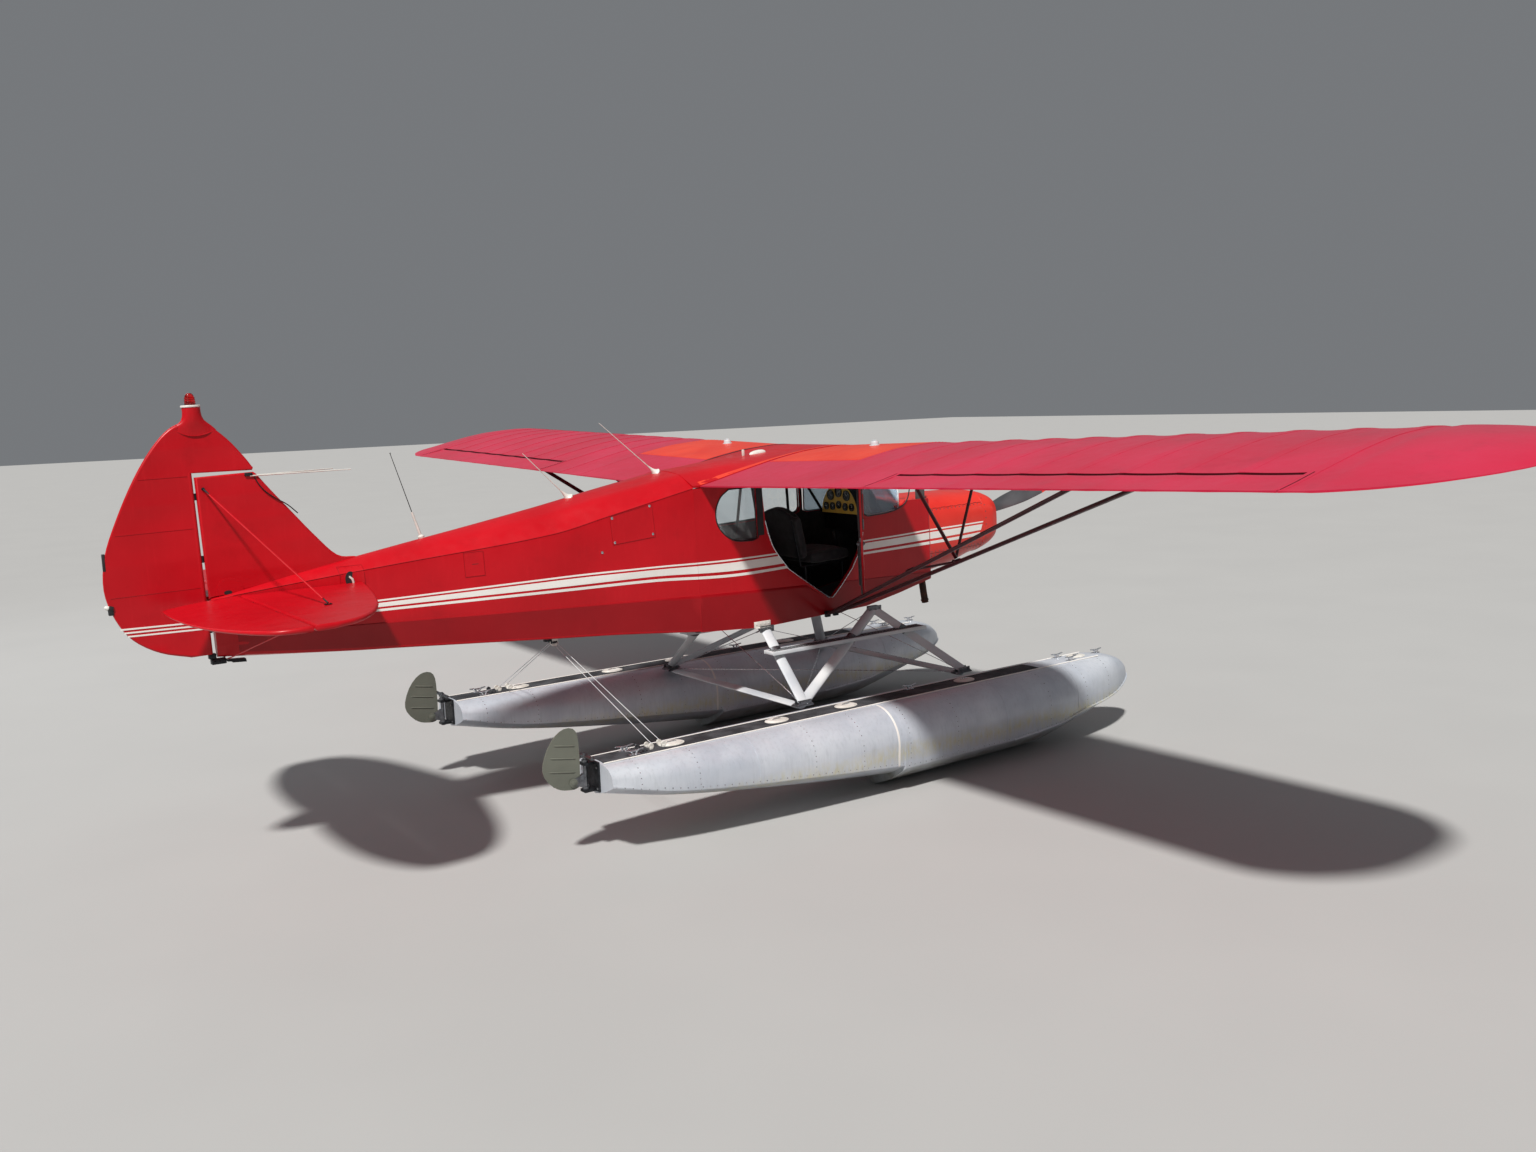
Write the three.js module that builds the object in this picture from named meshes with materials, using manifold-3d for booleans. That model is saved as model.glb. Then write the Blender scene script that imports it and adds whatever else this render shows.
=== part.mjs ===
// A high-wing, fabric-covered light aeroplane on twin aluminium floats.
// Millimetres, +X towards the nose, +Y to the pilot's left, +Z up. The airframe is drawn in its own
// axes, with zero at the leading edge of the wing root on the centre plane, and sits nose-up on its
// floats by PITCH. The floats stand level on their keels at z = 0.
import * as THREE from "three";
import { mergeVertices } from "three/addons/utils/BufferGeometryUtils.js";
import Module from "manifold-3d";

const wasm = await Module();
wasm.setup();

// Driving dimensions
const DEG = Math.PI / 180;
const PITCH = 1.23 * DEG;
const MID_X = 1649.07;
const DECK_Z = 577;
const ROOT_Z = 2170;
const GAP = 0.3;
const SWING_GAP = 6;
const CUT_REACH = 600;

// Wing
const CHORD = 1600;
const INCIDENCE = 2.1 * DEG;
const DIHEDRAL = 1.7 * DEG;
const ROOT_Y = 374;
const SEMI_SPAN = 5405;
const FRONT_SPAR = -250;
const REAR_SPAR = -1120;
const AILERON_IN = 2074;
const AILERON_OUT = 4650;
const AILERON_HINGE = -1372;
const BAY_FACE = -1338;

// Cabin and fuselage
const HALF_WIDTH = 385;
const WALL = 26;
const FIREWALL_X = 490;
const BOWL_X = 1105;
const NOSE_X = 1278;
const THRUST_Z = -560;
const DOOR_HINGE_X = -205;
const DOOR_OPEN = 50 * DEG;
const CABIN_REAR_X = -1660;

// Tail
const RUDDER_X = -4698;
const ELEVATOR_X = -4540;
const TAIL_Z = -437;
const TAIL_SEMI_SPAN = 1470;

// Floats
const FLOAT_Y = 1083;
const FLOAT_STERN = -2880;
const STEER_X = -2940;
const PROP_RADIUS = 900;
const SIDES = [["right", -1], ["left", 1]];

// Points, and points of the airframe's axes turned nose-up
const V = (x, y, z) => new THREE.Vector3(x, y, z);
const air = (x, y, z) => V(x, y, z).applyAxisAngle(V(0, 1, 0), -PITCH);

// Materials
function paint(color, roughness, metalness) {
  return new THREE.MeshStandardMaterial({ color, roughness, metalness });
}
const MATERIALS = {
  red: () => paint(0xb3101c, 0.35, 0),
  faded: () => paint(0xd8402a, 0.5, 0),
  darkRed: () => paint(0x5a0a12, 0.4, 0),
  white: () => paint(0xe9e7e2, 0.45, 0),
  black: () => paint(0x1b1b1d, 0.6, 0),
  aluminium: () => paint(0xa9adb1, 0.42, 0.85),
  olive: () => paint(0x6d7468, 0.6, 0.4),
  steel: () => paint(0x55585c, 0.4, 0.9),
  glass: () => paint(0xbfd0dc, 0.08, 0),
  gold: () => paint(0xc79a45, 0.5, 0),
  leather: () => paint(0x202124, 0.7, 0),
  lamp: () => paint(0xa01512, 0.15, 0),
};

// Solids from geometry and back
function solid(geometry) {
  const bare = geometry.index ? geometry.toNonIndexed() : geometry.clone();
  bare.deleteAttribute("normal");
  bare.deleteAttribute("uv");
  const merged = mergeVertices(bare, 1e-3);
  const vertProperties = new Float32Array(merged.attributes.position.array);
  const triVerts = new Uint32Array(merged.index.array);
  const mesh = new wasm.Mesh({ numProp: 3, vertProperties, triVerts });
  mesh.merge();
  return new wasm.Manifold(mesh);
}

function geometryOf(manifold) {
  const mesh = manifold.getMesh();
  const geometry = new THREE.BufferGeometry();
  const flat = [];
  for (let i = 0; i < mesh.vertProperties.length; i += mesh.numProp) {
    flat.push(mesh.vertProperties[i], mesh.vertProperties[i + 1], mesh.vertProperties[i + 2]);
  }
  geometry.setAttribute("position", new THREE.Float32BufferAttribute(flat, 3));
  geometry.setIndex(Array.from(mesh.triVerts));
  return geometry;
}

const union = (geometries) => geometries.map(solid).reduce((all, one) => all.add(one));

// The volume inside a closed skin, negative where its faces point inwards.
function signedVolume(points, faces) {
  const at = (i) => V(points[3 * i], points[3 * i + 1], points[3 * i + 2]);
  let sum = 0;
  for (let i = 0; i < faces.length; i += 3) {
    sum += at(faces[i]).dot(at(faces[i + 1]).cross(at(faces[i + 2])));
  }
  return sum / 6;
}

// A closed skin over rings of points, every ring with the same number of points.
function loft(rings) {
  const n = rings[0].length;
  const points = [];
  const faces = [];
  const put = (v) => points.push(v.x, v.y, v.z);
  rings.forEach((ring) => ring.forEach(put));
  for (let r = 0; r + 1 < rings.length; r += 1) {
    for (let i = 0; i < n; i += 1) {
      const a = r * n + i;
      const b = r * n + ((i + 1) % n);
      faces.push(a, b, b + n, a, b + n, a + n);
    }
  }
  for (const end of [0, rings.length - 1]) {
    const middle = V(0, 0, 0);
    rings[end].forEach((v) => middle.addScaledVector(v, 1 / n));
    const m = points.length / 3;
    put(middle);
    for (let i = 0; i < n; i += 1) {
      const a = end * n + i;
      const b = end * n + ((i + 1) % n);
      if (end === 0) faces.push(m, b, a);
      else faces.push(m, a, b);
    }
  }
  if (signedVolume(points, faces) < 0) faces.reverse();
  const geometry = new THREE.BufferGeometry();
  geometry.setAttribute("position", new THREE.Float32BufferAttribute(points, 3));
  geometry.setIndex(faces);
  return geometry.toNonIndexed();
}

function box(x0, x1, y0, y1, z0, z1) {
  const geometry = new THREE.BoxGeometry(x1 - x0, y1 - y0, z1 - z0);
  return geometry.translate((x0 + x1) / 2, (y0 + y1) / 2, (z0 + z1) / 2);
}

// A bar between two points. Its section is an oval, chord along the flight line and thick across it.
function bar(a, b, chord, thick = chord, sides = 10) {
  const along = b.clone().sub(a);
  const geometry = new THREE.CylinderGeometry(0.5, 0.5, along.length(), sides);
  const y = along.clone().normalize();
  const flight = Math.abs(y.x) > 0.95 ? V(0, 0, 1) : V(1, 0, 0);
  const z = flight.addScaledVector(y, -flight.dot(y)).normalize();
  const x = y.clone().cross(z);
  const place = new THREE.Matrix4().makeBasis(x.multiplyScalar(thick), y, z.multiplyScalar(chord));
  place.setPosition(a.clone().add(b).multiplyScalar(0.5));
  return geometry.applyMatrix4(place);
}

function shapeOf(points) {
  const shape = new THREE.Shape();
  points.forEach(([x, y], i) => (i ? shape.lineTo(x, y) : shape.moveTo(x, y)));
  shape.closePath();
  return shape;
}

// Points of a closed outline: straight stretches as they are given, and a smooth curve through the
// points of each nested list.
function outline(parts, steps = 5) {
  const points = [];
  for (const part of parts) {
    if (!Array.isArray(part[0])) {
      points.push(part);
      continue;
    }
    const curve = new THREE.SplineCurve(part.map(([x, y]) => new THREE.Vector2(x, y)));
    curve.getPoints(steps * (part.length - 1)).forEach((p) => points.push([p.x, p.y]));
  }
  return points;
}

// A flat plate whose outline is drawn in x and z, between two y planes.
function sidePlate(points, y0, y1) {
  const geometry = new THREE.ExtrudeGeometry(shapeOf(points), { depth: y1 - y0, bevelEnabled: false });
  return geometry.rotateX(Math.PI / 2).translate(0, y1, 0);
}

// A flat plate whose outline is drawn in x and y, between two z planes.
function levelPlate(points, z0, z1) {
  const geometry = new THREE.ExtrudeGeometry(shapeOf(points), { depth: z1 - z0, bevelEnabled: false });
  return geometry.translate(0, 0, z0);
}

const pieces = new THREE.Group();
const airframe = new THREE.Group();
airframe.rotation.y = -PITCH;
const gear = new THREE.Group();
pieces.add(airframe, gear);
pieces.position.set(MID_X, 0, ROOT_Z);

function add(parent, name, geometry, material) {
  const mesh = new THREE.Mesh(geometry, MATERIALS[material]());
  mesh.name = name;
  parent.add(mesh);
  return mesh;
}

// Wing section: flat-bottomed, as a fraction of the chord, from the trailing edge over the top
// to the leading edge and back below. Columns: x fraction, top height, bottom height.
const AIRFOIL = [
  [0.000, 0.000, 0.000],
  [0.015, 0.024, -0.013],
  [0.060, 0.052, -0.021],
  [0.140, 0.078, -0.024],
  [0.270, 0.092, -0.023],
  [0.420, 0.089, -0.019],
  [0.580, 0.073, -0.013],
  [0.720, 0.051, -0.009],
  [0.840, 0.030, -0.006],
  [0.930, 0.014, -0.004],
  [1.000, 0.003, -0.003],
];

const foil = (column, f) => {
  for (let i = 1; i < AIRFOIL.length; i += 1) {
    const [f0, f1] = [AIRFOIL[i - 1][0], AIRFOIL[i][0]];
    if (f <= f1) {
      const t = (f - f0) / (f1 - f0);
      return AIRFOIL[i - 1][column] + t * (AIRFOIL[i][column] - AIRFOIL[i - 1][column]);
    }
  }
  return AIRFOIL.at(-1)[column];
};

// Height of the wing's top or bottom skin at a place x on the wing, y out from the centre.
const wingZ = (x, y) => x * Math.tan(INCIDENCE) + (Math.abs(y) - ROOT_Y) * Math.tan(DIHEDRAL);
const topZ = (x, y) => wingZ(x, y) + foil(1, -x / CHORD) * CHORD;
const lowZ = (x, y) => wingZ(x, y) + foil(2, -x / CHORD) * CHORD;

function wingRing(side, y, lead = 0, trail = -CHORD, thin = 1, lift = 0) {
  const place = (f, h) => {
    const x = lead + (trail - lead) * f;
    return V(x, side * y, wingZ(x, y) + h * CHORD * thin + lift);
  };
  const top = AIRFOIL.slice().reverse().map(([f, t]) => place(f, t));
  const low = AIRFOIL.slice(1).map(([f, , b]) => place(f, b));
  return [...top, ...low];
}

// Tip bow. Columns: y, leading edge x, trailing edge x, thickness factor, rise of the section.
const TIP = [
  [4780, 0, -1595, 1.00, 0],
  [4950, -25, -1540, 0.94, 3],
  [5120, -95, -1430, 0.82, 9],
  [5260, -210, -1270, 0.64, 18],
  [5360, -370, -1070, 0.42, 27],
  [SEMI_SPAN, -560, -860, 0.16, 36],
];

function wing(side) {
  const rings = [wingRing(side, ROOT_Y + GAP), wingRing(side, AILERON_IN), wingRing(side, AILERON_OUT)];
  TIP.forEach(([y, lead, trail, thin, lift]) => rings.push(wingRing(side, y, lead, trail, thin, lift)));
  let body = solid(loft(rings));
  const y0 = AILERON_IN - SWING_GAP;
  const y1 = AILERON_OUT + SWING_GAP;
  const [lo, hi] = side < 0 ? [-y1, -y0] : [y0, y1];
  body = body.subtract(solid(box(-CHORD - CUT_REACH, BAY_FACE, lo, hi, -CUT_REACH, CUT_REACH)));
  const tabs = aileronTabs(side, AILERON_TAB_HALF, AILERON_TAB_TALL, BAY_FACE + 20, AILERON_HINGE - 8);
  return geometryOf(body.add(union(tabs)));
}

// Hinge tabs that reach from the wing into slots of the aileron
const AILERON_TABS = [AILERON_IN + 300, (AILERON_IN + AILERON_OUT) / 2, AILERON_OUT - 300];
const AILERON_TAB_HALF = 9;
const AILERON_TAB_TALL = 8;
const AILERON_EDGE = 5;
const hingeZ = (y) => (topZ(AILERON_HINGE, y) + lowZ(AILERON_HINGE, y)) / 2;

function aileronTabs(side, half, tall, x1, x0) {
  return AILERON_TABS.map((y) => {
    const z = hingeZ(y);
    return box(x0, x1, side * y - half, side * y + half, z - tall, z + tall);
  });
}

function aileron(side) {
  const ring = (y) => {
    const top = topZ(AILERON_HINGE, y);
    const low = lowZ(AILERON_HINGE, y);
    const radius = (top - low) / 2;
    const middle = (top + low) / 2;
    const nose = [];
    for (let a = 75; a > -90; a -= 30) {
      nose.push(V(AILERON_HINGE + radius * Math.cos(a * DEG), side * y, middle + radius * Math.sin(a * DEG)));
    }
    const tail = -CHORD;
    const end = wingZ(tail, y);
    const crest = AILERON_HINGE - 100;
    return [V(tail, side * y, end + AILERON_EDGE), V(crest, side * y, topZ(crest, y)),
      V(AILERON_HINGE, side * y, top), ...nose, V(AILERON_HINGE, side * y, low),
      V(tail, side * y, end - AILERON_EDGE)];
  };
  const body = solid(loft([ring(AILERON_IN), ring(AILERON_OUT)]));
  const slots = aileronTabs(side, AILERON_TAB_HALF + GAP, 60, BAY_FACE + 40, AILERON_HINGE - 15);
  return geometryOf(body.subtract(union(slots)));
}

for (const [name, side] of SIDES) {
  add(airframe, `wing_${name}`, wing(side), "red");
  add(airframe, `aileron_${name}`, aileron(side), "red");
}

// Lift struts run in a V from the lower longeron to the two spars, and the jury strut runs in a V
// from the middle of the front lift strut up to the same spars.
const STRUT_FOOT = V(-555, HALF_WIDTH + 22, -1078);
const STRUT_Y = 3220;
const STRUT_TOP_DROP = 16;
const LUG_HALF = 14;
const LUG_TALL = 22;
const JURY_T = 0.41;
const JURY = [[FRONT_SPAR, 1620, 3.6], [REAR_SPAR, 1960, 9.6]];

function onSpar(x, y) {
  return V(x, y, lowZ(x, y) - GAP);
}

function liftStrut(side, step, spar, chord, thick) {
  const at = (v) => V(v.x, side * v.y, v.z);
  const foot = STRUT_FOOT.clone().add(V(step, 0, 0));
  const top = onSpar(spar, STRUT_Y).add(V(0, 0, -STRUT_TOP_DROP));
  const strut = bar(at(foot), at(top), chord, thick, 12);
  const ys = [side * (HALF_WIDTH + GAP), side * (foot.y + 8)].sort((a, b) => a - b);
  const lug = box(foot.x - LUG_HALF, foot.x + LUG_HALF, ...ys, foot.z - LUG_TALL, foot.z + LUG_TALL);
  return geometryOf(union([strut, lug]));
}

function juryStruts(side) {
  const at = (v) => V(v.x, side * v.y, v.z);
  const foot = STRUT_FOOT.clone().add(V(36, 0, 0)).lerp(onSpar(FRONT_SPAR, STRUT_Y), JURY_T);
  const base = foot.clone().add(V(0, 4, 27));
  const bars = JURY.map(([spar, y, drop]) => bar(at(base), at(onSpar(spar, y).add(V(0, 0, -drop))), 24, 14, 8));
  return geometryOf(union(bars));
}

for (const [name, side] of SIDES) {
  add(airframe, `front_lift_strut_${name}`, liftStrut(side, 36, FRONT_SPAR, 66, 27), "darkRed");
  add(airframe, `rear_lift_strut_${name}`, liftStrut(side, -36, REAR_SPAR, 50, 24), "darkRed");
  add(airframe, `jury_strut_${name}`, juryStruts(side), "darkRed");
}

// Fuselage sections aft of the cabin. Columns: x, ridge z, shoulder half width and z, upper longeron
// half width and z, stringer half width and z, lower longeron half width and z.
const AFT = [
  [CABIN_REAR_X - GAP, 45, 215, 22, 376, -66, 378, -560, 372, -1046],
  [-2275, -45, 205, -80, 322, -190, 330, -590, 296, -980],
  [-2670, -106, 172, -160, 282, -268, 290, -610, 256, -945],
  [-3659, -253, 88, -290, 158, -345, 164, -660, 138, -856],
  [-3956, -300, 66, -330, 118, -368, 124, -672, 104, -830],
  [RUDDER_X + 24, -424, 14, -426, 24, -430, 26, -700, 20, -748],
];

function aftFuselage() {
  const rings = AFT.map(([x, ridge, ys, zs, yt, zt, ym, zm, yb, zb]) => [
    V(x, 0, ridge), V(x, ys, zs), V(x, yt, zt), V(x, ym, zm), V(x, yb, zb), V(x, 0, zb - 14),
    V(x, -yb, zb), V(x, -ym, zm), V(x, -yt, zt), V(x, -ys, zs),
  ]);
  return loft(rings);
}

// Cabin walls. Columns: x, half width, top z, bottom z.
const SIDE_WALL = [
  [CABIN_REAR_X, 376, -70, -1047],
  [-1150, HALF_WIDTH, -66, -1090],
  [-200, HALF_WIDTH, -56, -1076],
  [150, 376, -52, -1022],
  [FIREWALL_X, 352, -50, -962],
];

const DOOR = outline([
  [-1100, -105], [-1082, -340],
  [[-1060, -430], [-1015, -545], [-900, -700]],
  [-556, -950], [-520, -955], [-440, -885],
  [[-330, -770], [-250, -640], [-215, -520]],
  [-211, -105],
], 4);
const DOOR_WINDOW = outline([
  [-1040, -150], [[-1018, -350], [-1000, -392], [-960, -412]], [-330, -405],
  [[-290, -390], [-268, -350], [-262, -310]], [-262, -150],
], 4);
const REAR_WINDOW = outline([
  [-1148, -95], [-1148, -455],
  [[-1200, -472], [-1360, -452], [-1470, -360], [-1496, -250], [-1455, -150], [-1380, -95]],
], 4);
const WINDSHIELD_SIDE = outline([
  [-188, -90], [-188, -392],
  [[-150, -410], [40, -404], [180, -378], [262, -318], [300, -200]], [300, 60], [-60, 60],
], 4);
const LEFT_FRONT_WINDOW = outline([
  [-1100, -95], [-1100, -400], [[-1085, -420], [-1060, -432]], [-260, -408],
  [[-230, -395], [-215, -370]], [-215, -95],
], 3);

// Door hinges. Each is a knuckle on the wall above a knuckle on the door, both on the hinge line, with a
// leaf lying on the outside of what carries it.
const KNUCKLE_R = 6;
const KNUCKLE_TALL = 38;
const LEAF_NEAR = 3;
const LEAF_FAR = 40;
const LEAF_OUT = 2;
const LEAF_IN = 8;
const HINGE_Z = [-200, -460];
const DOOR_Y = -HALF_WIDTH - KNUCKLE_R - GAP;

function knuckles(low, leafStart, leafEnd) {
  return HINGE_Z.flatMap((z) => {
    const pin = new THREE.CylinderGeometry(KNUCKLE_R, KNUCKLE_R, KNUCKLE_TALL, 16).rotateX(Math.PI / 2);
    pin.translate(DOOR_HINGE_X, DOOR_Y, z + low + KNUCKLE_TALL / 2);
    const leaf = box(leafStart, leafEnd, DOOR_Y - LEAF_OUT, DOOR_Y + LEAF_IN, z + low, z + low + KNUCKLE_TALL);
    return [pin, leaf];
  });
}

// Notch at the wall's front corner for the windscreen's foot, and a slot for the door's hinge edge
const NOSE_NOTCH = [[FIREWALL_X + 20, -338], [FIREWALL_X + 20, 60], [250, 60], [250, -330]];
const HINGE_SLOT = [[DOOR_HINGE_X, -99], [DOOR_HINGE_X - 60, -99], [DOOR_HINGE_X - 60, -530],
  [DOOR_HINGE_X, -530]];

const shrink = (points, by) => {
  const cx = points.reduce((s, p) => s + p[0], 0) / points.length;
  const cz = points.reduce((s, p) => s + p[1], 0) / points.length;
  return points.map(([x, z]) => {
    const d = Math.hypot(x - cx, z - cz);
    return [x - (by * (x - cx)) / d, z - (by * (z - cz)) / d];
  });
};

// Outer half width of the cabin wall at a place x
function wallY(x) {
  const i = SIDE_WALL.findIndex((row) => row[0] >= x);
  const [a, b] = [SIDE_WALL[i - 1], SIDE_WALL[i]];
  return a[1] + ((x - a[0]) / (b[0] - a[0])) * (b[1] - a[1]);
}

function sideWall(side) {
  const rings = SIDE_WALL.map(([x, y, top, bottom]) => [
    V(x, side * y, top), V(x, side * (y - WALL), top), V(x, side * (y - WALL), bottom), V(x, side * y, bottom),
  ]);
  let wall = solid(loft(rings));
  const cut = (points) => {
    wall = wall.subtract(solid(sidePlate(points, -CUT_REACH, CUT_REACH)));
  };
  [WINDSHIELD_SIDE, NOSE_NOTCH, REAR_WINDOW].forEach(cut);
  if (side > 0) {
    cut(LEFT_FRONT_WINDOW);
    return geometryOf(wall);
  }
  cut(shrink(DOOR, -SWING_GAP));
  cut(HINGE_SLOT);
  return geometryOf(wall.add(union(knuckles(GAP, DOOR_HINGE_X + LEAF_NEAR, DOOR_HINGE_X + LEAF_FAR))));
}

for (const [name, side] of SIDES) {
  add(airframe, `cabin_side_${name}`, sideWall(side), "red");
}

// Roof: the wing's centre section. Its edges follow the wing and its middle runs back to the ridge.
const ROOF_X = [0, -24, -96, -224, -432, -672, -928, -1250, -1600, CABIN_REAR_X];
const RIDGE_FROM = -600;
function roof() {
  const [, ridge, shoulderY, shoulderZ] = AFT[0];
  const edge = ROOT_Y - GAP;
  return loft(ROOF_X.map((x) => {
    const t = Math.max(0, (RIDGE_FROM - x) / (RIDGE_FROM - CABIN_REAR_X));
    const onWing = Math.max(-CHORD, x);
    const side = topZ(onWing, ROOT_Y) + 4;
    const start = topZ(RIDGE_FROM, ROOT_Y);
    const middle = t > 0 ? start + t * (ridge - start) : side;
    const shoulder = t > 0 ? start + t * (shoulderZ - start) : side;
    const low = Math.min(lowZ(onWing, ROOT_Y), side - 12);
    return [V(x, 0, middle), V(x, shoulderY, shoulder), V(x, edge, side), V(x, edge, low), V(x, -edge, low),
      V(x, -edge, side), V(x, -shoulderY, shoulder)];
  }));
}
add(airframe, "cabin_roof", roof(), "red");

// Floor, firewall and the deck ahead of the windscreen
const FLOOR_THICK = 22;

function floor() {
  const rings = SIDE_WALL.map(([x, y, , bottom]) => {
    const inner = y - WALL - GAP;
    return [V(x, inner, bottom + FLOOR_THICK), V(x, -inner, bottom + FLOOR_THICK), V(x, -inner, bottom),
      V(x, inner, bottom)];
  });
  return loft(rings);
}
add(airframe, "cabin_floor", floor(), "red");

const FIREWALL = { front: FIREWALL_X + 5, half: 350, low: -955, top: -345 };

function firewall() {
  const { front, half, low, top } = FIREWALL;
  return box(FIREWALL_X + GAP, front, -half, half, low, top);
}
add(airframe, "firewall", firewall(), "steel");

// Deck between the firewall and the windscreen, a thin arched sheet over the instrument panel
const COWL_TOP_Z = -322;
const DECK_FOOT_Z = -372;
const DECK_RISE = COWL_TOP_Z + 4 - DECK_FOOT_Z;
const DECK_SHEET = 6;
const DECK_REAR_X = 150;
const deckHalf = (x) => wallY(x) - WALL - GAP;
const deckSpread = (x) => deckHalf(x) / deckHalf(FIREWALL_X);

function noseDeck() {
  const half = deckHalf(FIREWALL_X);
  const rings = [];
  for (let a = 0; a <= 180; a += 20) {
    const [c, n] = [Math.cos(a * DEG), Math.sin(a * DEG)];
    const outer = (x) => V(x, deckSpread(x) * half * c, DECK_FOOT_Z + deckSpread(x) * DECK_RISE * n);
    const inner = (x) => {
      const k = deckSpread(x);
      return V(x, k * (half - DECK_SHEET) * c, DECK_FOOT_Z + k * (DECK_RISE * n - DECK_SHEET));
    };
    rings.push([outer(FIREWALL_X), outer(DECK_REAR_X), inner(DECK_REAR_X), inner(FIREWALL_X)]);
  }
  return loft(rings);
}

// Height of the deck's arch at a place x, y
function deckTop(x, y) {
  const c = Math.min(1, Math.abs(y) / deckHalf(x));
  return DECK_FOOT_Z + deckSpread(x) * DECK_RISE * Math.sqrt(1 - c * c);
}
add(airframe, "nose_deck", noseDeck(), "faded");

// Windscreen: one bent sheet from the wing's leading edge down to the nose deck, and back to the door posts
const ROOF_SEAT = 1.7;
const DECK_SEAT = 1;
const SCREEN_SHEET = 5;
const SCREEN_FOOT = { x: 268, back: 440, half: 350, z: -317, fall: 84 };
const SCREEN_TOP = { x: -20, back: 150, half: 358 };

function windscreen() {
  const rings = [];
  for (let i = -6; i <= 6; i += 1) {
    const t = i / 6;
    const a = Math.abs(t);
    const across = Math.sin(t * 90 * DEG);
    const { x, back, half, z, fall } = SCREEN_FOOT;
    const low = V(x - back * a ** 2.2, half * across, z - fall * a ** 3);
    low.z = Math.max(low.z, deckTop(low.x, low.y) + DECK_SEAT);
    const top = V(SCREEN_TOP.x - SCREEN_TOP.back * a ** 2.5, SCREEN_TOP.half * across, 0);
    const inward = V(-Math.cos(t * 80 * DEG), -Math.sin(t * 80 * DEG), 0).multiplyScalar(SCREEN_SHEET);
    const tops = [top, top.clone().add(inward)].map((v) => v.setZ(lowZ(v.x, ROOT_Y) - ROOF_SEAT));
    rings.push([low, ...tops, low.clone().add(inward)]);
  }
  return loft(rings);
}
add(airframe, "windscreen", geometryOf(solid(windscreen())), "glass");

// Engine cowling: a shell with square-rounded sections, open at the firewall's foot for the cooling
// air. Columns: x, half width, top z, bottom z, corner power.
const COWL = [
  [FIREWALL.front + 2 * GAP, 352, COWL_TOP_Z, -958],
  [800, 350, -328, -912],
  [BOWL_X - GAP, 338, -338, -842],
];
const BOWL = [
  [BOWL_X, 338, -338, -842],
  [1190, 340, -350, -816],
  [1246, 328, -372, -786],
  [NOSE_X, 280, -416, -734],
];
const WALL_SHEET = 10;

function roundedRing(x, half, top, bottom, inset = 0, power = 3.2, steps = 28) {
  const ring = [];
  const middle = (top + bottom) / 2;
  const tall = (top - bottom) / 2 - inset;
  for (let i = 0; i < steps; i += 1) {
    const a = ((i + 0.5) / steps) * 2 * Math.PI;
    const c = Math.cos(a);
    const s = Math.sin(a);
    const r = (Math.abs(c) ** power + Math.abs(s) ** power) ** (-1 / power);
    ring.push(V(x, (half - inset) * c * r, middle + tall * s * r));
  }
  return ring;
}

function shell(table, inset, x0, x1) {
  const outer = solid(loft(table.map((row) => roundedRing(...row))));
  const rows = table.map((row) => row.slice());
  rows[0][0] = x0;
  rows[rows.length - 1][0] = x1;
  const inner = solid(loft(rows.map((row) => roundedRing(...row, inset))));
  return outer.subtract(inner);
}

const cowl = shell(COWL, WALL_SHEET, COWL[0][0] - 5, BOWL_X + 5);
const outlet = solid(box(FIREWALL_X, FIREWALL_X + 150, -240, 240, -1100, -870));
add(airframe, "engine_cowl", geometryOf(cowl.subtract(outlet)), "faded");

// Nose bowl with an air inlet each side of the propeller shaft
function noseBowl() {
  const rows = [...BOWL.slice(0, 3), [NOSE_X - WALL_SHEET, 274, -424, -726]];
  const inner = solid(loft(rows.map(([x, h, t, b], i) => roundedRing(i ? x - 8 : x - 5, h, t, b, WALL_SHEET))));
  let body = solid(loft(BOWL.map((row) => roundedRing(...row)))).subtract(inner);
  for (const side of [-1, 1]) {
    const inlet = new THREE.CylinderGeometry(78, 78, 300, 24).rotateZ(Math.PI / 2);
    body = body.subtract(solid(inlet.scale(1, 1, 0.86).translate(NOSE_X, side * 150, THRUST_Z + 26)));
  }
  const shaft = new THREE.CylinderGeometry(52, 52, 300, 24).rotateZ(Math.PI / 2);
  return geometryOf(body.subtract(solid(shaft.translate(NOSE_X, 0, THRUST_Z))));
}
add(airframe, "nose_bowl", noseBowl(), "faded");

// Engine as one block, with the shaft boss that carries the propeller
const PROP_X = 1330;
const FLANGE_BACK = 64;
const SHAFT_END = PROP_X - FLANGE_BACK - GAP;
function engineBlock() {
  const block = solid(box(FIREWALL_X + 90, 1130, -250, 250, -760, -420));
  const mount = solid(box(FIREWALL.front + GAP, FIREWALL_X + 92, -170, 170, -730, -450));
  const boss = new THREE.CylinderGeometry(42, 42, 180, 20).rotateZ(Math.PI / 2);
  return geometryOf(block.add(mount).add(solid(boss.translate(SHAFT_END - 90, 0, THRUST_Z))));
}
add(airframe, "engine_block", engineBlock(), "steel");

// Propeller: two blades on a flat hub. Columns along a blade: radius, chord, thickness, pitch in degrees.
const BLADE = [
  [40, 96, 62, 52],
  [170, 112, 44, 44],
  [330, 146, 28, 33],
  [560, 152, 18, 23],
  [740, 126, 12, 17],
  [850, 94, 9, 14],
  [PROP_RADIUS, 40, 6, 13],
];
const BLADE_REST = 19 * DEG;

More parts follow.
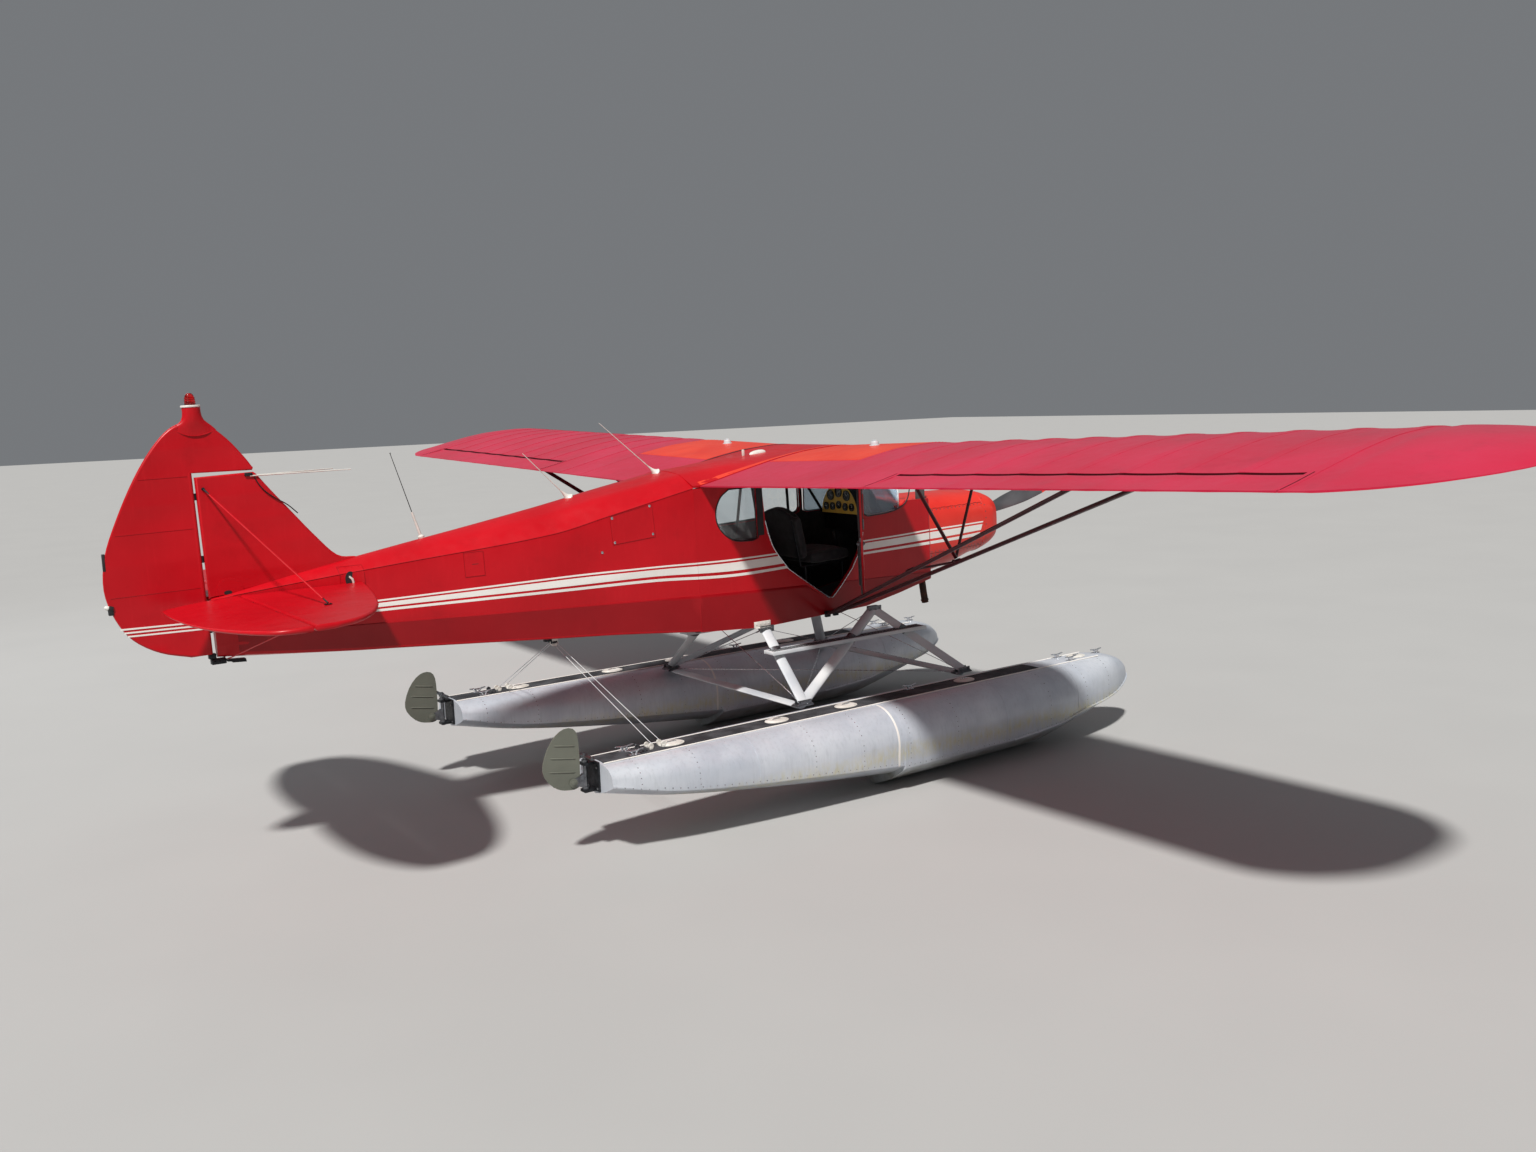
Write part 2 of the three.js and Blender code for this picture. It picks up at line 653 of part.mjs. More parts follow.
function propeller() {
  const ring = ([radius, chord, thick, pitch]) => {
    const points = [];
    for (let i = 0; i < 12; i += 1) {
      const a = (i / 12) * 2 * Math.PI;
      const v = V((thick / 2) * Math.sin(a), (chord / 2) * Math.cos(a), radius);
      points.push(v.applyAxisAngle(V(0, 0, 1), (90 - pitch) * DEG - Math.PI / 2));
    }
    return points;
  };
  const blade = () => loft(BLADE.map(ring));
  const hub = new THREE.CylinderGeometry(70, 70, 84, 28).rotateZ(Math.PI / 2);
  const flange = new THREE.CylinderGeometry(44, 44, 24, 28).rotateZ(Math.PI / 2);
  flange.translate(12 - FLANGE_BACK, 0, 0);
  const bolts = [];
  for (let i = 0; i < 6; i += 1) {
    const bolt = new THREE.CylinderGeometry(9, 9, 20, 8).rotateZ(Math.PI / 2);
    const a = ((i + 0.5) / 6) * 2 * Math.PI;
    bolts.push(bolt.translate(46, 44 * Math.cos(a), 44 * Math.sin(a)));
  }
  const body = union([hub, flange, blade(), blade().rotateX(Math.PI), ...bolts]);
  return geometryOf(body);
}
const propMesh = add(airframe, "propeller", propeller(), "black");
propMesh.position.set(PROP_X, 0, THRUST_Z);
propMesh.rotation.x = Math.PI / 2 - BLADE_REST;

// Exhaust stub below the cowling, with a flange under the engine
const PIPE_R = 27;
const FLANGE_R = 38;
const FLANGE_TALL = 20;
const PIPE_PATH = [
  V(600, -180, -772), V(596, -181, -800), V(566, -185, -870), V(540, -192, -960), V(546, -198, -1070),
  V(560, -202, -1176),
];

function exhaust() {
  const ring = new THREE.Shape();
  ring.absarc(0, 0, PIPE_R, 0, 2 * Math.PI);
  const extrudePath = new THREE.CatmullRomCurve3(PIPE_PATH);
  const pipe = new THREE.ExtrudeGeometry(ring, { steps: 12, curveSegments: 6, extrudePath });
  const flange = new THREE.CylinderGeometry(FLANGE_R, FLANGE_R, FLANGE_TALL, 16).rotateX(Math.PI / 2);
  flange.translate(PIPE_PATH[0].x, PIPE_PATH[0].y, -760 - FLANGE_TALL / 2 - GAP);
  return geometryOf(union([pipe, flange]));
}
add(airframe, "exhaust_pipe", exhaust(), "steel");

// Tail. The rudder hangs on the tail post with its balance horn over the fin, and the upper brace wires
// hold to a bolt through the fin.
const WIRE_BOLT = { x: -4648, z: 190, radius: 6, reach: 24 };
const TAIL_THICK = 34;
const HORN_Z = 262;
const FIN_EDGE = RUDDER_X + 15;
const RUDDER = outline([
  [RUDDER_X - 1, -752],
  [[-4807, -742], [-4965, -690], [-5093, -598], [-5168, -470], [-5204, -310], [-5180, -130], [-5103, 60],
    [-4994, 270], [-4886, 430], [-4787, 530], [-4688, 565], [-4589, 545], [-4490, 460], [-4406, 350],
    [-4363, 280]],
  [-4369, HORN_Z + 12], [RUDDER_X - 1, HORN_Z + 12],
], 2);
const FIN = outline([
  [FIN_EDGE, HORN_Z], [-4363, HORN_Z],
  [[-4354, 252], [-4282, 152], [-4181, 20], [-4065, -130], [-3946, -262], [-3837, -285]],
  [-3837, -320], [FIN_EDGE, -424],
], 2);

// Hinge tabs, each a plate on the fixed surface in a slot of the moving one, and half its width and
// thickness
const RUDDER_TABS = [150, -200, -600];
const TAB_HALF = 12;
const TAB_THIN = 7;
const TAB_NOSE = 9;
const SLOT_NOSE = 17;
const SLOT_BACK = 60;
const TORQUE_R = 10;

// A tail surface drawn in x and z, tapering in thickness from a hinge line at x towards its far edge.
function surface(points, hinge, reach, edge) {
  const geometry = sidePlate(points, -TAIL_THICK / 2, TAIL_THICK / 2);
  const p = geometry.attributes.position;
  for (let i = 0; i < p.count; i += 1) {
    const t = Math.min(1, Math.abs(p.getX(i) - hinge) / reach);
    p.setY(i, p.getY(i) * (1 - t * (1 - edge)));
  }
  return geometry;
}

function rudder() {
  const tall = TAB_HALF + GAP;
  const slots = RUDDER_TABS.map((z) => {
    return box(RUDDER_X - SLOT_NOSE, RUDDER_X + SLOT_BACK, -SLOT_BACK, SLOT_BACK, z - tall, z + tall);
  });
  return geometryOf(solid(surface(RUDDER, RUDDER_X, 520, 0.38)).subtract(union(slots)));
}

const rudderTab = (z, back) => box(RUDDER_X - TAB_NOSE, back, -TAB_THIN, TAB_THIN, z - TAB_HALF, z + TAB_HALF);

// The fin stands on the fuselage, and the wire bolt goes through it.
function fin() {
  const tabs = RUDDER_TABS.slice(0, 2).map((z) => rudderTab(z, FIN_EDGE + 30));
  const radius = WIRE_BOLT.radius + GAP;
  const hole = new THREE.CylinderGeometry(radius, radius, 100, 12).translate(WIRE_BOLT.x, 0, WIRE_BOLT.z);
  const seat = union([aftFuselage().translate(0, 0, GAP), hole]);
  return geometryOf(solid(surface(FIN, FIN_EDGE, 900, 0.5)).add(union(tabs)).subtract(seat));
}

// The aft fuselage has a hole for the elevators' torque tube, and the lowest rudder hinge on its post.
function tailCone() {
  const radius = TORQUE_R + SWING_GAP;
  const hole = new THREE.CylinderGeometry(radius, radius, 400, 20).translate(ELEVATOR_X, 0, TAIL_Z);
  const tab = rudderTab(RUDDER_TABS[2], RUDDER_X + SLOT_BACK);
  return geometryOf(solid(aftFuselage()).subtract(solid(hole)).add(solid(tab)));
}
add(airframe, "aft_fuselage", tailCone(), "red");
add(airframe, "fin", fin(), "red");
add(airframe, "rudder", rudder(), "red");

// Lamp on its flared pedestal, on top of the rudder's horn. Columns: radius, height.
const BEACON = [
  [0, 0], [76, 0], [60, 14], [44, 34], [36, 70], [34, 96], [40, 98], [40, 106], [32, 108], [31, 150],
  [24, 168], [0, 176],
];
const BEACON_X = -4660;
const BEACON_Z = 545;
const BEACON_NARROW = 0.62;

function beacon() {
  const lathe = new THREE.LatheGeometry(BEACON.map(([r, z]) => new THREE.Vector2(r, z)), 24);
  const body = lathe.rotateX(Math.PI / 2).scale(1, BEACON_NARROW, 1).translate(BEACON_X, 0, BEACON_Z);
  const half = TAIL_THICK / 2 + GAP;
  const horn = sidePlate(RUDDER, -half, half).translate(0, 0, GAP);
  return geometryOf(solid(body).subtract(solid(horn)));
}
add(airframe, "beacon", beacon(), "lamp");

// Horizontal tail, drawn from above as y out from the centre
const STAB_ROOT_Y = 62;
const STAB_EDGE = ELEVATOR_X + 15;
const STAB = outline([
  [STAB_EDGE, STAB_ROOT_Y], [STAB_EDGE, TAIL_SEMI_SPAN - 8],
  [[-4431, 1462], [-4302, 1400], [-4179, 1255], [-4085, 1060], [-4015, 850], [-3941, 560], [-3882, 300],
    [-3847, 125]],
], 2);
const ELEVATOR = outline([
  [ELEVATOR_X - 1, 76],
  [-4737, 76], [-4935, 168],
  [[-4967, 210], [-4975, 480], [-4957, 800], [-4900, 1080], [-4797, 1320], [-4688, 1440],
    [ELEVATOR_X - 1, TAIL_SEMI_SPAN]],
], 2);
const ELEVATOR_TABS = [330, 800, 1250];

function levelSurface(points, side, hinge, reach, edge) {
  const turned = points.map(([x, y]) => [x, side * y]);
  const geometry = levelPlate(turned, -TAIL_THICK / 2, TAIL_THICK / 2);
  const p = geometry.attributes.position;
  for (let i = 0; i < p.count; i += 1) {
    const t = Math.min(1, Math.abs(p.getX(i) - hinge) / reach);
    p.setZ(i, p.getZ(i) * (1 - t * (1 - edge)));
  }
  return geometry.translate(0, 0, TAIL_Z);
}

function tabBoxes(side, half, tall, x0, x1) {
  return ELEVATOR_TABS.map((y) => box(x0, x1, side * y - half, side * y + half, TAIL_Z - tall, TAIL_Z + tall));
}

function stabilizer(side) {
  const body = solid(levelSurface(STAB, side, STAB_EDGE, 760, 0.5));
  const whole = body.add(union(tabBoxes(side, TAB_HALF, TAB_THIN, ELEVATOR_X - TAB_NOSE, STAB_EDGE + 30)));
  return geometryOf(whole.subtract(solid(aftFuselage().scale(1, 1 + 1 / 300, 1))));
}

function elevators() {
  const halves = SIDES.map(([, side]) => {
    const body = solid(levelSurface(ELEVATOR, side, ELEVATOR_X, 440, 0.38));
    const slots = tabBoxes(side, TAB_HALF + GAP, SLOT_BACK, ELEVATOR_X - SLOT_NOSE, ELEVATOR_X + SLOT_BACK);
    return body.subtract(union(slots));
  });
  const tube = new THREE.CylinderGeometry(TORQUE_R, TORQUE_R, 170, 16).translate(ELEVATOR_X, 0, TAIL_Z);
  return geometryOf(halves[0].add(halves[1]).add(solid(tube)));
}

for (const [name, side] of SIDES) {
  add(airframe, `stabilizer_${name}`, stabilizer(side), "red");
}
add(airframe, "elevators", elevators(), "red");

// Cabin door, drawn closed in a group that turns on the hinge line at its front edge
const doorGroup = new THREE.Group();
doorGroup.position.set(DOOR_HINGE_X, DOOR_Y, 0);
doorGroup.rotation.z = DOOR_OPEN;
airframe.add(doorGroup);
const hung = (geometry) => geometry.translate(-DOOR_HINGE_X, -DOOR_Y, 0);

function door() {
  const panel = solid(sidePlate(DOOR, -HALF_WIDTH, -HALF_WIDTH + WALL));
  const body = panel.subtract(solid(sidePlate(DOOR_WINDOW, -CUT_REACH, 0)));
  const hinges = knuckles(-KNUCKLE_TALL, DOOR_HINGE_X - LEAF_FAR, DOOR_HINGE_X - LEAF_NEAR);
  return hung(geometryOf(body.add(union(hinges))));
}
add(doorGroup, "cabin_door", door(), "darkRed");
const pane = sidePlate(shrink(DOOR_WINDOW, GAP), -HALF_WIDTH + 10, -HALF_WIDTH + 14);
add(doorGroup, "door_window", hung(pane), "glass");

// Side windows
const REAR_PANE_Y = 362;
const thin = (points, y) => sidePlate(shrink(points, GAP), y - 2, y + 2);
add(airframe, "rear_window_right", thin(REAR_WINDOW, -REAR_PANE_Y), "glass");
add(airframe, "rear_window_left", thin(REAR_WINDOW, REAR_PANE_Y), "glass");
add(airframe, "side_window_left", thin(LEFT_FRONT_WINDOW, HALF_WIDTH - 13), "glass");

// Instrument panel: an arched plate with round dials standing a little proud. Columns of the dials: y, z,
// radius.
const PANEL_X = 20;
const PANEL_THICK = 12;
const PANEL_LOW = -560;
const PANEL_SHOULDER = -400;
const DIAL_DEEP = 24;
const DIALS = [
  [-95, -250, 40], [0, -225, 40], [95, -250, 40], [-140, -330, 30], [-70, -330, 30], [0, -315, 30],
  [70, -330, 30], [140, -330, 30],
];
function instrumentPanel() {
  const half = wallY(PANEL_X + PANEL_THICK) - WALL - GAP;
  const points = [[-half, PANEL_LOW], [half, PANEL_LOW], [half, PANEL_SHOULDER]];
  for (let a = 20; a <= 160; a += 20) {
    points.push([300 * Math.cos(a * DEG), PANEL_SHOULDER + 235 * Math.sin(a * DEG)]);
  }
  points.push([-half, PANEL_SHOULDER]);
  const plate = new THREE.ExtrudeGeometry(shapeOf(points), { depth: PANEL_THICK, bevelEnabled: false });
  plate.rotateX(Math.PI / 2).rotateZ(Math.PI / 2).translate(PANEL_X, 0, 0);
  const dials = DIALS.map(([y, z, r]) => {
    const dial = new THREE.CylinderGeometry(r, r, DIAL_DEEP, 20).rotateZ(Math.PI / 2);
    return dial.translate(PANEL_X - 4, y, z);
  });
  return geometryOf(union([plate, ...dials]));
}
add(airframe, "instrument_panel", instrumentPanel(), "gold");

// Seats: a single pilot's seat in front and a wide one behind, each a cushion, a back and a frame foot
// on the floor. Columns: name, x of the back's foot, half width, cushion length.
const SEATS = [
  ["front_seat", -640, 235, 430],
  ["rear_seat", -1440, 335, 450],
];
const SEAT_Z = -740;
const floorTop = (x) => {
  const i = SIDE_WALL.findIndex((row) => row[0] > x);
  const [a, b] = [SIDE_WALL[i - 1], SIDE_WALL[i]];
  return a[3] + ((x - a[0]) / (b[0] - a[0])) * (b[3] - a[3]) + FLOOR_THICK;
};

function seat(x, half, length) {
  const profile = outline([
    [x - 30, SEAT_Z], [x + length, SEAT_Z + 15],
    [[x + length + 20, SEAT_Z + 60], [x + length, SEAT_Z + 105]],
    [x + 90, SEAT_Z + 95],
    [x - 40, SEAT_Z + 470], [[x - 70, SEAT_Z + 500], [x - 105, SEAT_Z + 490], [x - 120, SEAT_Z + 460]],
    [x - 40, SEAT_Z + 40],
  ], 3);
  const body = solid(sidePlate(profile, -half, half));
  const legs = [];
  for (const [dx, side] of [[30, -1], [30, 1], [length - 50, -1], [length - 50, 1]]) {
    const y = side * (half - 40);
    const foot = Math.max(floorTop(x + dx - 12), floorTop(x + dx + 12)) + GAP;
    legs.push(box(x + dx - 12, x + dx + 12, y - 12, y + 12, foot, SEAT_Z + 20));
  }
  return geometryOf(body.add(union(legs)));
}
for (const [name, x, half, length] of SEATS) {
  add(airframe, name, seat(x, half, length), "leather");
}

// Floats. Columns: x, deck half width, widest half width and its depth below the deck, chine half width
// and depth, keel depth, drop of the deck.
const AFTERBODY = [
  [FLOAT_STERN, 96, 214, 78, 222, 114, 190, 0],
  [-2400, 102, 268, 140, 272, 215, 300, 0],
  [-1500, 108, 322, 210, 318, 310, 430, 0],
  [-738, 110, 334, 240, 324, 385, 520, 0],
];
const FOREBODY = [
  [-740, 110, 335, 240, 328, 405, DECK_Z, 0],
  [200, 110, 335, 240, 328, 405, DECK_Z, 0],
  [760, 106, 330, 230, 320, 378, DECK_Z - 4, 0],
  [1080, 100, 304, 205, 300, 322, 515, 0],
  [1350, 90, 258, 175, 258, 304, 440, 0],
  [1560, 76, 202, 150, 206, 282, 366, 6],
  [1700, 58, 146, 140, 152, 256, 312, 36],
  [1810, 36, 92, 150, 98, 230, 268, 92],
  [1875, 16, 46, 176, 50, 212, 232, 150],
  [1898, 6, 18, 196, 20, 206, 214, 188],
];
const CROWN = 6;
const SHOULDER_STEPS = 5;

function hullRing([x, deck, widest, depth, chine, chineZ, keelZ, drop]) {
  const half = [[6, -keelZ], [chine, -chineZ], [chine + 3, -chineZ + 8]];
  for (let i = SHOULDER_STEPS; i >= 0; i -= 1) {
    const a = (i / SHOULDER_STEPS) * 90 * DEG;
    half.push([deck + (widest - deck) * Math.sin(a), -drop - (depth - drop) * (1 - Math.cos(a))]);
  }
  const level = DECK_Z - ROOT_Z;
  const right = half.map(([y, z]) => V(x, y, z + level));
  const left = half.slice().reverse().map(([y, z]) => V(x, -y, z + level));
  return [...right, V(x, 0, CROWN - drop + level), ...left];
}

const hull = solid(loft(AFTERBODY.map(hullRing))).add(solid(loft(FOREBODY.map(hullRing))));
for (const [name, side] of SIDES) {
  add(gear, `float_${name}`, geometryOf(hull), "aluminium").position.y = side * FLOAT_Y;
}

// Float gear. The struts run from fittings on the lower longerons down to fittings on the float decks.
const DECK = DECK_Z - ROOT_Z;
const FRONT_FOOT_X = 348;
const REAR_FOOT_X = -1150;
const FOOT_Y = 850;
const FOOT_Z = DECK + 22;
const SPREADER_Z = DECK - 10;
const FRONT_TOP = air(-128, 372, -1110);
const REAR_TOP = air(-1130, 372, -1106);
const PAD = 70;
const PAD_HALF = 26;

// Step board carried by the float struts, and the struts themselves. Each top fitting rises to the
// fuselage.
const BOARD = { x0: -1208, x1: 223, y: 548, wide: 110, z: -1278, thick: 26 };
const STRUT_TOPS = [[FRONT_TOP, 36.6], [REAR_TOP, 13.5]];

function gearStruts(side) {
  const at = (v) => V(v.x, side * v.y, v.z);
  const front = V(FRONT_FOOT_X, FOOT_Y, FOOT_Z);
  const rear = V(REAR_FOOT_X, FOOT_Y, FOOT_Z);
  const bars = [
    bar(at(FRONT_TOP), at(front), 84, 36, 12),
    bar(at(REAR_TOP), at(rear), 84, 36, 12),
    bar(at(FRONT_TOP), at(rear), 72, 34, 12),
  ];
  const feet = [front, rear].map((v) => {
    const y = side * v.y;
    return box(v.x - PAD, v.x + PAD, y - PAD_HALF, y + PAD_HALF, DECK - 80, v.z + 20);
  });
  const tops = STRUT_TOPS.map(([v, rise]) => {
    const y = side * v.y;
    return box(v.x - 46, v.x + 46, y - 22, y + 22, v.z - 30, v.z + rise);
  });
  const y = side * BOARD.y;
  const board = box(BOARD.x0, BOARD.x1, y - BOARD.wide / 2, y + BOARD.wide / 2, BOARD.z, BOARD.z + BOARD.thick);
  const clear = hull.translate(0, side * FLOAT_Y, GAP);
  return geometryOf(union([...bars, ...feet, ...tops, board]).subtract(clear));
}

for (const [name, side] of SIDES) {
  add(gear, `float_struts_${name}`, gearStruts(side), "aluminium");
}

// Spreader bars between the floats
for (const [name, x] of [["front", FRONT_FOOT_X], ["rear", REAR_FOOT_X]]) {
  const reach = FOOT_Y - PAD_HALF - GAP;
  const geometry = bar(V(x, -reach, SPREADER_Z), V(x, reach, SPREADER_Z), 84, 34, 12);
  add(gear, `spreader_bar_${name}`, geometry, "aluminium");
}

// Deck fittings on each float: a non-skid walkway with oval hatch covers
const HATCHES = [-2346, -1546, -969, -120, 700];
const WALK_Z = DECK + CROWN + GAP;
const WALK_TOP = DECK + 12;
const WALK_HALF = 90;
const WALK_FRONT = 1480;
const COVER_TALL = 8;

function deckFittings() {
  const walk = box(FLOAT_STERN + 20, WALK_FRONT, -WALK_HALF, WALK_HALF, WALK_Z, WALK_TOP);
  const covers = HATCHES.map((x) => {
    const cover = new THREE.CylinderGeometry(66, 70, COVER_TALL, 24).rotateX(Math.PI / 2);
    return cover.scale(1.25, 0.85, 1).translate(x, 0, WALK_TOP + COVER_TALL / 2 - 2);
  });
  return geometryOf(union([walk, ...covers]));
}
for (const [name, side] of SIDES) {
  add(gear, `float_deck_${name}`, deckFittings(), "black").position.y = side * FLOAT_Y;
}

// Water rudders: a fixed stern bracket, a steering post, and a blade that lifts on the post's fork
const POST_TOP = DECK + 42;
const POST_LOW = DECK - 175;
const POST_R = 12;
const ARM_THICK = 16;
const UPPER_ARM = DECK - 6;
const LOWER_ARM = DECK - 168;
const FORK = 84;
const PIVOT_X = STEER_X - FORK;
const PIVOT_Z = DECK - 99;
const PIN_R = 7;
const BLADE_THICK = 6;
const WATER_BLADE = outline([
  [[34, -34], [6, -42], [-34, -38], [-80, -28], [-128, 2], [-178, 64], [-186, 134], [-150, 229], [-96, 296],
    [-40, 326], [16, 320], [44, 274], [50, 174], [48, 44], [34, -34]],
], 2).slice(0, -1);

function sternBracket() {
  const arms = [UPPER_ARM, LOWER_ARM].map((z) => {
    const arm = box(STEER_X - 22, FLOAT_STERN - GAP, -30, 30, z, z + ARM_THICK);
    const hole = new THREE.CylinderGeometry(POST_R + GAP, POST_R + GAP, 60, 20).rotateX(Math.PI / 2);
    return solid(arm).subtract(solid(hole.translate(STEER_X, 0, z)));
  });
  const back = solid(box(FLOAT_STERN - 12, FLOAT_STERN - GAP, -70, 70, LOWER_ARM, UPPER_ARM + ARM_THICK));
  return geometryOf(arms[0].add(arms[1]).add(back));
}

function steeringPost() {
  const post = new THREE.CylinderGeometry(POST_R, POST_R, POST_TOP - POST_LOW, 20).rotateX(Math.PI / 2);
  post.translate(STEER_X, 0, (POST_TOP + POST_LOW) / 2);
  const collars = [UPPER_ARM + ARM_THICK + GAP, LOWER_ARM + ARM_THICK + GAP].map((z) => {
    return new THREE.CylinderGeometry(20, 20, 14, 20).rotateX(Math.PI / 2).translate(STEER_X, 0, z + 7);
  });
  const cheek = [[STEER_X, PIVOT_Z + 46], [PIVOT_X - 14, PIVOT_Z + 13], [PIVOT_X - 14, PIVOT_Z - 13],
    [STEER_X, PIVOT_Z - 46]];
  const inner = BLADE_THICK / 2 + GAP;
  const cheeks = [sidePlate(cheek, inner, inner + 6), sidePlate(cheek, -inner - 6, -inner)];
  const spacer = box(STEER_X - 24, STEER_X, -inner - 1, inner + 1, PIVOT_Z - 44, PIVOT_Z + 44);
  const pin = new THREE.CylinderGeometry(PIN_R, PIN_R, 26, 16).translate(PIVOT_X, 0, PIVOT_Z);
  return geometryOf(union([post, ...collars, ...cheeks, spacer, pin]));
}

function waterBlade() {
  const placed = WATER_BLADE.map(([x, z]) => [PIVOT_X + x, PIVOT_Z + z]);
  const blade = solid(sidePlate(placed, -BLADE_THICK / 2, BLADE_THICK / 2));
  const hole = new THREE.CylinderGeometry(PIN_R + GAP, PIN_R + GAP, 40, 16).translate(PIVOT_X, 0, PIVOT_Z);
  return geometryOf(blade.subtract(solid(hole)));
}

for (const [name, side] of SIDES) {
  add(gear, `stern_bracket_${name}`, sternBracket(), "aluminium").position.y = side * FLOAT_Y;
  add(gear, `steering_post_${name}`, steeringPost(), "aluminium").position.y = side * FLOAT_Y;
  add(gear, `water_rudder_${name}`, waterBlade(), "olive").position.y = side * FLOAT_Y;
}

// Tail brace wires: one pair from a bolt through the fin to the stabilizers, and one pair below
const STAB_PLATE_X = -4282;
const STAB_PLATE_Y = 860;
const STAB_HALF = 14.9;
const PLATE_THICK = 7;
const WIRE = 7;

function bracePlate(side, up) {
  const z = [TAIL_Z + up * STAB_HALF, TAIL_Z + up * (STAB_HALF + PLATE_THICK)].sort((a, b) => a - b);
  return box(STAB_PLATE_X - 30, STAB_PLATE_X + 30, side * STAB_PLATE_Y - 12, side * STAB_PLATE_Y + 12, ...z);
}

function upperWires() {
  const { x, z, radius, reach } = WIRE_BOLT;
  const bolt = new THREE.CylinderGeometry(radius, radius, 2 * reach, 12).translate(x, 0, z);
  const wires = [-1, 1].map((side) => {
    return bar(V(x, side * (reach - 3), z), V(STAB_PLATE_X, side * STAB_PLATE_Y, TAIL_Z + 22), WIRE, WIRE, 6);
  });
  return geometryOf(union([bolt, ...wires, bracePlate(-1, 1), bracePlate(1, 1)]));
}

// Tail post foot with the stub of the tail spring, and the lower brace wires
const FOOT_BLOCK = { x0: -4710, x1: -4629, half: 24, low: -802, top: -768.5 };

function tailFoot() {
  const { x0, x1, half, low, top } = FOOT_BLOCK;
  const foot = box(x0, x1, -half, half, low, top);
  const spring = bar(V(-4648, 0, -790), V(-4510, 0, -802), 26, 44, 8);
  const wires = [-1, 1].map((side) => {
    return bar(V(-4638, side * 14, -784), V(STAB_PLATE_X, side * STAB_PLATE_Y, TAIL_Z - 22), WIRE, WIRE, 6);
  });
  return geometryOf(union([foot, spring, ...wires, bracePlate(-1, -1), bracePlate(1, -1)]));
}
add(airframe, "tail_wires", upperWires(), "steel");
add(airframe, "tail_foot", tailFoot(), "steel");

export default pieces;
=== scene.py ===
"""Looks for a high-wing, fabric-covered light aeroplane on twin aluminium floats.

Tables are in millimetres. Airframe tables have zero at the leading edge of the wing root on the
centre plane, and the airframe sits nose-up by PITCH. Float tables give heights above the floor.
"""
import math

import bmesh
import bpy
from mathutils import Matrix, Vector


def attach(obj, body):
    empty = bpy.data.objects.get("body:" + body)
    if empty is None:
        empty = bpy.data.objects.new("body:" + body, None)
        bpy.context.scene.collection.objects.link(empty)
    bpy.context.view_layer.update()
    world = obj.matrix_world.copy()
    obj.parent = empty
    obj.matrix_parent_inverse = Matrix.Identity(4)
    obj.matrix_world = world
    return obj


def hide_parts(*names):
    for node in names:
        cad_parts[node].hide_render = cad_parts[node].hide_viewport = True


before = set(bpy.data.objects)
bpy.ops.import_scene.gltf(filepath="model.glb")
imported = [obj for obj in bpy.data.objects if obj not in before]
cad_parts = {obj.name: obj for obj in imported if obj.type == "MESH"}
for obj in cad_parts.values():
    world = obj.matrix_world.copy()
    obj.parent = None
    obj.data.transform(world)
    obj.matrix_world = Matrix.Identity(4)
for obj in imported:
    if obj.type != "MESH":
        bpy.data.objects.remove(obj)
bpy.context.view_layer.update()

# Driving dimensions
PITCH = math.radians(1.23)
MID_X = 1649.07
ROOT_Z = 2170.0
DECK_Z = 577.0
CHORD = 1600.0
INCIDENCE = math.radians(2.1)
DIHEDRAL = math.radians(1.7)
ROOT_Y = 374.0
SEMI_SPAN = 5405.0
AILERON_IN = 2074.0
AILERON_OUT = 4650.0
AILERON_HINGE = -1372.0
BAY_FACE = -1338.0
SWING_GAP = 6.0
HALF_WIDTH = 385.0
WALL = 26.0
FIREWALL_X = 490.0
BOWL_X = 1105.0
NOSE_X = 1278.0
THRUST_Z = -560.0
CABIN_REAR_X = -1660.0
DOOR_HINGE = (-205.0, -391.3)
DOOR_OPEN = math.radians(50)
RUDDER_X = -4698.0
ELEVATOR_X = -4540.0
TAIL_Z = -437.0
TAIL_SEMI_SPAN = 1470.0
FLOAT_Y = 1083.0
FLOAT_STERN = -2880.0
STEER_X = -2940.0
PROP_X = 1330.0
PROP_RADIUS = 900.0
BLADE_REST = math.radians(19)
LIP_X = 1246.0
INTAKE_Z = THRUST_Z + 26
INTAKE_YS = (-150.0, 150.0)
SEAM_Z = -425.0
CYLINDER_Z = -575.0
FUEL_CAP = (-497.0, 897.0)
BLISTER_X = -848.0
STUB_X = -975.0
SEAT_LEAN = 0.19
SIDES = (("right", -1), ("left", 1))
LIFT = 0.8
SHARP_EDGE = 38


def air(x, y, z):
    """A point of the airframe, in metres in the shared frame."""
    c, s = math.cos(PITCH), math.sin(PITCH)
    return Vector(((x * c - z * s + MID_X) / 1000, y / 1000, (x * s + z * c + ROOT_Z) / 1000))


def gear(x, y, z):
    """A point of the float gear, its height given above the floor."""
    return Vector(((x + MID_X) / 1000, y / 1000, z / 1000))


def hung(x, y, z):
    """A point of the door as if it were shut, turned to where it stands."""
    hx, hy = DOOR_HINGE
    c, s = math.cos(DOOR_OPEN), math.sin(DOOR_OPEN)
    dx, dy = x - hx, y - hy
    return air(hx + dx * c - dy * s, hy + dx * s + dy * c, z)


# One millimetre up and one millimetre ahead on the airframe
UP = air(0, 0, 1) - air(0, 0, 0)
AHEAD = air(1, 0, 0) - air(0, 0, 0)


def ease(t):
    t = min(max(t, 0.0), 1.0)
    return t * t * (3 - 2 * t)


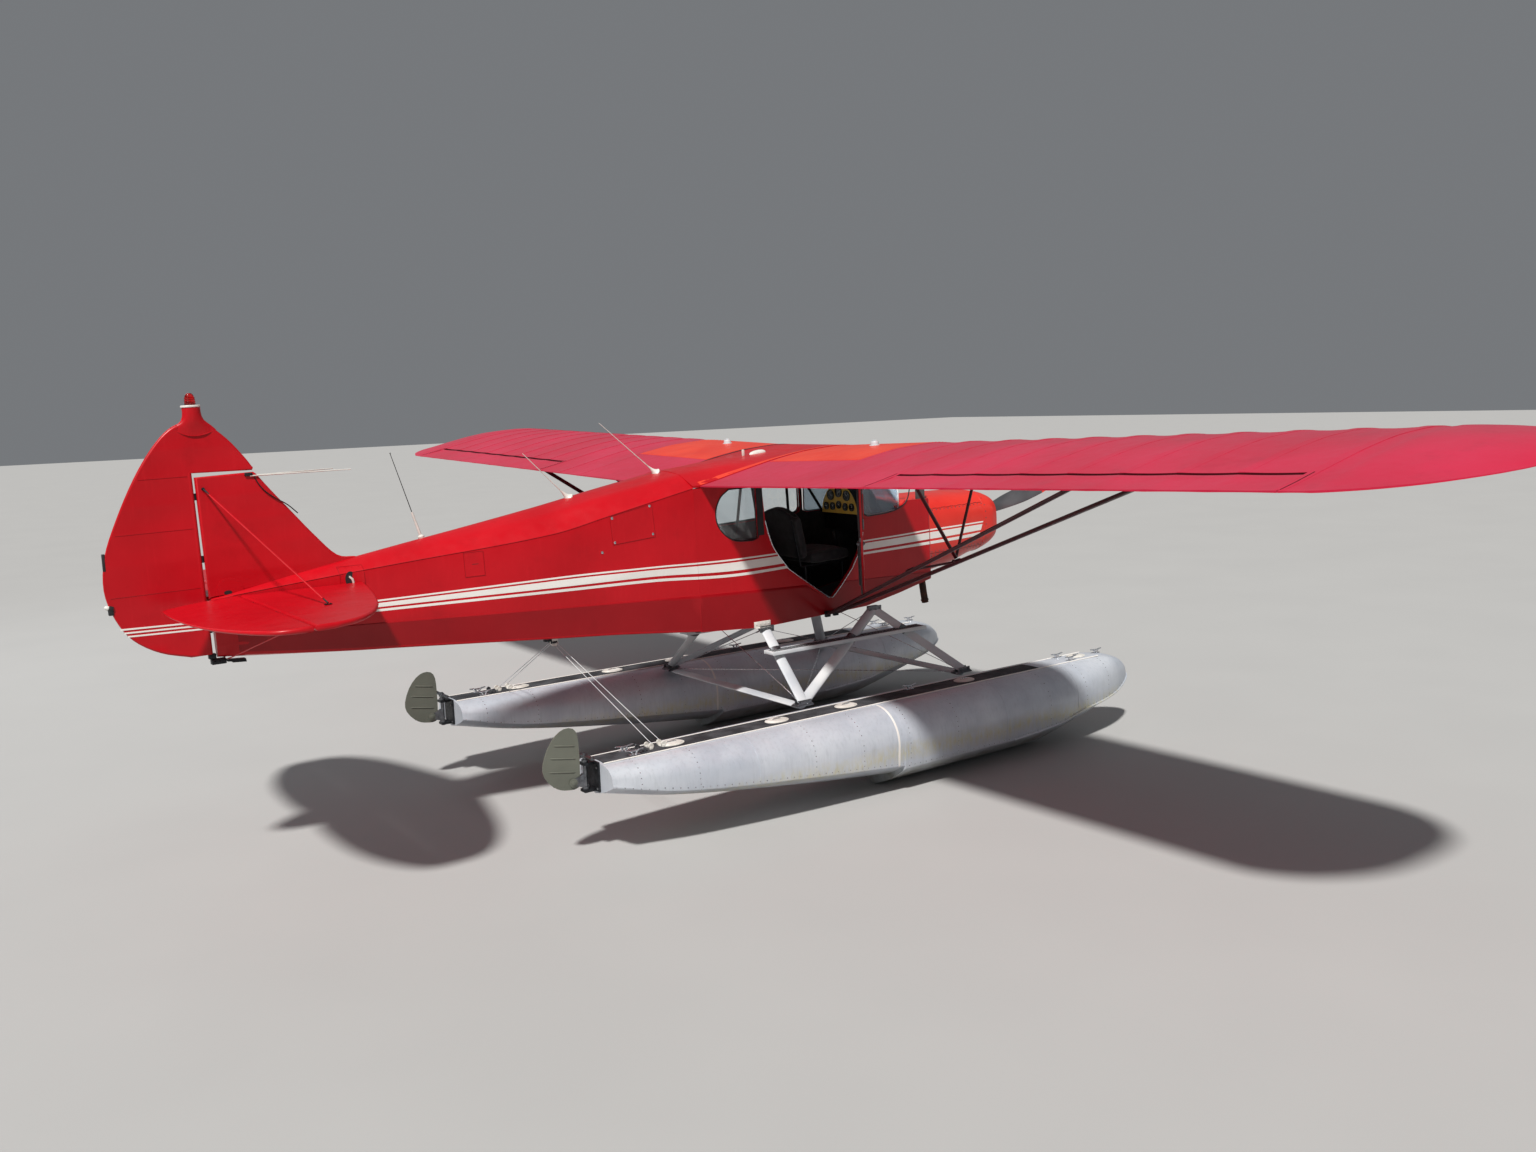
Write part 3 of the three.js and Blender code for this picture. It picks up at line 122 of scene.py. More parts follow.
def table(rows, x):
    """Every column of a table at x, by a smooth curve through its rows that never overshoots."""
    rows = sorted(rows)
    x = min(max(x, rows[0][0]), rows[-1][0])
    last = len(rows) - 1
    i = next(k for k in range(1, last + 1) if x <= rows[k][0])
    a, b = rows[i - 1], rows[i]
    h = b[0] - a[0]
    t = (x - a[0]) / h
    out = []
    for c in range(1, len(a)):
        def rise(k):
            return (rows[k + 1][c] - rows[k][c]) / (rows[k + 1][0] - rows[k][0])

        def slope(k):
            if k == 0:
                return rise(0)
            if k == last:
                return rise(last - 1)
            left, right = rise(k - 1), rise(k)
            return 0.0 if left * right <= 0 else 2 * left * right / (left + right)
        m0, m1 = slope(i - 1) * h, slope(i) * h
        out.append(a[c] * (2 * t ** 3 - 3 * t ** 2 + 1) + m0 * (t ** 3 - 2 * t ** 2 + t)
                   + b[c] * (3 * t ** 2 - 2 * t ** 3) + m1 * (t ** 3 - t ** 2))
    return out


def spread(a, b, count):
    return [a + (b - a) * i / (count - 1) for i in range(count)]


def circle(count):
    """Angles at even steps once round."""
    return [2 * math.pi * k / count for k in range(count)]


def round_ring(centre, side, up, radius, count):
    """Points of a circle in the plane of two unit vectors, its radius in millimetres."""
    return [centre + radius / 1000 * (side * math.cos(a) + up * math.sin(a)) for a in circle(count)]


def grid(us, vs):
    return [[(u, v) for v in vs] for u in us]


def spline(points, steps):
    """A smooth curve through 2-D or 3-D points."""
    points = [Vector(p) for p in points]
    ends = [2 * points[0] - points[1]] + points + [2 * points[-1] - points[-2]]
    out = []
    for i in range(1, len(ends) - 2):
        p0, p1, p2, p3 = ends[i - 1:i + 3]
        for k in range(steps):
            t = k / steps
            out.append(0.5 * ((2 * p1) + (p2 - p0) * t + (2 * p0 - 5 * p1 + 4 * p2 - p3) * t ** 2
                              + (3 * p1 - p0 - 3 * p2 + p3) * t ** 3))
    return out + [points[-1]]


def outline(parts, steps=5):
    """A closed 2-D outline: plain points as given, and a smooth curve through each nested list."""
    points = []
    for part in parts:
        if isinstance(part[0], (int, float)):
            points.append(tuple(part))
        else:
            points += [tuple(p) for p in spline(part, steps)]
    return points


def inset(points, by):
    """A closed 2-D outline moved inwards by a distance."""
    area = sum(p[0] * q[1] - q[0] * p[1] for p, q in zip(points, points[1:] + points[:1]))
    sign = 1 if area > 0 else -1
    count = len(points)
    out = []
    for i in range(count):
        p, q, r = Vector(points[i - 1]), Vector(points[i]), Vector(points[(i + 1) % count])
        d1, d2 = (q - p).normalized(), (r - q).normalized()
        n1, n2 = Vector((-d1.y, d1.x)), Vector((-d2.y, d2.x))
        n = n1 + n2
        n = n / max(0.5, n.dot(n1)) if n.length > 1e-6 else n1
        out.append(tuple(q + sign * by * n))
    return out


class Build:
    """Collects the closed parts of one piece."""

    def __init__(self):
        self.verts = []
        self.faces = []

    def add(self, verts, faces):
        base = len(self.verts)
        self.verts += [Vector(v) for v in verts]
        self.faces += [tuple(base + i for i in face) for face in faces]
        return self

    def loft(self, rings, cap=True):
        n = len(rings[0])
        faces = []
        for r in range(len(rings) - 1):
            for i in range(n):
                a, b = r * n + i, r * n + (i + 1) % n
                faces.append((a, b, b + n, a + n))
        if cap:
            faces.append(tuple(reversed(range(n))))
            faces.append(tuple(range((len(rings) - 1) * n, len(rings) * n)))
        return self.add([v for ring in rings for v in ring], faces)

    def band(self, rings):
        """Joins rings into a band that closes on itself."""
        n, count = len(rings[0]), len(rings)
        faces = []
        for r in range(count):
            ahead = (r + 1) % count * n
            for i in range(n):
                j = (i + 1) % n
                faces.append((r * n + i, r * n + j, ahead + j, ahead + i))
        return self.add([v for ring in rings for v in ring], faces)

    def slab(self, outer, inner):
        """A thin sheet between two grids of points with equal rows."""
        return self.loft([list(o) + list(reversed(i)) for o, i in zip(outer, inner)])

    def sheet(self, rows, place, lifts):
        """A thin sheet over rows of (u, v) places, between an outer and an inner lift."""
        return self.slab(*[[[place(u, v, lift) for u, v in row] for row in rows] for lift in lifts])

    def tube(self, points, radius, sides=8):
        """A round rod along a line of points, its radius one number or a list with one for each point."""
        points = [Vector(p) for p in points]
        radii = radius if isinstance(radius, list) else [radius] * len(points)
        side = (points[1] - points[0]).normalized().orthogonal().normalized()
        rings = []
        for i, p in enumerate(points):
            ahead = (points[min(i + 1, len(points) - 1)] - points[max(i - 1, 0)]).normalized()
            side = (side - ahead * side.dot(ahead)).normalized()
            rings.append(round_ring(p, side, ahead.cross(side), radii[i], sides))
        return self.loft(rings)

    def hoop(self, points, radius, sides=6):
        """A closed tube along a closed line of points."""
        points = [Vector(p) for p in points]
        middle = sum(points, Vector()) / len(points)
        rings = []
        for i, p in enumerate(points):
            ahead = (points[(i + 1) % len(points)] - points[i - 1]).normalized()
            out = p - middle
            out = (out - ahead * out.dot(ahead)).normalized()
            rings.append(round_ring(p, out, ahead.cross(out), radius, sides))
        return self.band(rings)

    def lathe(self, profile, place, steps=24):
        """Turns (radius, height) pairs round the z axis of a placing matrix, in millimetres."""
        rings = []
        for radius, height in profile:
            radius = max(radius, 0.01) / 1000
            rings.append([place @ Vector((radius * math.cos(a), radius * math.sin(a), height / 1000))
                          for a in circle(steps)])
        return self.loft(rings)

    def block(self, place, size, bevel=0.0):
        """A box with its edges cut, centred on a placing matrix, size in millimetres."""
        bm = bmesh.new()
        bmesh.ops.create_cube(bm, size=1.0)
        for v in bm.verts:
            v.co = Vector((v.co.x * size[0], v.co.y * size[1], v.co.z * size[2])) / 1000
        if bevel:
            bmesh.ops.bevel(bm, geom=bm.edges[:], offset=bevel / 1000, segments=2, affect="EDGES",
                            profile=0.5)
        bm.verts.ensure_lookup_table()
        self.add([place @ v.co for v in bm.verts], [[v.index for v in f.verts] for f in bm.faces])
        bm.free()
        return self

    def stud(self, centre, normal, radius, height, steps=8):
        """A low domed head, such as a rivet or a screw."""
        place = facing(centre, normal)
        return self.lathe([(radius, -0.6), (radius, height * 0.35), (radius * 0.62, height * 0.85),
                           (radius * 0.12, height)], place, steps)


def facing(centre, normal, up=Vector((0, 0, 1))):
    """A placing matrix whose z axis points along a normal."""
    z = Vector(normal).normalized()
    if abs(z.dot(up)) > 0.98:
        up = Vector((1, 0, 0))
    x = up.cross(z).normalized()
    y = z.cross(x)
    m = Matrix((x, y, z)).transposed().to_4x4()
    m.translation = Vector(centre)
    return m


def moved(p, x, y, z):
    """A placing matrix at a point moved by some millimetres."""
    return Matrix.Translation(p + Vector((x, y, z)) / 1000)


def mirrored(v, side):
    return Vector((v.x, side * v.y, v.z))


def closed_mesh(name, build):
    """A mesh from a build, its faces turned outwards."""
    mesh = bpy.data.meshes.new(name)
    mesh.from_pydata(build.verts, [], build.faces)
    bm = bmesh.new()
    bm.from_mesh(mesh)
    bmesh.ops.recalc_face_normals(bm, faces=bm.faces[:])
    bm.to_mesh(mesh)
    bm.free()
    return mesh


def linked(name, data):
    """A new object in the scene."""
    obj = bpy.data.objects.new(name, data)
    bpy.context.scene.collection.objects.link(obj)
    return obj


def shaded(mesh, sharp):
    """Smooth shading, except across edges sharper than an angle in degrees."""
    mesh.shade_smooth()
    mesh.set_sharp_from_angle(angle=math.radians(sharp))


def piece(name, build, material, body="airframe", replaces=(), sharp=SHARP_EDGE):
    mesh = closed_mesh(name, build)
    shaded(mesh, sharp)
    obj = linked(name, mesh)
    mesh.materials.append(material)
    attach(obj, body)
    if replaces:
        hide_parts(*replaces)
    return obj


def carve(obj, cutters):
    """Cuts closed builds out of a piece."""
    for build in cutters:
        tool = linked("cutter", closed_mesh("cutter", build))
        cut = obj.modifiers.new("cut", "BOOLEAN")
        cut.operation = "DIFFERENCE"
        cut.solver = "EXACT"
        cut.object = tool
        bpy.context.view_layer.update()
        shaped = bpy.data.meshes.new_from_object(obj.evaluated_get(bpy.context.evaluated_depsgraph_get()))
        obj.modifiers.clear()
        old = obj.data
        obj.data = shaped
        bpy.data.meshes.remove(old)
        bpy.data.objects.remove(tool)
    shaded(obj.data, SHARP_EDGE)


# Camera at the photograph's place, its turns in degrees and its seat in metres
CAMERA_TURNS = (("Z", -35.7791), ("X", -7.8625), ("Y", 2.0291))
CAMERA_AT = (-4.6651, -7.659, 2.6518)
CAMERA_LENS = 30.21


def add_camera():
    camera = bpy.data.cameras.new("camera")
    camera.sensor_width = 36.0
    camera.lens = CAMERA_LENS
    camera.clip_end = 400.0
    turn = Matrix.Identity(3)
    for axis, degrees in CAMERA_TURNS:
        turn = turn @ Matrix.Rotation(math.radians(degrees), 3, axis)
    right, ahead, up = turn.col
    place = Matrix((right, up, -ahead)).transposed().to_4x4()
    place.translation = CAMERA_AT
    obj = linked("camera", camera)
    obj.matrix_world = place
    bpy.context.scene.camera = obj


add_camera()


# Materials
class Look:
    """A material being wired: a shader, and texture nodes that read the piece's own coordinates."""

    def __init__(self, name, **settings):
        self.material = bpy.data.materials.new(name)
        self.material.use_nodes = True
        self.nodes = self.material.node_tree.nodes
        self.links = self.material.node_tree.links
        self.nodes.clear()
        out = self.nodes.new("ShaderNodeOutputMaterial")
        self.shader = self.nodes.new("ShaderNodeBsdfPrincipled")
        self.links.new(self.shader.outputs[0], out.inputs["Surface"])
        for key, value in settings.items():
            self.shader.inputs[key.replace("_", " ")].default_value = value
        self.place = self.nodes.new("ShaderNodeTexCoord")
        self.last_bump = None

    def feed(self, socket, value):
        if isinstance(value, (int, float)):
            socket.default_value = value
        elif isinstance(value, tuple):
            socket.default_value = value if len(value) == len(socket.default_value) else (*value, 1.0)
        else:
            self.links.new(value, socket)

    def texture(self, kind, stretch=(1, 1, 1), **inputs):
        place = self.nodes.new("ShaderNodeMapping")
        self.links.new(self.place.outputs["Object"], place.inputs["Vector"])
        place.inputs["Scale"].default_value = stretch
        node = self.nodes.new(kind)
        self.links.new(place.outputs["Vector"], node.inputs["Vector"])
        for key, value in inputs.items():
            node.inputs[key].default_value = value
        return node

    def noise(self, scale, detail=4.0, rough=0.55, stretch=(1, 1, 1)):
        node = self.texture("ShaderNodeTexNoise", stretch, Scale=scale, Detail=detail, Roughness=rough)
        return node.outputs["Fac"]

    def cells(self, scale):
        return self.texture("ShaderNodeTexVoronoi", Scale=scale).outputs["Distance"]

    def wave(self, scale, axis, bend):
        node = self.texture("ShaderNodeTexWave", Scale=scale, Distortion=bend)
        node.bands_direction = axis
        return node.outputs["Fac"]

    def height(self):
        node = self.nodes.new("ShaderNodeSeparateXYZ")
        self.links.new(self.place.outputs["Object"], node.inputs[0])
        return node.outputs[2]

    def ramp(self, value, low, high, a=0.0, b=1.0):
        node = self.nodes.new("ShaderNodeMapRange")
        self.feed(node.inputs["Value"], value)
        for key, number in (("From Min", low), ("From Max", high), ("To Min", a), ("To Max", b)):
            node.inputs[key].default_value = number
        return node.outputs["Result"]

    def calc(self, kind, a, b=0.0):
        node = self.nodes.new("ShaderNodeMath")
        node.operation = kind
        self.feed(node.inputs[0], a)
        self.feed(node.inputs[1], b)
        return node.outputs[0]

    def mix(self, share, a, b):
        node = self.nodes.new("ShaderNodeMix")
        node.data_type = "RGBA"
        self.feed(node.inputs["Factor"], share)
        self.feed(node.inputs[6], a)
        self.feed(node.inputs[7], b)
        return node.outputs[2]

    def blend(self, noise, low, high, a, b):
        """Two colours mixed as a noise goes from one level to another."""
        return self.mix(self.ramp(self.noise(*noise), low, high), a, b)

    def colour(self, value):
        self.feed(self.shader.inputs["Base Color"], value)

    def rough(self, value):
        self.feed(self.shader.inputs["Roughness"], value)

    def uneven(self, noise, low, high):
        """A roughness that a noise moves between two values."""
        self.rough(self.ramp(self.noise(*noise), 0.3, 0.7, low, high))

    def bump(self, height, strength, distance):
        node = self.nodes.new("ShaderNodeBump")
        node.inputs["Strength"].default_value = strength
        node.inputs["Distance"].default_value = distance
        self.links.new(height, node.inputs["Height"])
        if self.last_bump:
            self.links.new(self.last_bump, node.inputs["Normal"])
        self.last_bump = node.outputs["Normal"]
        self.links.new(self.last_bump, self.shader.inputs["Normal"])


def srgb(r, g, b):
    return tuple((c / 255 / 12.92) if c <= 10 else ((c / 255 + 0.055) / 1.055) ** 2.4 for c in (r, g, b))


def doped_fabric(name, deep, light, streak=0.3, rough=(0.3, 0.44), sheen=0.0):
    """Glossy dope over woven fabric: soft fading, faint run marks and a fine weave."""
    look = Look(name, Coat_Weight=0.08, Coat_Roughness=0.2, IOR=1.34, Sheen_Weight=sheen,
                Sheen_Roughness=0.35, Sheen_Tint=(0.8, 0.86, 1.0, 1.0))
    base = look.blend((1.3, 5.0), 0.38, 0.68, deep, light)
    runs = look.ramp(look.noise(9.0, 3.0, 0.6, (6, 6, 0.5)), 0.56, 0.72, 0.0, streak)
    base = look.mix(runs, base, tuple(c * 1.12 + 0.006 for c in light))
    grime = look.ramp(look.noise(3.7, 8.0, 0.7), 0.55, 0.8, 0.0, 0.4)
    look.colour(look.mix(grime, base, tuple(c * 0.55 for c in deep)))
    look.uneven((14.0, 4.0), *rough)
    weave = look.calc("MULTIPLY", look.wave(260.0, "X", 0.4), look.wave(260.0, "Z", 0.4))
    look.bump(weave, 0.08, 0.0002)
    look.bump(look.noise(5.0, 3.0), 0.12, 0.003)
    return look.material


def worn_paint(name, deep, light, bare, wear=0.5, rough=(0.3, 0.5)):
    """Sheet-metal paint with faded patches, chips and fine scratches."""
    look = Look(name, Coat_Weight=0.15, Coat_Roughness=0.2)
    base = look.blend((2.2, 6.0), 0.35, 0.7, deep, light)
    chips = look.ramp(look.noise(46.0, 9.0, 0.75), 0.68, 0.74, 0.0, wear)
    lines = look.ramp(look.noise(20.0, 6.0, 0.7, (0.7, 9, 9)), 0.67, 0.72, 0.0, wear * 0.6)
    marks = look.calc("MAXIMUM", chips, lines)
    look.colour(look.mix(marks, base, bare))
    look.uneven((11.0, 5.0), *rough)
    look.bump(marks, 0.12, 0.0004)
    look.bump(look.noise(7.0, 3.0), 0.1, 0.002)
    return look.material


def metal(name, tone, dark, rough=(0.25, 0.45), metallic=0.9):
    look = Look(name, Metallic=metallic)
    look.colour(look.blend((30.0, 6.0, 0.65), 0.35, 0.7, tone, dark))
    look.uneven((66.0, 5.0), *rough)
    look.bump(look.noise(210.0, 4.0), 0.1, 0.0003)
    return look.material


def moulded(name, tone, other, rough=(0.35, 0.5)):
    look = Look(name)
    look.colour(look.blend((12.0, 5.0), 0.35, 0.7, tone, other))
    look.uneven((20.0, 4.0), *rough)
    look.bump(look.noise(300.0, 3.0), 0.1, 0.0005)
    return look.material


def hull_metal():
    """Unpainted sheet on a float: cloudy grey, water stains in a band, drips and dull patches."""
    look = Look("hull_metal", Metallic=0.25, Coat_Weight=0.1)
    base = look.blend((2.6, 7.0, 0.6), 0.3, 0.7, srgb(180, 187, 198), srgb(208, 213, 220))
    drips = look.ramp(look.noise(7.0, 6.0, 0.65, (7, 7, 0.6)), 0.5, 0.78, 0.0, 0.32)
    base = look.mix(drips, base, srgb(146, 152, 158))
    wavy = look.calc("ADD", look.height(), look.ramp(look.noise(4.0, 5.0), 0.0, 1.0, -0.05, 0.05))
    band = look.calc("MULTIPLY", look.ramp(wavy, 0.2, 0.27), look.ramp(wavy, 0.36, 0.27))
    stain = look.calc("MULTIPLY", band, look.ramp(look.noise(12.0, 6.0, 0.7, (3, 3, 1)), 0.4, 0.65, 0.1, 0.8))
    base = look.mix(stain, base, srgb(196, 188, 140))
    soaked = look.ramp(look.noise(9.0, 6.0), 0.3, 0.7, 0.3, 0.8)
    foot = look.calc("MULTIPLY", look.ramp(wavy, 0.2, 0.1), soaked)
    look.colour(look.mix(foot, base, srgb(120, 116, 96)))
    look.uneven((6.0, 6.0), 0.34, 0.56)
    look.bump(look.noise(3.2, 2.0), 0.25, 0.006)
    look.bump(look.noise(90.0, 4.0), 0.06, 0.0003)
    return look.material


def walk_grit():
    look = Look("walk_grit")
    look.colour(look.blend((8.0, 6.0), 0.4, 0.7, srgb(34, 36, 40), srgb(74, 76, 80)))
    look.uneven((30.0, 3.0), 0.7, 0.92)
    look.bump(look.cells(420.0), 0.5, 0.001)
    return look.material


def clear(name, tint, rough=0.03, through=1.0):
    look = Look(name, Transmission_Weight=through, IOR=1.45)
    look.colour(look.blend((3.0, 4.0), 0.4, 0.7, tint, tuple(min(1.0, c * 1.04) for c in tint)))
    look.rough(look.ramp(look.noise(60.0, 8.0, 0.7, (1, 1, 4)), 0.62, 0.75, rough, rough + 0.12))
    look.bump(look.noise(4.0, 2.0), 0.02, 0.001)
    return look.material


def upholstery(name, tone, other, scale=520.0):
    look = Look(name, Sheen_Weight=0.3)
    look.colour(look.blend((26.0, 6.0), 0.35, 0.7, tone, other))
    look.uneven((18.0, 4.0), 0.6, 0.8)
    weave = look.calc("MULTIPLY", look.wave(scale, "X", 0.6), look.wave(scale, "DIAGONAL", 0.6))
    look.bump(weave, 0.3, 0.0006)
    look.bump(look.noise(22.0, 4.0), 0.25, 0.003)
    return look.material


# Painted light: the panel's gold is made brighter than its own colour, standing in for sunlight through the
# windscreen.
def panel_gold():
    look = Look("panel_gold", Coat_Weight=0.1)
    base = look.blend((4.0, 6.0, 0.6, (1, 6, 1)), 0.35, 0.7, srgb(250, 196, 74), srgb(255, 218, 112))
    look.colour(look.mix(look.ramp(look.noise(60.0, 8.0, 0.7), 0.66, 0.74, 0.0, 0.5), base, srgb(96, 62, 24)))
    look.uneven((16.0, 4.0), 0.35, 0.55)
    look.bump(look.noise(120.0, 4.0, 0.6, (1, 8, 1)), 0.1, 0.0005)
    return look.material


def exhaust_rust():
    look = Look("exhaust_rust", Metallic=0.6)
    base = look.blend((24.0, 8.0, 0.7), 0.4, 0.65, srgb(60, 50, 46), srgb(104, 62, 42))
    look.colour(look.blend((9.0, 5.0), 0.5, 0.7, base, srgb(36, 34, 34)))
    look.uneven((30.0, 5.0), 0.5, 0.8)
    look.bump(look.noise(160.0, 6.0, 0.7), 0.4, 0.0006)
    return look.material


RED = doped_fabric("fabric_red", srgb(172, 5, 19), srgb(190, 11, 26), 0.2)
# Painted shade: a darker copy of the fuselage red, for the lower facets, the longeron crease and the rudder's
# rib lines; it also outlines the seams round the skin plates.
RED_SHADE_AND_SEAMS = doped_fabric("fabric_shade_and_seams", srgb(140, 4, 15), srgb(154, 8, 20), 0.12)
# Painted reflection: the wing's red is pinker than the fuselage's, standing in for the sky reflected in its
# glossy top.
RED_WING_SKY_TINT = doped_fabric("wing_red_sky_tint", srgb(180, 18, 52), srgb(194, 26, 64), 0.05, (0.4, 0.52), 0.25)
# The struts' dark red paint; the same colour is painted shade in the aileron gaps and on the left root strip.
DARK_RED_AND_SHADE = doped_fabric("strut_red_and_shade", srgb(50, 4, 9), srgb(68, 6, 14), 0.1)
COWL_RED = worn_paint("cowl_red", srgb(200, 34, 26), srgb(216, 52, 38), srgb(228, 140, 122), 0.45)
TANK_RED = worn_paint("tank_red", srgb(206, 48, 30), srgb(220, 66, 42), srgb(232, 140, 116), 0.3, (0.4, 0.58))
WHITE = worn_paint("white_paint", srgb(222, 218, 212), srgb(234, 231, 226), srgb(186, 180, 170), 0.3)
HULL = hull_metal()
STRUT_GREY = worn_paint("strut_grey", srgb(178, 184, 190), srgb(214, 216, 216), srgb(128, 132, 134), 0.45,
                        (0.4, 0.6))
STEEL = metal("plain_steel", srgb(128, 130, 134), srgb(84, 86, 90))
DARK_STEEL = metal("dark_steel", srgb(52, 54, 58), srgb(30, 31, 34), (0.35, 0.6), 0.7)
BRIGHT = metal("bright_metal", srgb(214, 216, 220), srgb(176, 180, 186), (0.18, 0.34))
GRIT = walk_grit()
GLASS = clear("clear_sheet", (0.86, 0.92, 0.95), 0.03, 0.94)
# Painted reflection: the windscreen's blue-grey tint stands in for the sky reflected in it.
SCREEN_SKY_TINT = clear("screen_sheet", (0.5, 0.61, 0.7), 0.1, 0.72)
RED_GLASS = clear("lamp_glass", (0.72, 0.02, 0.02), 0.08)
BLACK = moulded("black_plastic", srgb(20, 20, 22), srgb(38, 38, 40), (0.45, 0.65))
IVORY = moulded("white_plastic", srgb(220, 218, 212), srgb(196, 192, 184), (0.35, 0.5))
SEAT = upholstery("seat_cloth", srgb(20, 20, 23), srgb(42, 42, 46))
LINER = upholstery("liner_cloth", srgb(40, 36, 36), srgb(62, 56, 54), 300.0)
GOLD_SUNLIT = panel_gold()
RUST = exhaust_rust()
OLIVE = worn_paint("blade_olive", srgb(88, 91, 82), srgb(108, 110, 99), srgb(136, 138, 126), 0.35, (0.5, 0.7))
PROP_GREY = worn_paint("blade_grey", srgb(58, 60, 64), srgb(84, 86, 88), srgb(150, 152, 152), 0.4,
                       (0.35, 0.55))
DIAL = moulded("dial_black", srgb(10, 10, 12), srgb(22, 22, 24), (0.2, 0.35))

# Wing section. Columns: square root of the chord fraction, top height, bottom height.
FOIL = [
    (0.000, 0.000, 0.000), (0.122, 0.024, -0.013), (0.245, 0.052, -0.021), (0.374, 0.078, -0.024),
    (0.520, 0.092, -0.023), (0.648, 0.089, -0.019), (0.762, 0.073, -0.013), (0.849, 0.051, -0.009),
    (0.917, 0.030, -0.006), (0.964, 0.014, -0.004), (1.000, 0.003, -0.003),
]
CHORD_STEPS = (0, 0.003, 0.012, 0.028, 0.05, 0.08, 0.12, 0.16, 0.2, 0.25, 0.31, 0.38, 0.45, 0.52, 0.59, 0.66,
               0.73, 0.79, 0.85, 0.9, 0.95, 0.98, 1.0)
RIBS = [374.5, 700, 1040, 1380, 1725, 2068, 2390, 2712, 3034, 3356, 3678, 4000, 4322, 4656, 4800]
TANK_OUT = 1380.0
TANK_REAR = -1030.0
BAY_IN = AILERON_IN - SWING_GAP
BAY_OUT = AILERON_OUT + SWING_GAP
FABRIC_SAG = 7.5


def foil(f):
    return table(FOIL, math.sqrt(min(max(f, 0.0), 1.0)))


def wing_z(x, y):
    return x * math.tan(INCIDENCE) + (abs(y) - ROOT_Y) * math.tan(DIHEDRAL)


def sag_at(f, y):
    """How far the fabric hangs in between two ribs, at a chord fraction."""
    y = abs(y)
    if y < TANK_OUT or y > RIBS[-1]:
        return 0.0
    i = max(k for k, rib in enumerate(RIBS) if rib <= y + 1e-6)
    if i + 1 >= len(RIBS):
        return 0.0
    t = (y - RIBS[i]) / (RIBS[i + 1] - RIBS[i])
    return FABRIC_SAG * (1 - (2 * t - 1) ** 2) * ease((f - 0.1) / 0.1) * (1 - 0.7 * f)


def top_z(x, y):
    f = -x / CHORD
    return wing_z(x, y) + foil(f)[0] * CHORD - sag_at(f, y)


def low_z(x, y):
    f = -x / CHORD
    return wing_z(x, y) + foil(f)[1] * CHORD + 0.6 * sag_at(f, y)


# Wing tip. Columns: place along the span, leading edge, trailing edge, share of the thickness, lift.
TIP = [
    (4656, 0, -1600, 1.00, 0), (4780, 0, -1595, 1.00, 0), (4950, -25, -1540, 0.94, 3),
    (5120, -95, -1430, 0.82, 9), (5260, -210, -1270, 0.64, 18), (5360, -370, -1070, 0.42, 27),
    (SEMI_SPAN, -560, -860, 0.16, 36),
]


def wing_ring(side, y, end=1.0):
    lead, trail, thin, lift = (0, -CHORD, 1, 0) if y <= TIP[0][0] else table(TIP, y)
    tops, lows = [], []
    for f in [s for s in CHORD_STEPS if s < end] + [end]:
        x = lead + (trail - lead) * f
        top, low = foil(f)
        sag = sag_at(f, y)
        z = wing_z(x, y) + lift
        tops.append(air(x, side * y, z + top * CHORD * thin - sag))
        lows.append(air(x, side * y, z + low * CHORD * thin + 0.6 * sag))
    return tops[::-1] + lows[1:]


def bay_stations(y0, y1):
    """Places along the span from y0 to y1, closer together beside each rib."""
    out = {y0, y1}
    for a, b in zip(RIBS, RIBS[1:]):
        for t in (0, 0.06, 0.2, 0.35, 0.5, 0.65, 0.8, 0.94, 1):
            y = a + (b - a) * t
            if y0 < y < y1:
                out.add(y)
    return sorted(out)


def add_wings():
    bay = -BAY_FACE / CHORD
    tips = spread(RIBS[-1], 5360, 15)[1:] + [5376, 5390, 5400, SEMI_SPAN]
    for name, side in SIDES:
        build = Build()
        build.loft([wing_ring(side, y) for y in bay_stations(RIBS[0], BAY_IN)])
        build.loft([wing_ring(side, y, bay) for y in bay_stations(BAY_IN, BAY_OUT)])
        build.loft([wing_ring(side, y) for y in bay_stations(BAY_OUT, RIBS[-1]) + tips])
        for y in (AILERON_IN + 300, (AILERON_IN + AILERON_OUT) / 2, AILERON_OUT - 300):
            z = (top_z(AILERON_HINGE, y) + low_z(AILERON_HINGE, y)) / 2
            place = facing(air((BAY_FACE + AILERON_HINGE) / 2, side * y, z), (0, 0, 1), Vector((1, 0, 0)))
            build.block(place, (18, 60, 16), 2)
        piece(f"wing_skin_{name}", build, RED_WING_SKY_TINT, replaces=(f"wing_{name}",))

        build = Build()
        rings = []
        for y in bay_stations(AILERON_IN, AILERON_OUT):
            top, low = top_z(AILERON_HINGE, y), low_z(AILERON_HINGE, y)
            radius, middle = (top - low) / 2, (top + low) / 2
            points = []
            for x in spread(-CHORD, AILERON_HINGE, 8):
                tail = 4 * ease((AILERON_HINGE - x) / 228)
                points.append((x, top_z(x, y) + tail - 3 if x < AILERON_HINGE else top))
            points += [(AILERON_HINGE + radius * math.cos(a), middle + radius * math.sin(a))
                       for a in spread(math.pi / 2, -math.pi / 2, 11)[1:]]
            points += [(x, low_z(x, y)) for x in spread(AILERON_HINGE, -CHORD, 6)[1:]]
            rings.append([air(x, side * y, z) for x, z in points])
        build.loft(rings)
        piece(f"aileron_skin_{name}", build, RED_WING_SKY_TINT, f"aileron_{name}", (f"aileron_{name}",))


add_wings()


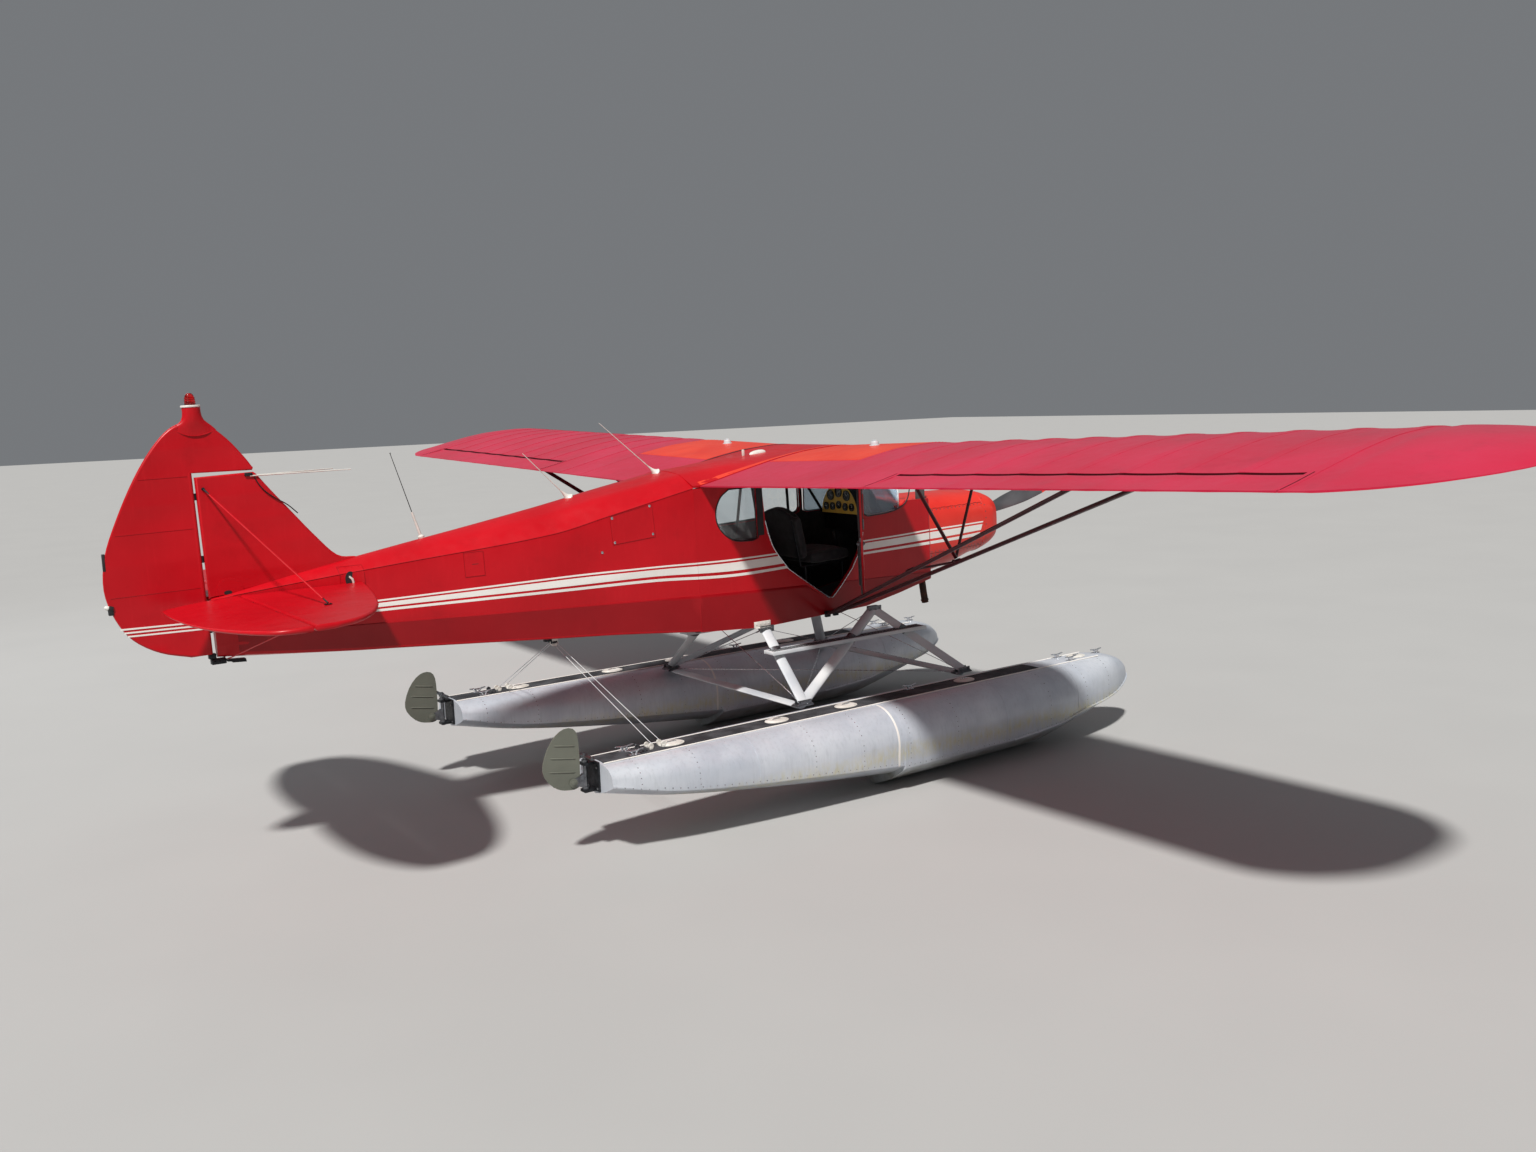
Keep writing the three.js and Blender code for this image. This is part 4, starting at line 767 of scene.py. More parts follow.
def add_wing_details():
    for name, side in SIDES:
        def on_wing(x, y, lift, side=side):
            return air(x, side * y, top_z(x, y) + lift)

        def under_wing(x, y, drop, side=side):
            return air(x, side * y, low_z(x, y) - drop)

        rows = grid(spread(-6, TANK_REAR, 26), spread(402, TANK_OUT - 10, 4))
        piece(f"tank_cover_{name}", Build().sheet(rows, on_wing, (1.2, -1.5)), TANK_RED)
        screws = Build()
        places = [(x, y) for y in (404, TANK_OUT - 12) for x in spread(-40, TANK_REAR + 6, 34)]
        places += [(TANK_REAR + 8, y) for y in spread(440, TANK_OUT - 50, 26)]
        for x, y in places:
            screws.stud(on_wing(x, y, 1.2), UP, 4, 1.6, 6)
        piece(f"tank_screws_{name}", screws, TANK_RED)

        cap = Build()
        place = facing(on_wing(*FUEL_CAP, 0), UP)
        cap.lathe([(38, -4), (38, 3), (28, 5), (28, 26), (25, 30), (0, 31)], place, 28)
        cap.block(place @ Matrix.Translation((0, 0, 0.034)), (48, 8, 9), 2)
        piece(f"fuel_cap_{name}", cap, STRUT_GREY)

        tapes, lacing = Build(), Build()
        for rib in RIBS[3:-1]:
            end = BAY_FACE + 4 if BAY_IN < rib < BAY_OUT else -CHORD + 12
            outer, inner = [], []
            for x in spread(-150, end, 26):
                row = [(y, top_z(x, rib) + 0.55 - abs(y - rib) * 0.012) for y in (rib - 24, rib, rib + 24)]
                outer.append([air(x, side * y, max(z, top_z(x, y) + 0.35)) for y, z in row])
                inner.append([on_wing(x, y, -1.0) for y, z in row])
            tapes.slab(outer, inner)
            for x in spread(-220, -1290, 18):
                lacing.stud(under_wing(x, rib, 0.2), -UP, 5, 1.6, 6)
        piece(f"rib_tapes_{name}", tapes, RED_WING_SKY_TINT)
        piece(f"rib_lacing_{name}", lacing, RED_WING_SKY_TINT)

        # Painted shade: a dark sheet down the aileron's gap and dark lines over the bay's ends stand in for
        # the shadow in the gap.
        gap = Build()
        outer, inner = [], []
        for y in spread(BAY_IN, BAY_OUT, 60):
            z = top_z(BAY_FACE, y)
            outer.append([air(BAY_FACE - 1.2, side * y, z - drop) for drop in (1, 34)])
            inner.append([air(BAY_FACE + 2, side * y, z - drop) for drop in (1, 34)])
        gap.slab(outer, inner)
        for y in (BAY_IN - 3, BAY_OUT + 3):
            gap.tube([on_wing(x, y, 0.3) for x in spread(BAY_FACE, -CHORD + 14, 12)], 2.4, 6)
        piece(f"aileron_gap_shade_{name}", gap, DARK_RED_AND_SHADE)


add_wing_details()

# Cabin and fuselage tables, the same as the solids'
AFT = [
    (CABIN_REAR_X - 0.3, 45, 215, 22, 376, -66, 378, -560, 372, -1046),
    (-2275, -45, 205, -80, 322, -190, 330, -590, 296, -980),
    (-2670, -106, 172, -160, 282, -268, 290, -610, 256, -945),
    (-3659, -253, 88, -290, 158, -345, 164, -660, 138, -856),
    (-3956, -300, 66, -330, 118, -368, 124, -672, 104, -830),
    (RUDDER_X + 24, -424, 14, -426, 24, -430, 26, -700, 20, -748),
]
SIDE_WALL = [
    (CABIN_REAR_X, 376, -70, -1047), (-1150, HALF_WIDTH, -66, -1090), (-200, HALF_WIDTH, -56, -1076),
    (150, 376, -52, -1022), (FIREWALL_X, 352, -50, -962),
]
COWL = [(495.6, 352, -322, -958), (800, 350, -328, -912), (BOWL_X - 0.3, 338, -338, -842)]
BOWL = [
    (BOWL_X, 338, -338, -842), (1190, 340, -350, -816), (LIP_X, 328, -372, -786), (NOSE_X, 280, -416, -734),
]
SECTION_POWER = 3.2


def straight(rows, x):
    """Every column of a table at x, by straight lines."""
    rows = sorted(rows)
    x = min(max(x, rows[0][0]), rows[-1][0])
    i = next(k for k in range(1, len(rows)) if x <= rows[k][0])
    a, b = rows[i - 1], rows[i]
    t = (x - a[0]) / (b[0] - a[0])
    return [p + t * (q - p) for p, q in zip(a[1:], b[1:])]


def cowl_row(x):
    return table(COWL + BOWL, x) if x > COWL[0][0] else list(COWL[0][1:])


def side_y(x, z):
    """Outer half width of the fuselage, cabin or cowling at a place."""
    if x < CABIN_REAR_X:
        _, ys, zs, yt, zt, ym, zm, yb, zb = table(AFT, x)
        corners = [(ys, zs), (yt, zt), (ym, zm), (yb, zb)]
        for (y0, z0), (y1, z1) in zip(corners, corners[1:]):
            if z >= z1:
                return y0 + (z0 - z) / (z0 - z1) * (y1 - y0)
        return yb
    if x < COWL[0][0]:
        return straight(SIDE_WALL, x)[0]
    half, top, low = cowl_row(x)
    k = abs(z - (top + low) / 2) / ((top - low) / 2)
    return half * max(0.0, 1 - k ** SECTION_POWER) ** (1 / SECTION_POWER)


def on_side(side):
    """Places (x, z, lift) outside the fuselage's side."""
    return lambda x, z, lift=0.0: air(x, side * (side_y(x, z) + lift), z)


def softened(points, cuts, steps=4):
    """A closed ring with each corner rounded by its own cut length."""
    count = len(points)
    out = []
    for i in range(count):
        p, q, r = points[i - 1], points[i], points[(i + 1) % count]
        cut = cuts[i]
        a = q + (p - q).normalized() * min(cut, (p - q).length * 0.45)
        b = q + (r - q).normalized() * min(cut, (r - q).length * 0.45)
        for k in range(steps + 1):
            t = k / steps
            out.append(a * (1 - t) ** 2 + q * (2 * t * (1 - t)) + b * t ** 2)
        reach = min(cuts[(i + 1) % count], (q - r).length * 0.45)
        out.append((b + r + (q - r).normalized() * reach) / 2)
    return out


def add_aft_fuselage():
    rings = []
    for x in spread(CABIN_REAR_X - 0.3, RUDDER_X + 24, 64):
        ridge, ys, zs, yt, zt, ym, zm, yb, zb = table(AFT, x)
        scale = ease((yb - 8) / 120)
        corners = [(ys, zs), (yt, zt), (ym, zm), (yb, zb)]
        points = [(0, ridge)] + corners + [(0, zb - 14)] + [(-y, z) for y, z in reversed(corners)]
        cuts = [60, 40, 10, 26, 10, 30, 10, 26, 10, 40]
        ring = softened([Vector(p) for p in points], [c * (0.15 + 0.85 * scale) for c in cuts])
        rings.append([air(x, p.x, p.y) for p in ring])
    piece("aft_fabric", Build().loft(rings), RED, replaces=("aft_fuselage",), sharp=50)


add_aft_fuselage()

ROOF_X = [0, -6, -24, -56, -96, -150, -224, -320, -432, -550, -672, -800, -928, -1090, -1250, -1425, -1600,
          CABIN_REAR_X]
RIDGE_FROM = -600.0


def roof_top(x, y):
    """Height of the roof's skin between the wing roots."""
    edge = top_z(max(-CHORD, x), ROOT_Y) + 4
    t = max(0.0, (RIDGE_FROM - x) / (RIDGE_FROM - CABIN_REAR_X))
    start = top_z(RIDGE_FROM, ROOT_Y)
    middle = start + t * (AFT[0][1] - start) if t > 0 else edge
    shoulder = start + t * (AFT[0][3] - start) if t > 0 else edge
    ys = AFT[0][2]
    y = abs(y)
    if y <= ys:
        k = y / ys
        return middle + (shoulder - middle) * k ** 1.6
    k = (y - ys) / (ROOT_Y - ys)
    return shoulder + (edge - shoulder) * k


def add_roof():
    rings = []
    for x in ROOF_X:
        low = min(low_z(max(-CHORD, x), ROOT_Y), top_z(max(-CHORD, x), ROOT_Y) - 8)
        ys = spread(-ROOT_Y + 0.3, ROOT_Y - 0.3, 25)
        tops = [air(x, y, roof_top(x, y)) for y in ys]
        rings.append(tops + [air(x, ROOT_Y - 0.3, low), air(x, -ROOT_Y + 0.3, low)])
    piece("roof_skin", Build().loft(rings), RED, replaces=("cabin_roof",), sharp=50)
    for name, side in SIDES:
        def over_roof(x, y, lift, side=side):
            return air(x, side * y, roof_top(x, y) + lift)

        rows = grid([-4] + spread(-20, -1596, 42), (334, 372))
        strip = Build().sheet(rows, over_roof, (LIFT, -1.5))
        # Painted shade: the left root strip takes the dark strut red, darker than the right one's orange-red
        # tank paint.
        piece(f"root_strip_{name}", strip, TANK_RED if side < 0 else DARK_RED_AND_SHADE)
    build = Build()
    rings = []
    for u in spread(-1, 1, 15):
        size = 26 * math.sqrt(max(0.0, 1 - abs(u) ** 2.4))
        x = BLISTER_X + 75 * u
        top = roof_top(x, 0)
        rings.append([air(x, size * math.cos(a), top - 2 + size * math.sin(a)) for a in spread(0, math.pi, 9)]
                     + [air(x, 0, top - 5)])
    build.loft(rings)
    build.block(facing(air(STUB_X, 0, roof_top(STUB_X, 0) + 20), UP), (12, 20, 50), 4)
    piece("roof_blister", build, IVORY)


add_roof()


# Side stripes. Columns: x, then the top and bottom of the thin, the broad and the low band.
STRIPES = [
    (-4674, -542, -551, -560, -579, -587, -598), (-3768, -545, -555, -565, -589, -601, -615),
    (-2630, -542, -553, -564, -609, -624, -641), (-2020, -554, -565, -577, -621, -639, -657),
    (-1277, -579, -590, -603, -662, -684, -703), (-180, -582, -593, -605, -655, -672, -688),
    (165, -581, -592, -604, -654, -672, -690), (497, -578, -589, -602, -654, -672, -694),
    (1100, -577, -588, -601, -646, -663, -688),
]
BANDS = ((0, 1), (2, 3), (4, 5))
STRIPE_MIDDLE = -620.0
DOOR_REAR = [(-950, -520), (-700, -900), (-545, -1015), (-430, -1060), (-340, -1082)]
DOOR_FRONT = [(-770, -330), (-640, -250), (-520, -215), (-105, -211)]


def stripe(build, x_start, x_end, band, place, count):
    """One band of the stripe between two ends, each a function of height."""
    rows = []
    first, last = x_start(STRIPE_MIDDLE), x_end(STRIPE_MIDDLE)
    for t in spread(0, 1, count):
        cols = table(STRIPES, first + (last - first) * t)
        top, low = [cols[col] for col in band]
        heights = [top + (low - top) * k for k in (0, 0.5, 1)]
        rows.append([(x_start(z) + (x_end(z) - x_start(z)) * t, z) for z in heights])
    build.sheet(rows, place, (LIFT, -1.2))


def add_stripes():
    def fixed(x):
        return lambda z: x

    def door_edge(rows, gap):
        return lambda z: straight(rows, z)[0] + gap

    def nose(z):
        return 1088 + (z + 586) * 0.42

    def door_face(x, z, lift):
        return hung(x, -HALF_WIDTH - lift, z)

    for name, side in SIDES:
        runs = [(fixed(RUDDER_X + 26), fixed(CABIN_REAR_X - 1), 44), (fixed(FIREWALL_X + 8), nose, 14)]
        if side < 0:
            runs += [(fixed(CABIN_REAR_X + 1), door_edge(DOOR_REAR, -10), 10),
                     (door_edge(DOOR_FRONT, 10), fixed(FIREWALL_X - 1), 14)]
        else:
            runs.append((fixed(CABIN_REAR_X + 1), fixed(FIREWALL_X - 1), 24))
        build = Build()
        for band in BANDS:
            for start, end, count in runs:
                stripe(build, start, end, band, on_side(side), count)
        piece(f"side_stripe_{name}", build, WHITE)
    build = Build()
    for band in BANDS:
        stripe(build, door_edge(DOOR_REAR, 4), door_edge(DOOR_FRONT, -4), band, door_face, 10)
    piece("door_stripe", build, WHITE, "cabin_door")


add_stripes()

# Doorway, window and windscreen outlines
DOOR = outline([
    (-1100, -105), (-1082, -340), [(-1060, -430), (-1015, -545), (-900, -700)], (-556, -950), (-520, -955),
    (-440, -885), [(-330, -770), (-250, -640), (-215, -520)], (-211, -105)], 6)
DOOR_WINDOW = outline([
    (-1040, -150), [(-1018, -350), (-1000, -392), (-960, -412)], (-330, -405),
    [(-290, -390), (-268, -350), (-262, -310)], (-262, -150)], 6)
REAR_WINDOW = outline([
    (-1148, -95), (-1148, -455),
    [(-1200, -472), (-1360, -452), (-1470, -360), (-1496, -250), (-1455, -150), (-1380, -95)]], 6)
WINDSHIELD_SIDE = outline([
    (-188, -90), (-188, -392), [(-150, -410), (40, -404), (180, -378), (262, -318), (300, -200)], (300, -112),
    (-60, -90)], 6)
LEFT_WINDOW = outline([
    (-1100, -95), (-1100, -400), [(-1085, -420), (-1060, -432)], (-260, -408), [(-230, -395), (-215, -370)],
    (-215, -95)], 5)


NODE_LOOKS = (
    (RED, "cabin_side_right cabin_side_left cabin_floor fin rudder elevators"),
    (RED, "stabilizer_right stabilizer_left"),
    (STEEL, "firewall steering_post_right steering_post_left"),
    (COWL_RED, "nose_deck engine_cowl nose_bowl"),
    (DARK_STEEL, "engine_block tail_wires tail_foot stern_bracket_right stern_bracket_left"),
    (GOLD_SUNLIT, "instrument_panel"),
    (GLASS, "windscreen door_window rear_window_right rear_window_left side_window_left"),
    (OLIVE, "water_rudder_right water_rudder_left"),
    (PROP_GREY, "propeller"),
    (RUST, "exhaust_pipe"),
    (RED_GLASS, "beacon"),
    (SEAT, "front_seat rear_seat"),
    (HULL, "float_right float_left"),
    (STRUT_GREY, "float_struts_right float_struts_left spreader_bar_front spreader_bar_rear"),
    (GRIT, "float_deck_right float_deck_left"),
    (DARK_RED_AND_SHADE, "cabin_door front_lift_strut_right front_lift_strut_left rear_lift_strut_right"
               " rear_lift_strut_left jury_strut_right jury_strut_left"),
)
for material, names in NODE_LOOKS:
    for node_name in names.split():
        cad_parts[node_name].data.materials.clear()
        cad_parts[node_name].data.materials.append(material)


# Nose: cowling and bowl in smooth sheet, the engine inside, propeller and exhaust
def cowl_ring(x, inset_by=0.0, steps=64, row=None):
    half, top, low = row or cowl_row(x)
    middle, tall = (top + low) / 2, (top - low) / 2 - inset_by
    ring = []
    for a in [2 * math.pi * (k + 0.5) / steps for k in range(steps)]:
        c, s = math.cos(a), math.sin(a)
        r = (abs(c) ** SECTION_POWER + abs(s) ** SECTION_POWER) ** (-1 / SECTION_POWER)
        ring.append(air(x, (half - inset_by) * c * r, middle + tall * s * r))
    return ring


def ellipse(x, y, z, half, tall, count):
    """Points of an upright ellipse that faces forward."""
    return [air(x, y + half * math.cos(a), z + tall * math.sin(a)) for a in circle(count)]


def ahead_at(x, y, z):
    """A placing matrix on the airframe whose z axis points forward."""
    return facing(air(x, y, z), AHEAD)


def add_nose():
    xs = [COWL[0][0]] + spread(520, BOWL_X - 0.4, 14)
    rings = [cowl_ring(x) for x in xs] + [cowl_ring(x, 8) for x in reversed(xs)]
    build = Build().loft(rings + [rings[0]], cap=False)
    cowl = piece("cowl_sheet", build, COWL_RED, replaces=("engine_cowl",))
    carve(cowl, [Build().block(ahead_at(560, 0, -960), (320, 190, 150))])

    rings = [cowl_ring(x) for x in spread(BOWL_X, LIP_X, 9)]
    for a in spread(0, math.pi / 2, 8)[1:]:
        back = 1 - math.cos(a)
        row = [328 - 48 * back, -372 - 44 * back, -786 + 52 * back]
        rings.append(cowl_ring(LIP_X + (NOSE_X - LIP_X) * math.sin(a), row=row))
    for k in (0.85, 0.5, 0.2):
        rings.append(cowl_ring(NOSE_X, row=[280 * k, -575 + 159 * k, -575 - 159 * k]))
    bowl = piece("bowl_sheet", Build().loft(rings), COWL_RED, replaces=("nose_bowl",))
    inner = [cowl_ring(x, 8) for x in (BOWL_X - 4, 1150, 1200, 1236)]
    inner.append(cowl_ring(1268, row=[272, -424, -726]))
    cuts = [Build().loft(inner)]
    holes = [(y, INTAKE_Z, 78, 67, 40) for y in INTAKE_YS] + [(0, THRUST_Z, 52, 52, 32)]
    for hole in holes:
        cuts.append(Build().loft([ellipse(x, *hole) for x in (1225, 1320)]))
    carve(bowl, cuts)
    rims = Build()
    for y in INTAKE_YS:
        rims.hoop(ellipse(NOSE_X - 2, y, INTAKE_Z, 79, 68, 36), 4, 8)
    rims.hoop(cowl_ring(BOWL_X - 0.2, -0.4), 1.6, 6)
    piece("bowl_rims", rims, COWL_RED)

    seams, screws, hinge = Build(), Build(), Build()
    for side in (-1, 1):
        skin = on_side(side)
        for z in (SEAM_Z, -770):
            seams.sheet(grid(spread(500, BOWL_X - 2, 22), (z + 1.6, z - 1.6)), skin, (0.7, -1.2))
        places = [(x, z) for x in spread(515, 1095, 15) for z in (-438, -757, -783)]
        places += [(1125, z) for z in spread(-400, -760, 8)]
        for x, z in places:
            screws.stud(skin(x, z), (0, side, 0), 5, 2.0, 8)
        seams.sheet(grid((516, 523), (-600, -800)), skin, (0.8, -2))
        for x in spread(540, 1070, 7):
            y = side * (side_y(x, SEAM_Z) + 1.5)
            hinge.tube([air(x - 24, y, SEAM_Z), air(x + 24, y, SEAM_Z)], 4, 8)
    piece("cowl_seams", seams, BLACK)
    piece("cowl_screws", screws, STEEL)
    piece("cowl_hinges", hinge, COWL_RED)


def add_engine():
    build = Build()
    build.block(ahead_at(860, 0, -570), (240, 240, 560), 20)
    for x in (720, 980):
        for side in (-1, 1):
            for k in range(12):
                place = facing(air(x, side * (130 + 14 * k), CYLINDER_Z), (0, 1, 0))
                build.lathe([(96, -2.5), (96, 2.5)], place, 20)
            build.lathe([(70, 0), (70, 190)], facing(air(x, side * 120, CYLINDER_Z), (0, side, 0)), 20)
            build.block(facing(air(x, side * 306, CYLINDER_Z), (0, side, 0)), (120, 150, 26), 8)
    build.lathe([(42, 0), (42, PROP_X - 1164.3)], ahead_at(1100, 0, THRUST_Z), 28)
    build.block(ahead_at(540, 0, -590), (320, 260, 92), 8)
    piece("engine_in_bay", build, DARK_STEEL, replaces=("engine_block",))


BLADE = [
    (40, 96, 62, 52), (170, 112, 44, 44), (330, 146, 28, 33), (560, 152, 18, 23), (740, 126, 12, 17),
    (850, 94, 9, 14), (885, 66, 7, 13), (PROP_RADIUS, 30, 5, 13),
]


def spun(x, y, z):
    """A point of the propeller, drawn with one blade along z, in its rest turn."""
    turn = math.pi / 2 - BLADE_REST
    c, s = math.cos(turn), math.sin(turn)
    return air(PROP_X + x, y * c - z * s, THRUST_Z + y * s + z * c)


def blade_ring(radius, way):
    """The blade's section at a radius, on one of the two blades."""
    chord, thick, pitch = table(BLADE, radius)
    c, s = math.cos(math.radians(pitch)), math.sin(math.radians(pitch))
    points = []
    for a in circle(24):
        u = chord / 2 * math.cos(a)
        flat = 1.0 if math.sin(a) > 0 else 0.45
        w = thick / 2 * math.sin(a) * flat
        points.append(spun(w * c + u * s, way * (-w * s + u * c), way * radius))
    return points


def add_propeller():
    build, tips, bolts = Build(), Build(), Build()
    for way in (1, -1):
        build.loft([blade_ring(r, way) for r in spread(40, 790, 26)])
        tips.loft([blade_ring(r, way) for r in spread(790.2, PROP_RADIUS, 12)])
    hub = facing(spun(0, 0, 0), AHEAD)
    build.lathe([(66, -42), (70, -38), (70, 38), (66, 42)], hub, 40)
    build.lathe([(44, -64), (44, -40)], hub, 32)
    piece("propeller_blades", build, PROP_GREY, "propeller", ("propeller",))
    piece("propeller_tips", tips, TANK_RED, "propeller")
    for k in range(6):
        a = (k + 0.5) / 6 * 2 * math.pi
        place = facing(spun(42, 44 * math.cos(a), 44 * math.sin(a)), AHEAD)
        bolts.lathe([(14, 0), (14, 3), (9, 3.2), (9, 12), (7, 13)], place, 6)
    bolts.lathe([(58, 0), (58, 3.5), (20, 4)], facing(spun(41.5, 0, 0), AHEAD), 36)
    piece("propeller_bolts", bolts, STEEL, "propeller")


def add_exhaust():
    path = [(600, -180, -772), (596, -181, -800), (566, -185, -870), (540, -192, -960), (546, -198, -1070),
            (560, -202, -1176)]
    points = [air(*p) for p in spline(path, 5)]
    build = Build().tube(points, 27, 24)
    build.lathe([(38, 0), (38, 8), (30, 10)], facing(air(600, -180, -768), (0, 0, -1)), 24)
    bead = facing(air(556, -201, -1150), points[-1] - points[-3])
    build.lathe([(30.5, 0), (31.5, 6), (30.5, 12)], bead, 24)
    piece("exhaust_stub", build, RUST, replaces=("exhaust_pipe",))
    mouth = Build().lathe([(22, -1), (22, 0.8)], facing(points[-1], points[-1] - points[-2]), 24)
    piece("exhaust_mouth", mouth, BLACK)


add_nose()
add_engine()
add_propeller()
add_exhaust()

# Tail. Outlines are the same as the solids'.
TAIL_HALF = 17.0
LINES_END_X = -4724.0
HORN_Z = 262.0
FIN_EDGE = RUDDER_X + 15
RUDDER = outline([
    (RUDDER_X - 1, -752),
    [(-4807, -742), (-4965, -690), (-5093, -598), (-5168, -470), (-5204, -310), (-5180, -130), (-5103, 60),
     (-4994, 270), (-4886, 430), (-4787, 530), (-4688, 565), (-4589, 545), (-4490, 460), (-4406, 350),
     (-4363, 280)],
    (-4369, HORN_Z + 12), (RUDDER_X - 1, HORN_Z + 12)], 4)
FIN = outline([
    (FIN_EDGE, HORN_Z), (-4363, HORN_Z),
    [(-4354, 252), (-4282, 152), (-4181, 20), (-4065, -130), (-3946, -262), (-3837, -285)],
    (-3837, -320), (FIN_EDGE, -424)], 4)
STAB_EDGE = ELEVATOR_X + 15
STAB = outline([
    (STAB_EDGE, 62), (STAB_EDGE, TAIL_SEMI_SPAN - 8),
    [(-4431, 1462), (-4302, 1400), (-4179, 1255), (-4085, 1060), (-4015, 850), (-3941, 560), (-3882, 300),
     (-3847, 125)]], 4)
ELEVATOR = outline([
    (ELEVATOR_X - 1, 76), (-4737, 76), (-4935, 168),
    [(-4967, 210), (-4975, 480), (-4957, 800), (-4900, 1080), (-4797, 1320), (-4688, 1440),
     (ELEVATOR_X - 1, TAIL_SEMI_SPAN)]], 4)


def framed_fabric(build, shape, place, half, ribs, span):
    """A fabric-covered tube frame: shape in two coordinates, half thickness as a function of the first,
    with the fabric drawn down between ribs that run across the second coordinate."""
    radii = [half(u) for u, v in shape]
    area = sum(p[0] * q[1] - q[0] * p[1] for p, q in zip(shape, shape[1:] + shape[:1]))
    count = len(shape)
    core = []
    for i, r in enumerate(radii):
        p, q, n = Vector(shape[i - 1]), Vector(shape[i]), Vector(shape[(i + 1) % count])
        d1, d2 = (q - p).normalized(), (n - q).normalized()
        side = Vector((-d1.y - d2.y, d1.x + d2.x))
        side = side / max(1.2, side.length) if side.length > 1e-6 else Vector((0, 0))
        core.append(q + side * (r if area > 0 else -r))
    bm = bmesh.new()
    bm.faces.new([bm.verts.new((c.x, c.y, 0)) for c in core])

    def split(at, normal):
        bmesh.ops.bisect_plane(bm, geom=bm.verts[:] + bm.edges[:] + bm.faces[:], plane_co=at, plane_no=normal)

    bays = list(zip(ribs, ribs[1:]))
    cuts = [v for rib in ribs for v in (rib - 14, rib, rib + 14)]
    cuts += [v for a, b in bays for v in ((a + b) / 2, a * 0.75 + b * 0.25, a * 0.25 + b * 0.75)]
    for v in cuts:
        split((0, v, 0), (0, 1, 0))
    for u in spread(min(c.x for c in core), max(c.x for c in core), span)[1:-1]:
        split((u, 0, 0), (1, 0, 0))
    bm.verts.index_update()
    edge_rims = {v.index for e in bm.edges if e.is_boundary for v in e.verts}
    tops, lows = [], []
    for v in bm.verts:
        depth = 0.0
        for a, b in bays:
            if a <= v.co.y <= b:
                t = (v.co.y - a) / (b - a)
                depth = 1.8 * min(1.0, 3.0 * min(t, 1 - t)) if v.index not in edge_rims else 0.6
        h = max(2.0, half(v.co.x) - depth)
        tops.append(place(v.co.x, v.co.y, h))
        lows.append(place(v.co.x, v.co.y, -h))
    size = len(tops)
    faces = [tuple(v.index for v in f.verts) for f in bm.faces]
    faces += [tuple(reversed([v.index + size for v in f.verts])) for f in bm.faces]
    faces += [(e.verts[0].index, e.verts[1].index, e.verts[1].index + size, e.verts[0].index + size)
              for e in bm.edges if e.is_boundary]
    bm.free()
    build.add(tops + lows, faces)
    rings = []
    for i, c in enumerate(core):
        here = place(c.x, c.y, 0)
        q, n = core[i - 1], core[(i + 1) % count]
        ahead = (place(n.x, n.y, 0) - place(q.x, q.y, 0)).normalized()
        up = (place(c.x, c.y, 1) - here).normalized()
        rings.append(round_ring(here, ahead.cross(up).normalized(), up, radii[i], 10))
    build.band(rings)


def taper(hinge, reach, edge):
    return lambda u: TAIL_HALF * (1 - min(1.0, abs(u - hinge) / reach) * (1 - edge))


def hinge_pins(build, points, along, plate):
    for p in points:
        build.tube([p - along * 0.019, p + along * 0.019], 8.5, 12)
        build.block(facing(p + plate * 0.012, plate), (10, 30, 26), 1)


def across(shape, v):
    """Where a level line enters and leaves an outline."""
    hits = [u0 + (u1 - u0) * (v - v0) / (v1 - v0)
            for (u0, v0), (u1, v1) in zip(shape, shape[1:] + shape[:1]) if (v0 - v) * (v1 - v) < 0]
    return min(hits), max(hits)


def rib_edges(shape, half, ribs):
    """The raised edge of the tape over each rib, on both faces of an upright surface."""
    build = Build()
    for rib in ribs:
        low, high = across(shape, rib)
        for side in (-1, 1):
            build.tube([air(x, side * (half(x) - 0.6), rib) for x in spread(low + 24, high - 24, 16)], 1.9, 6)
    return build


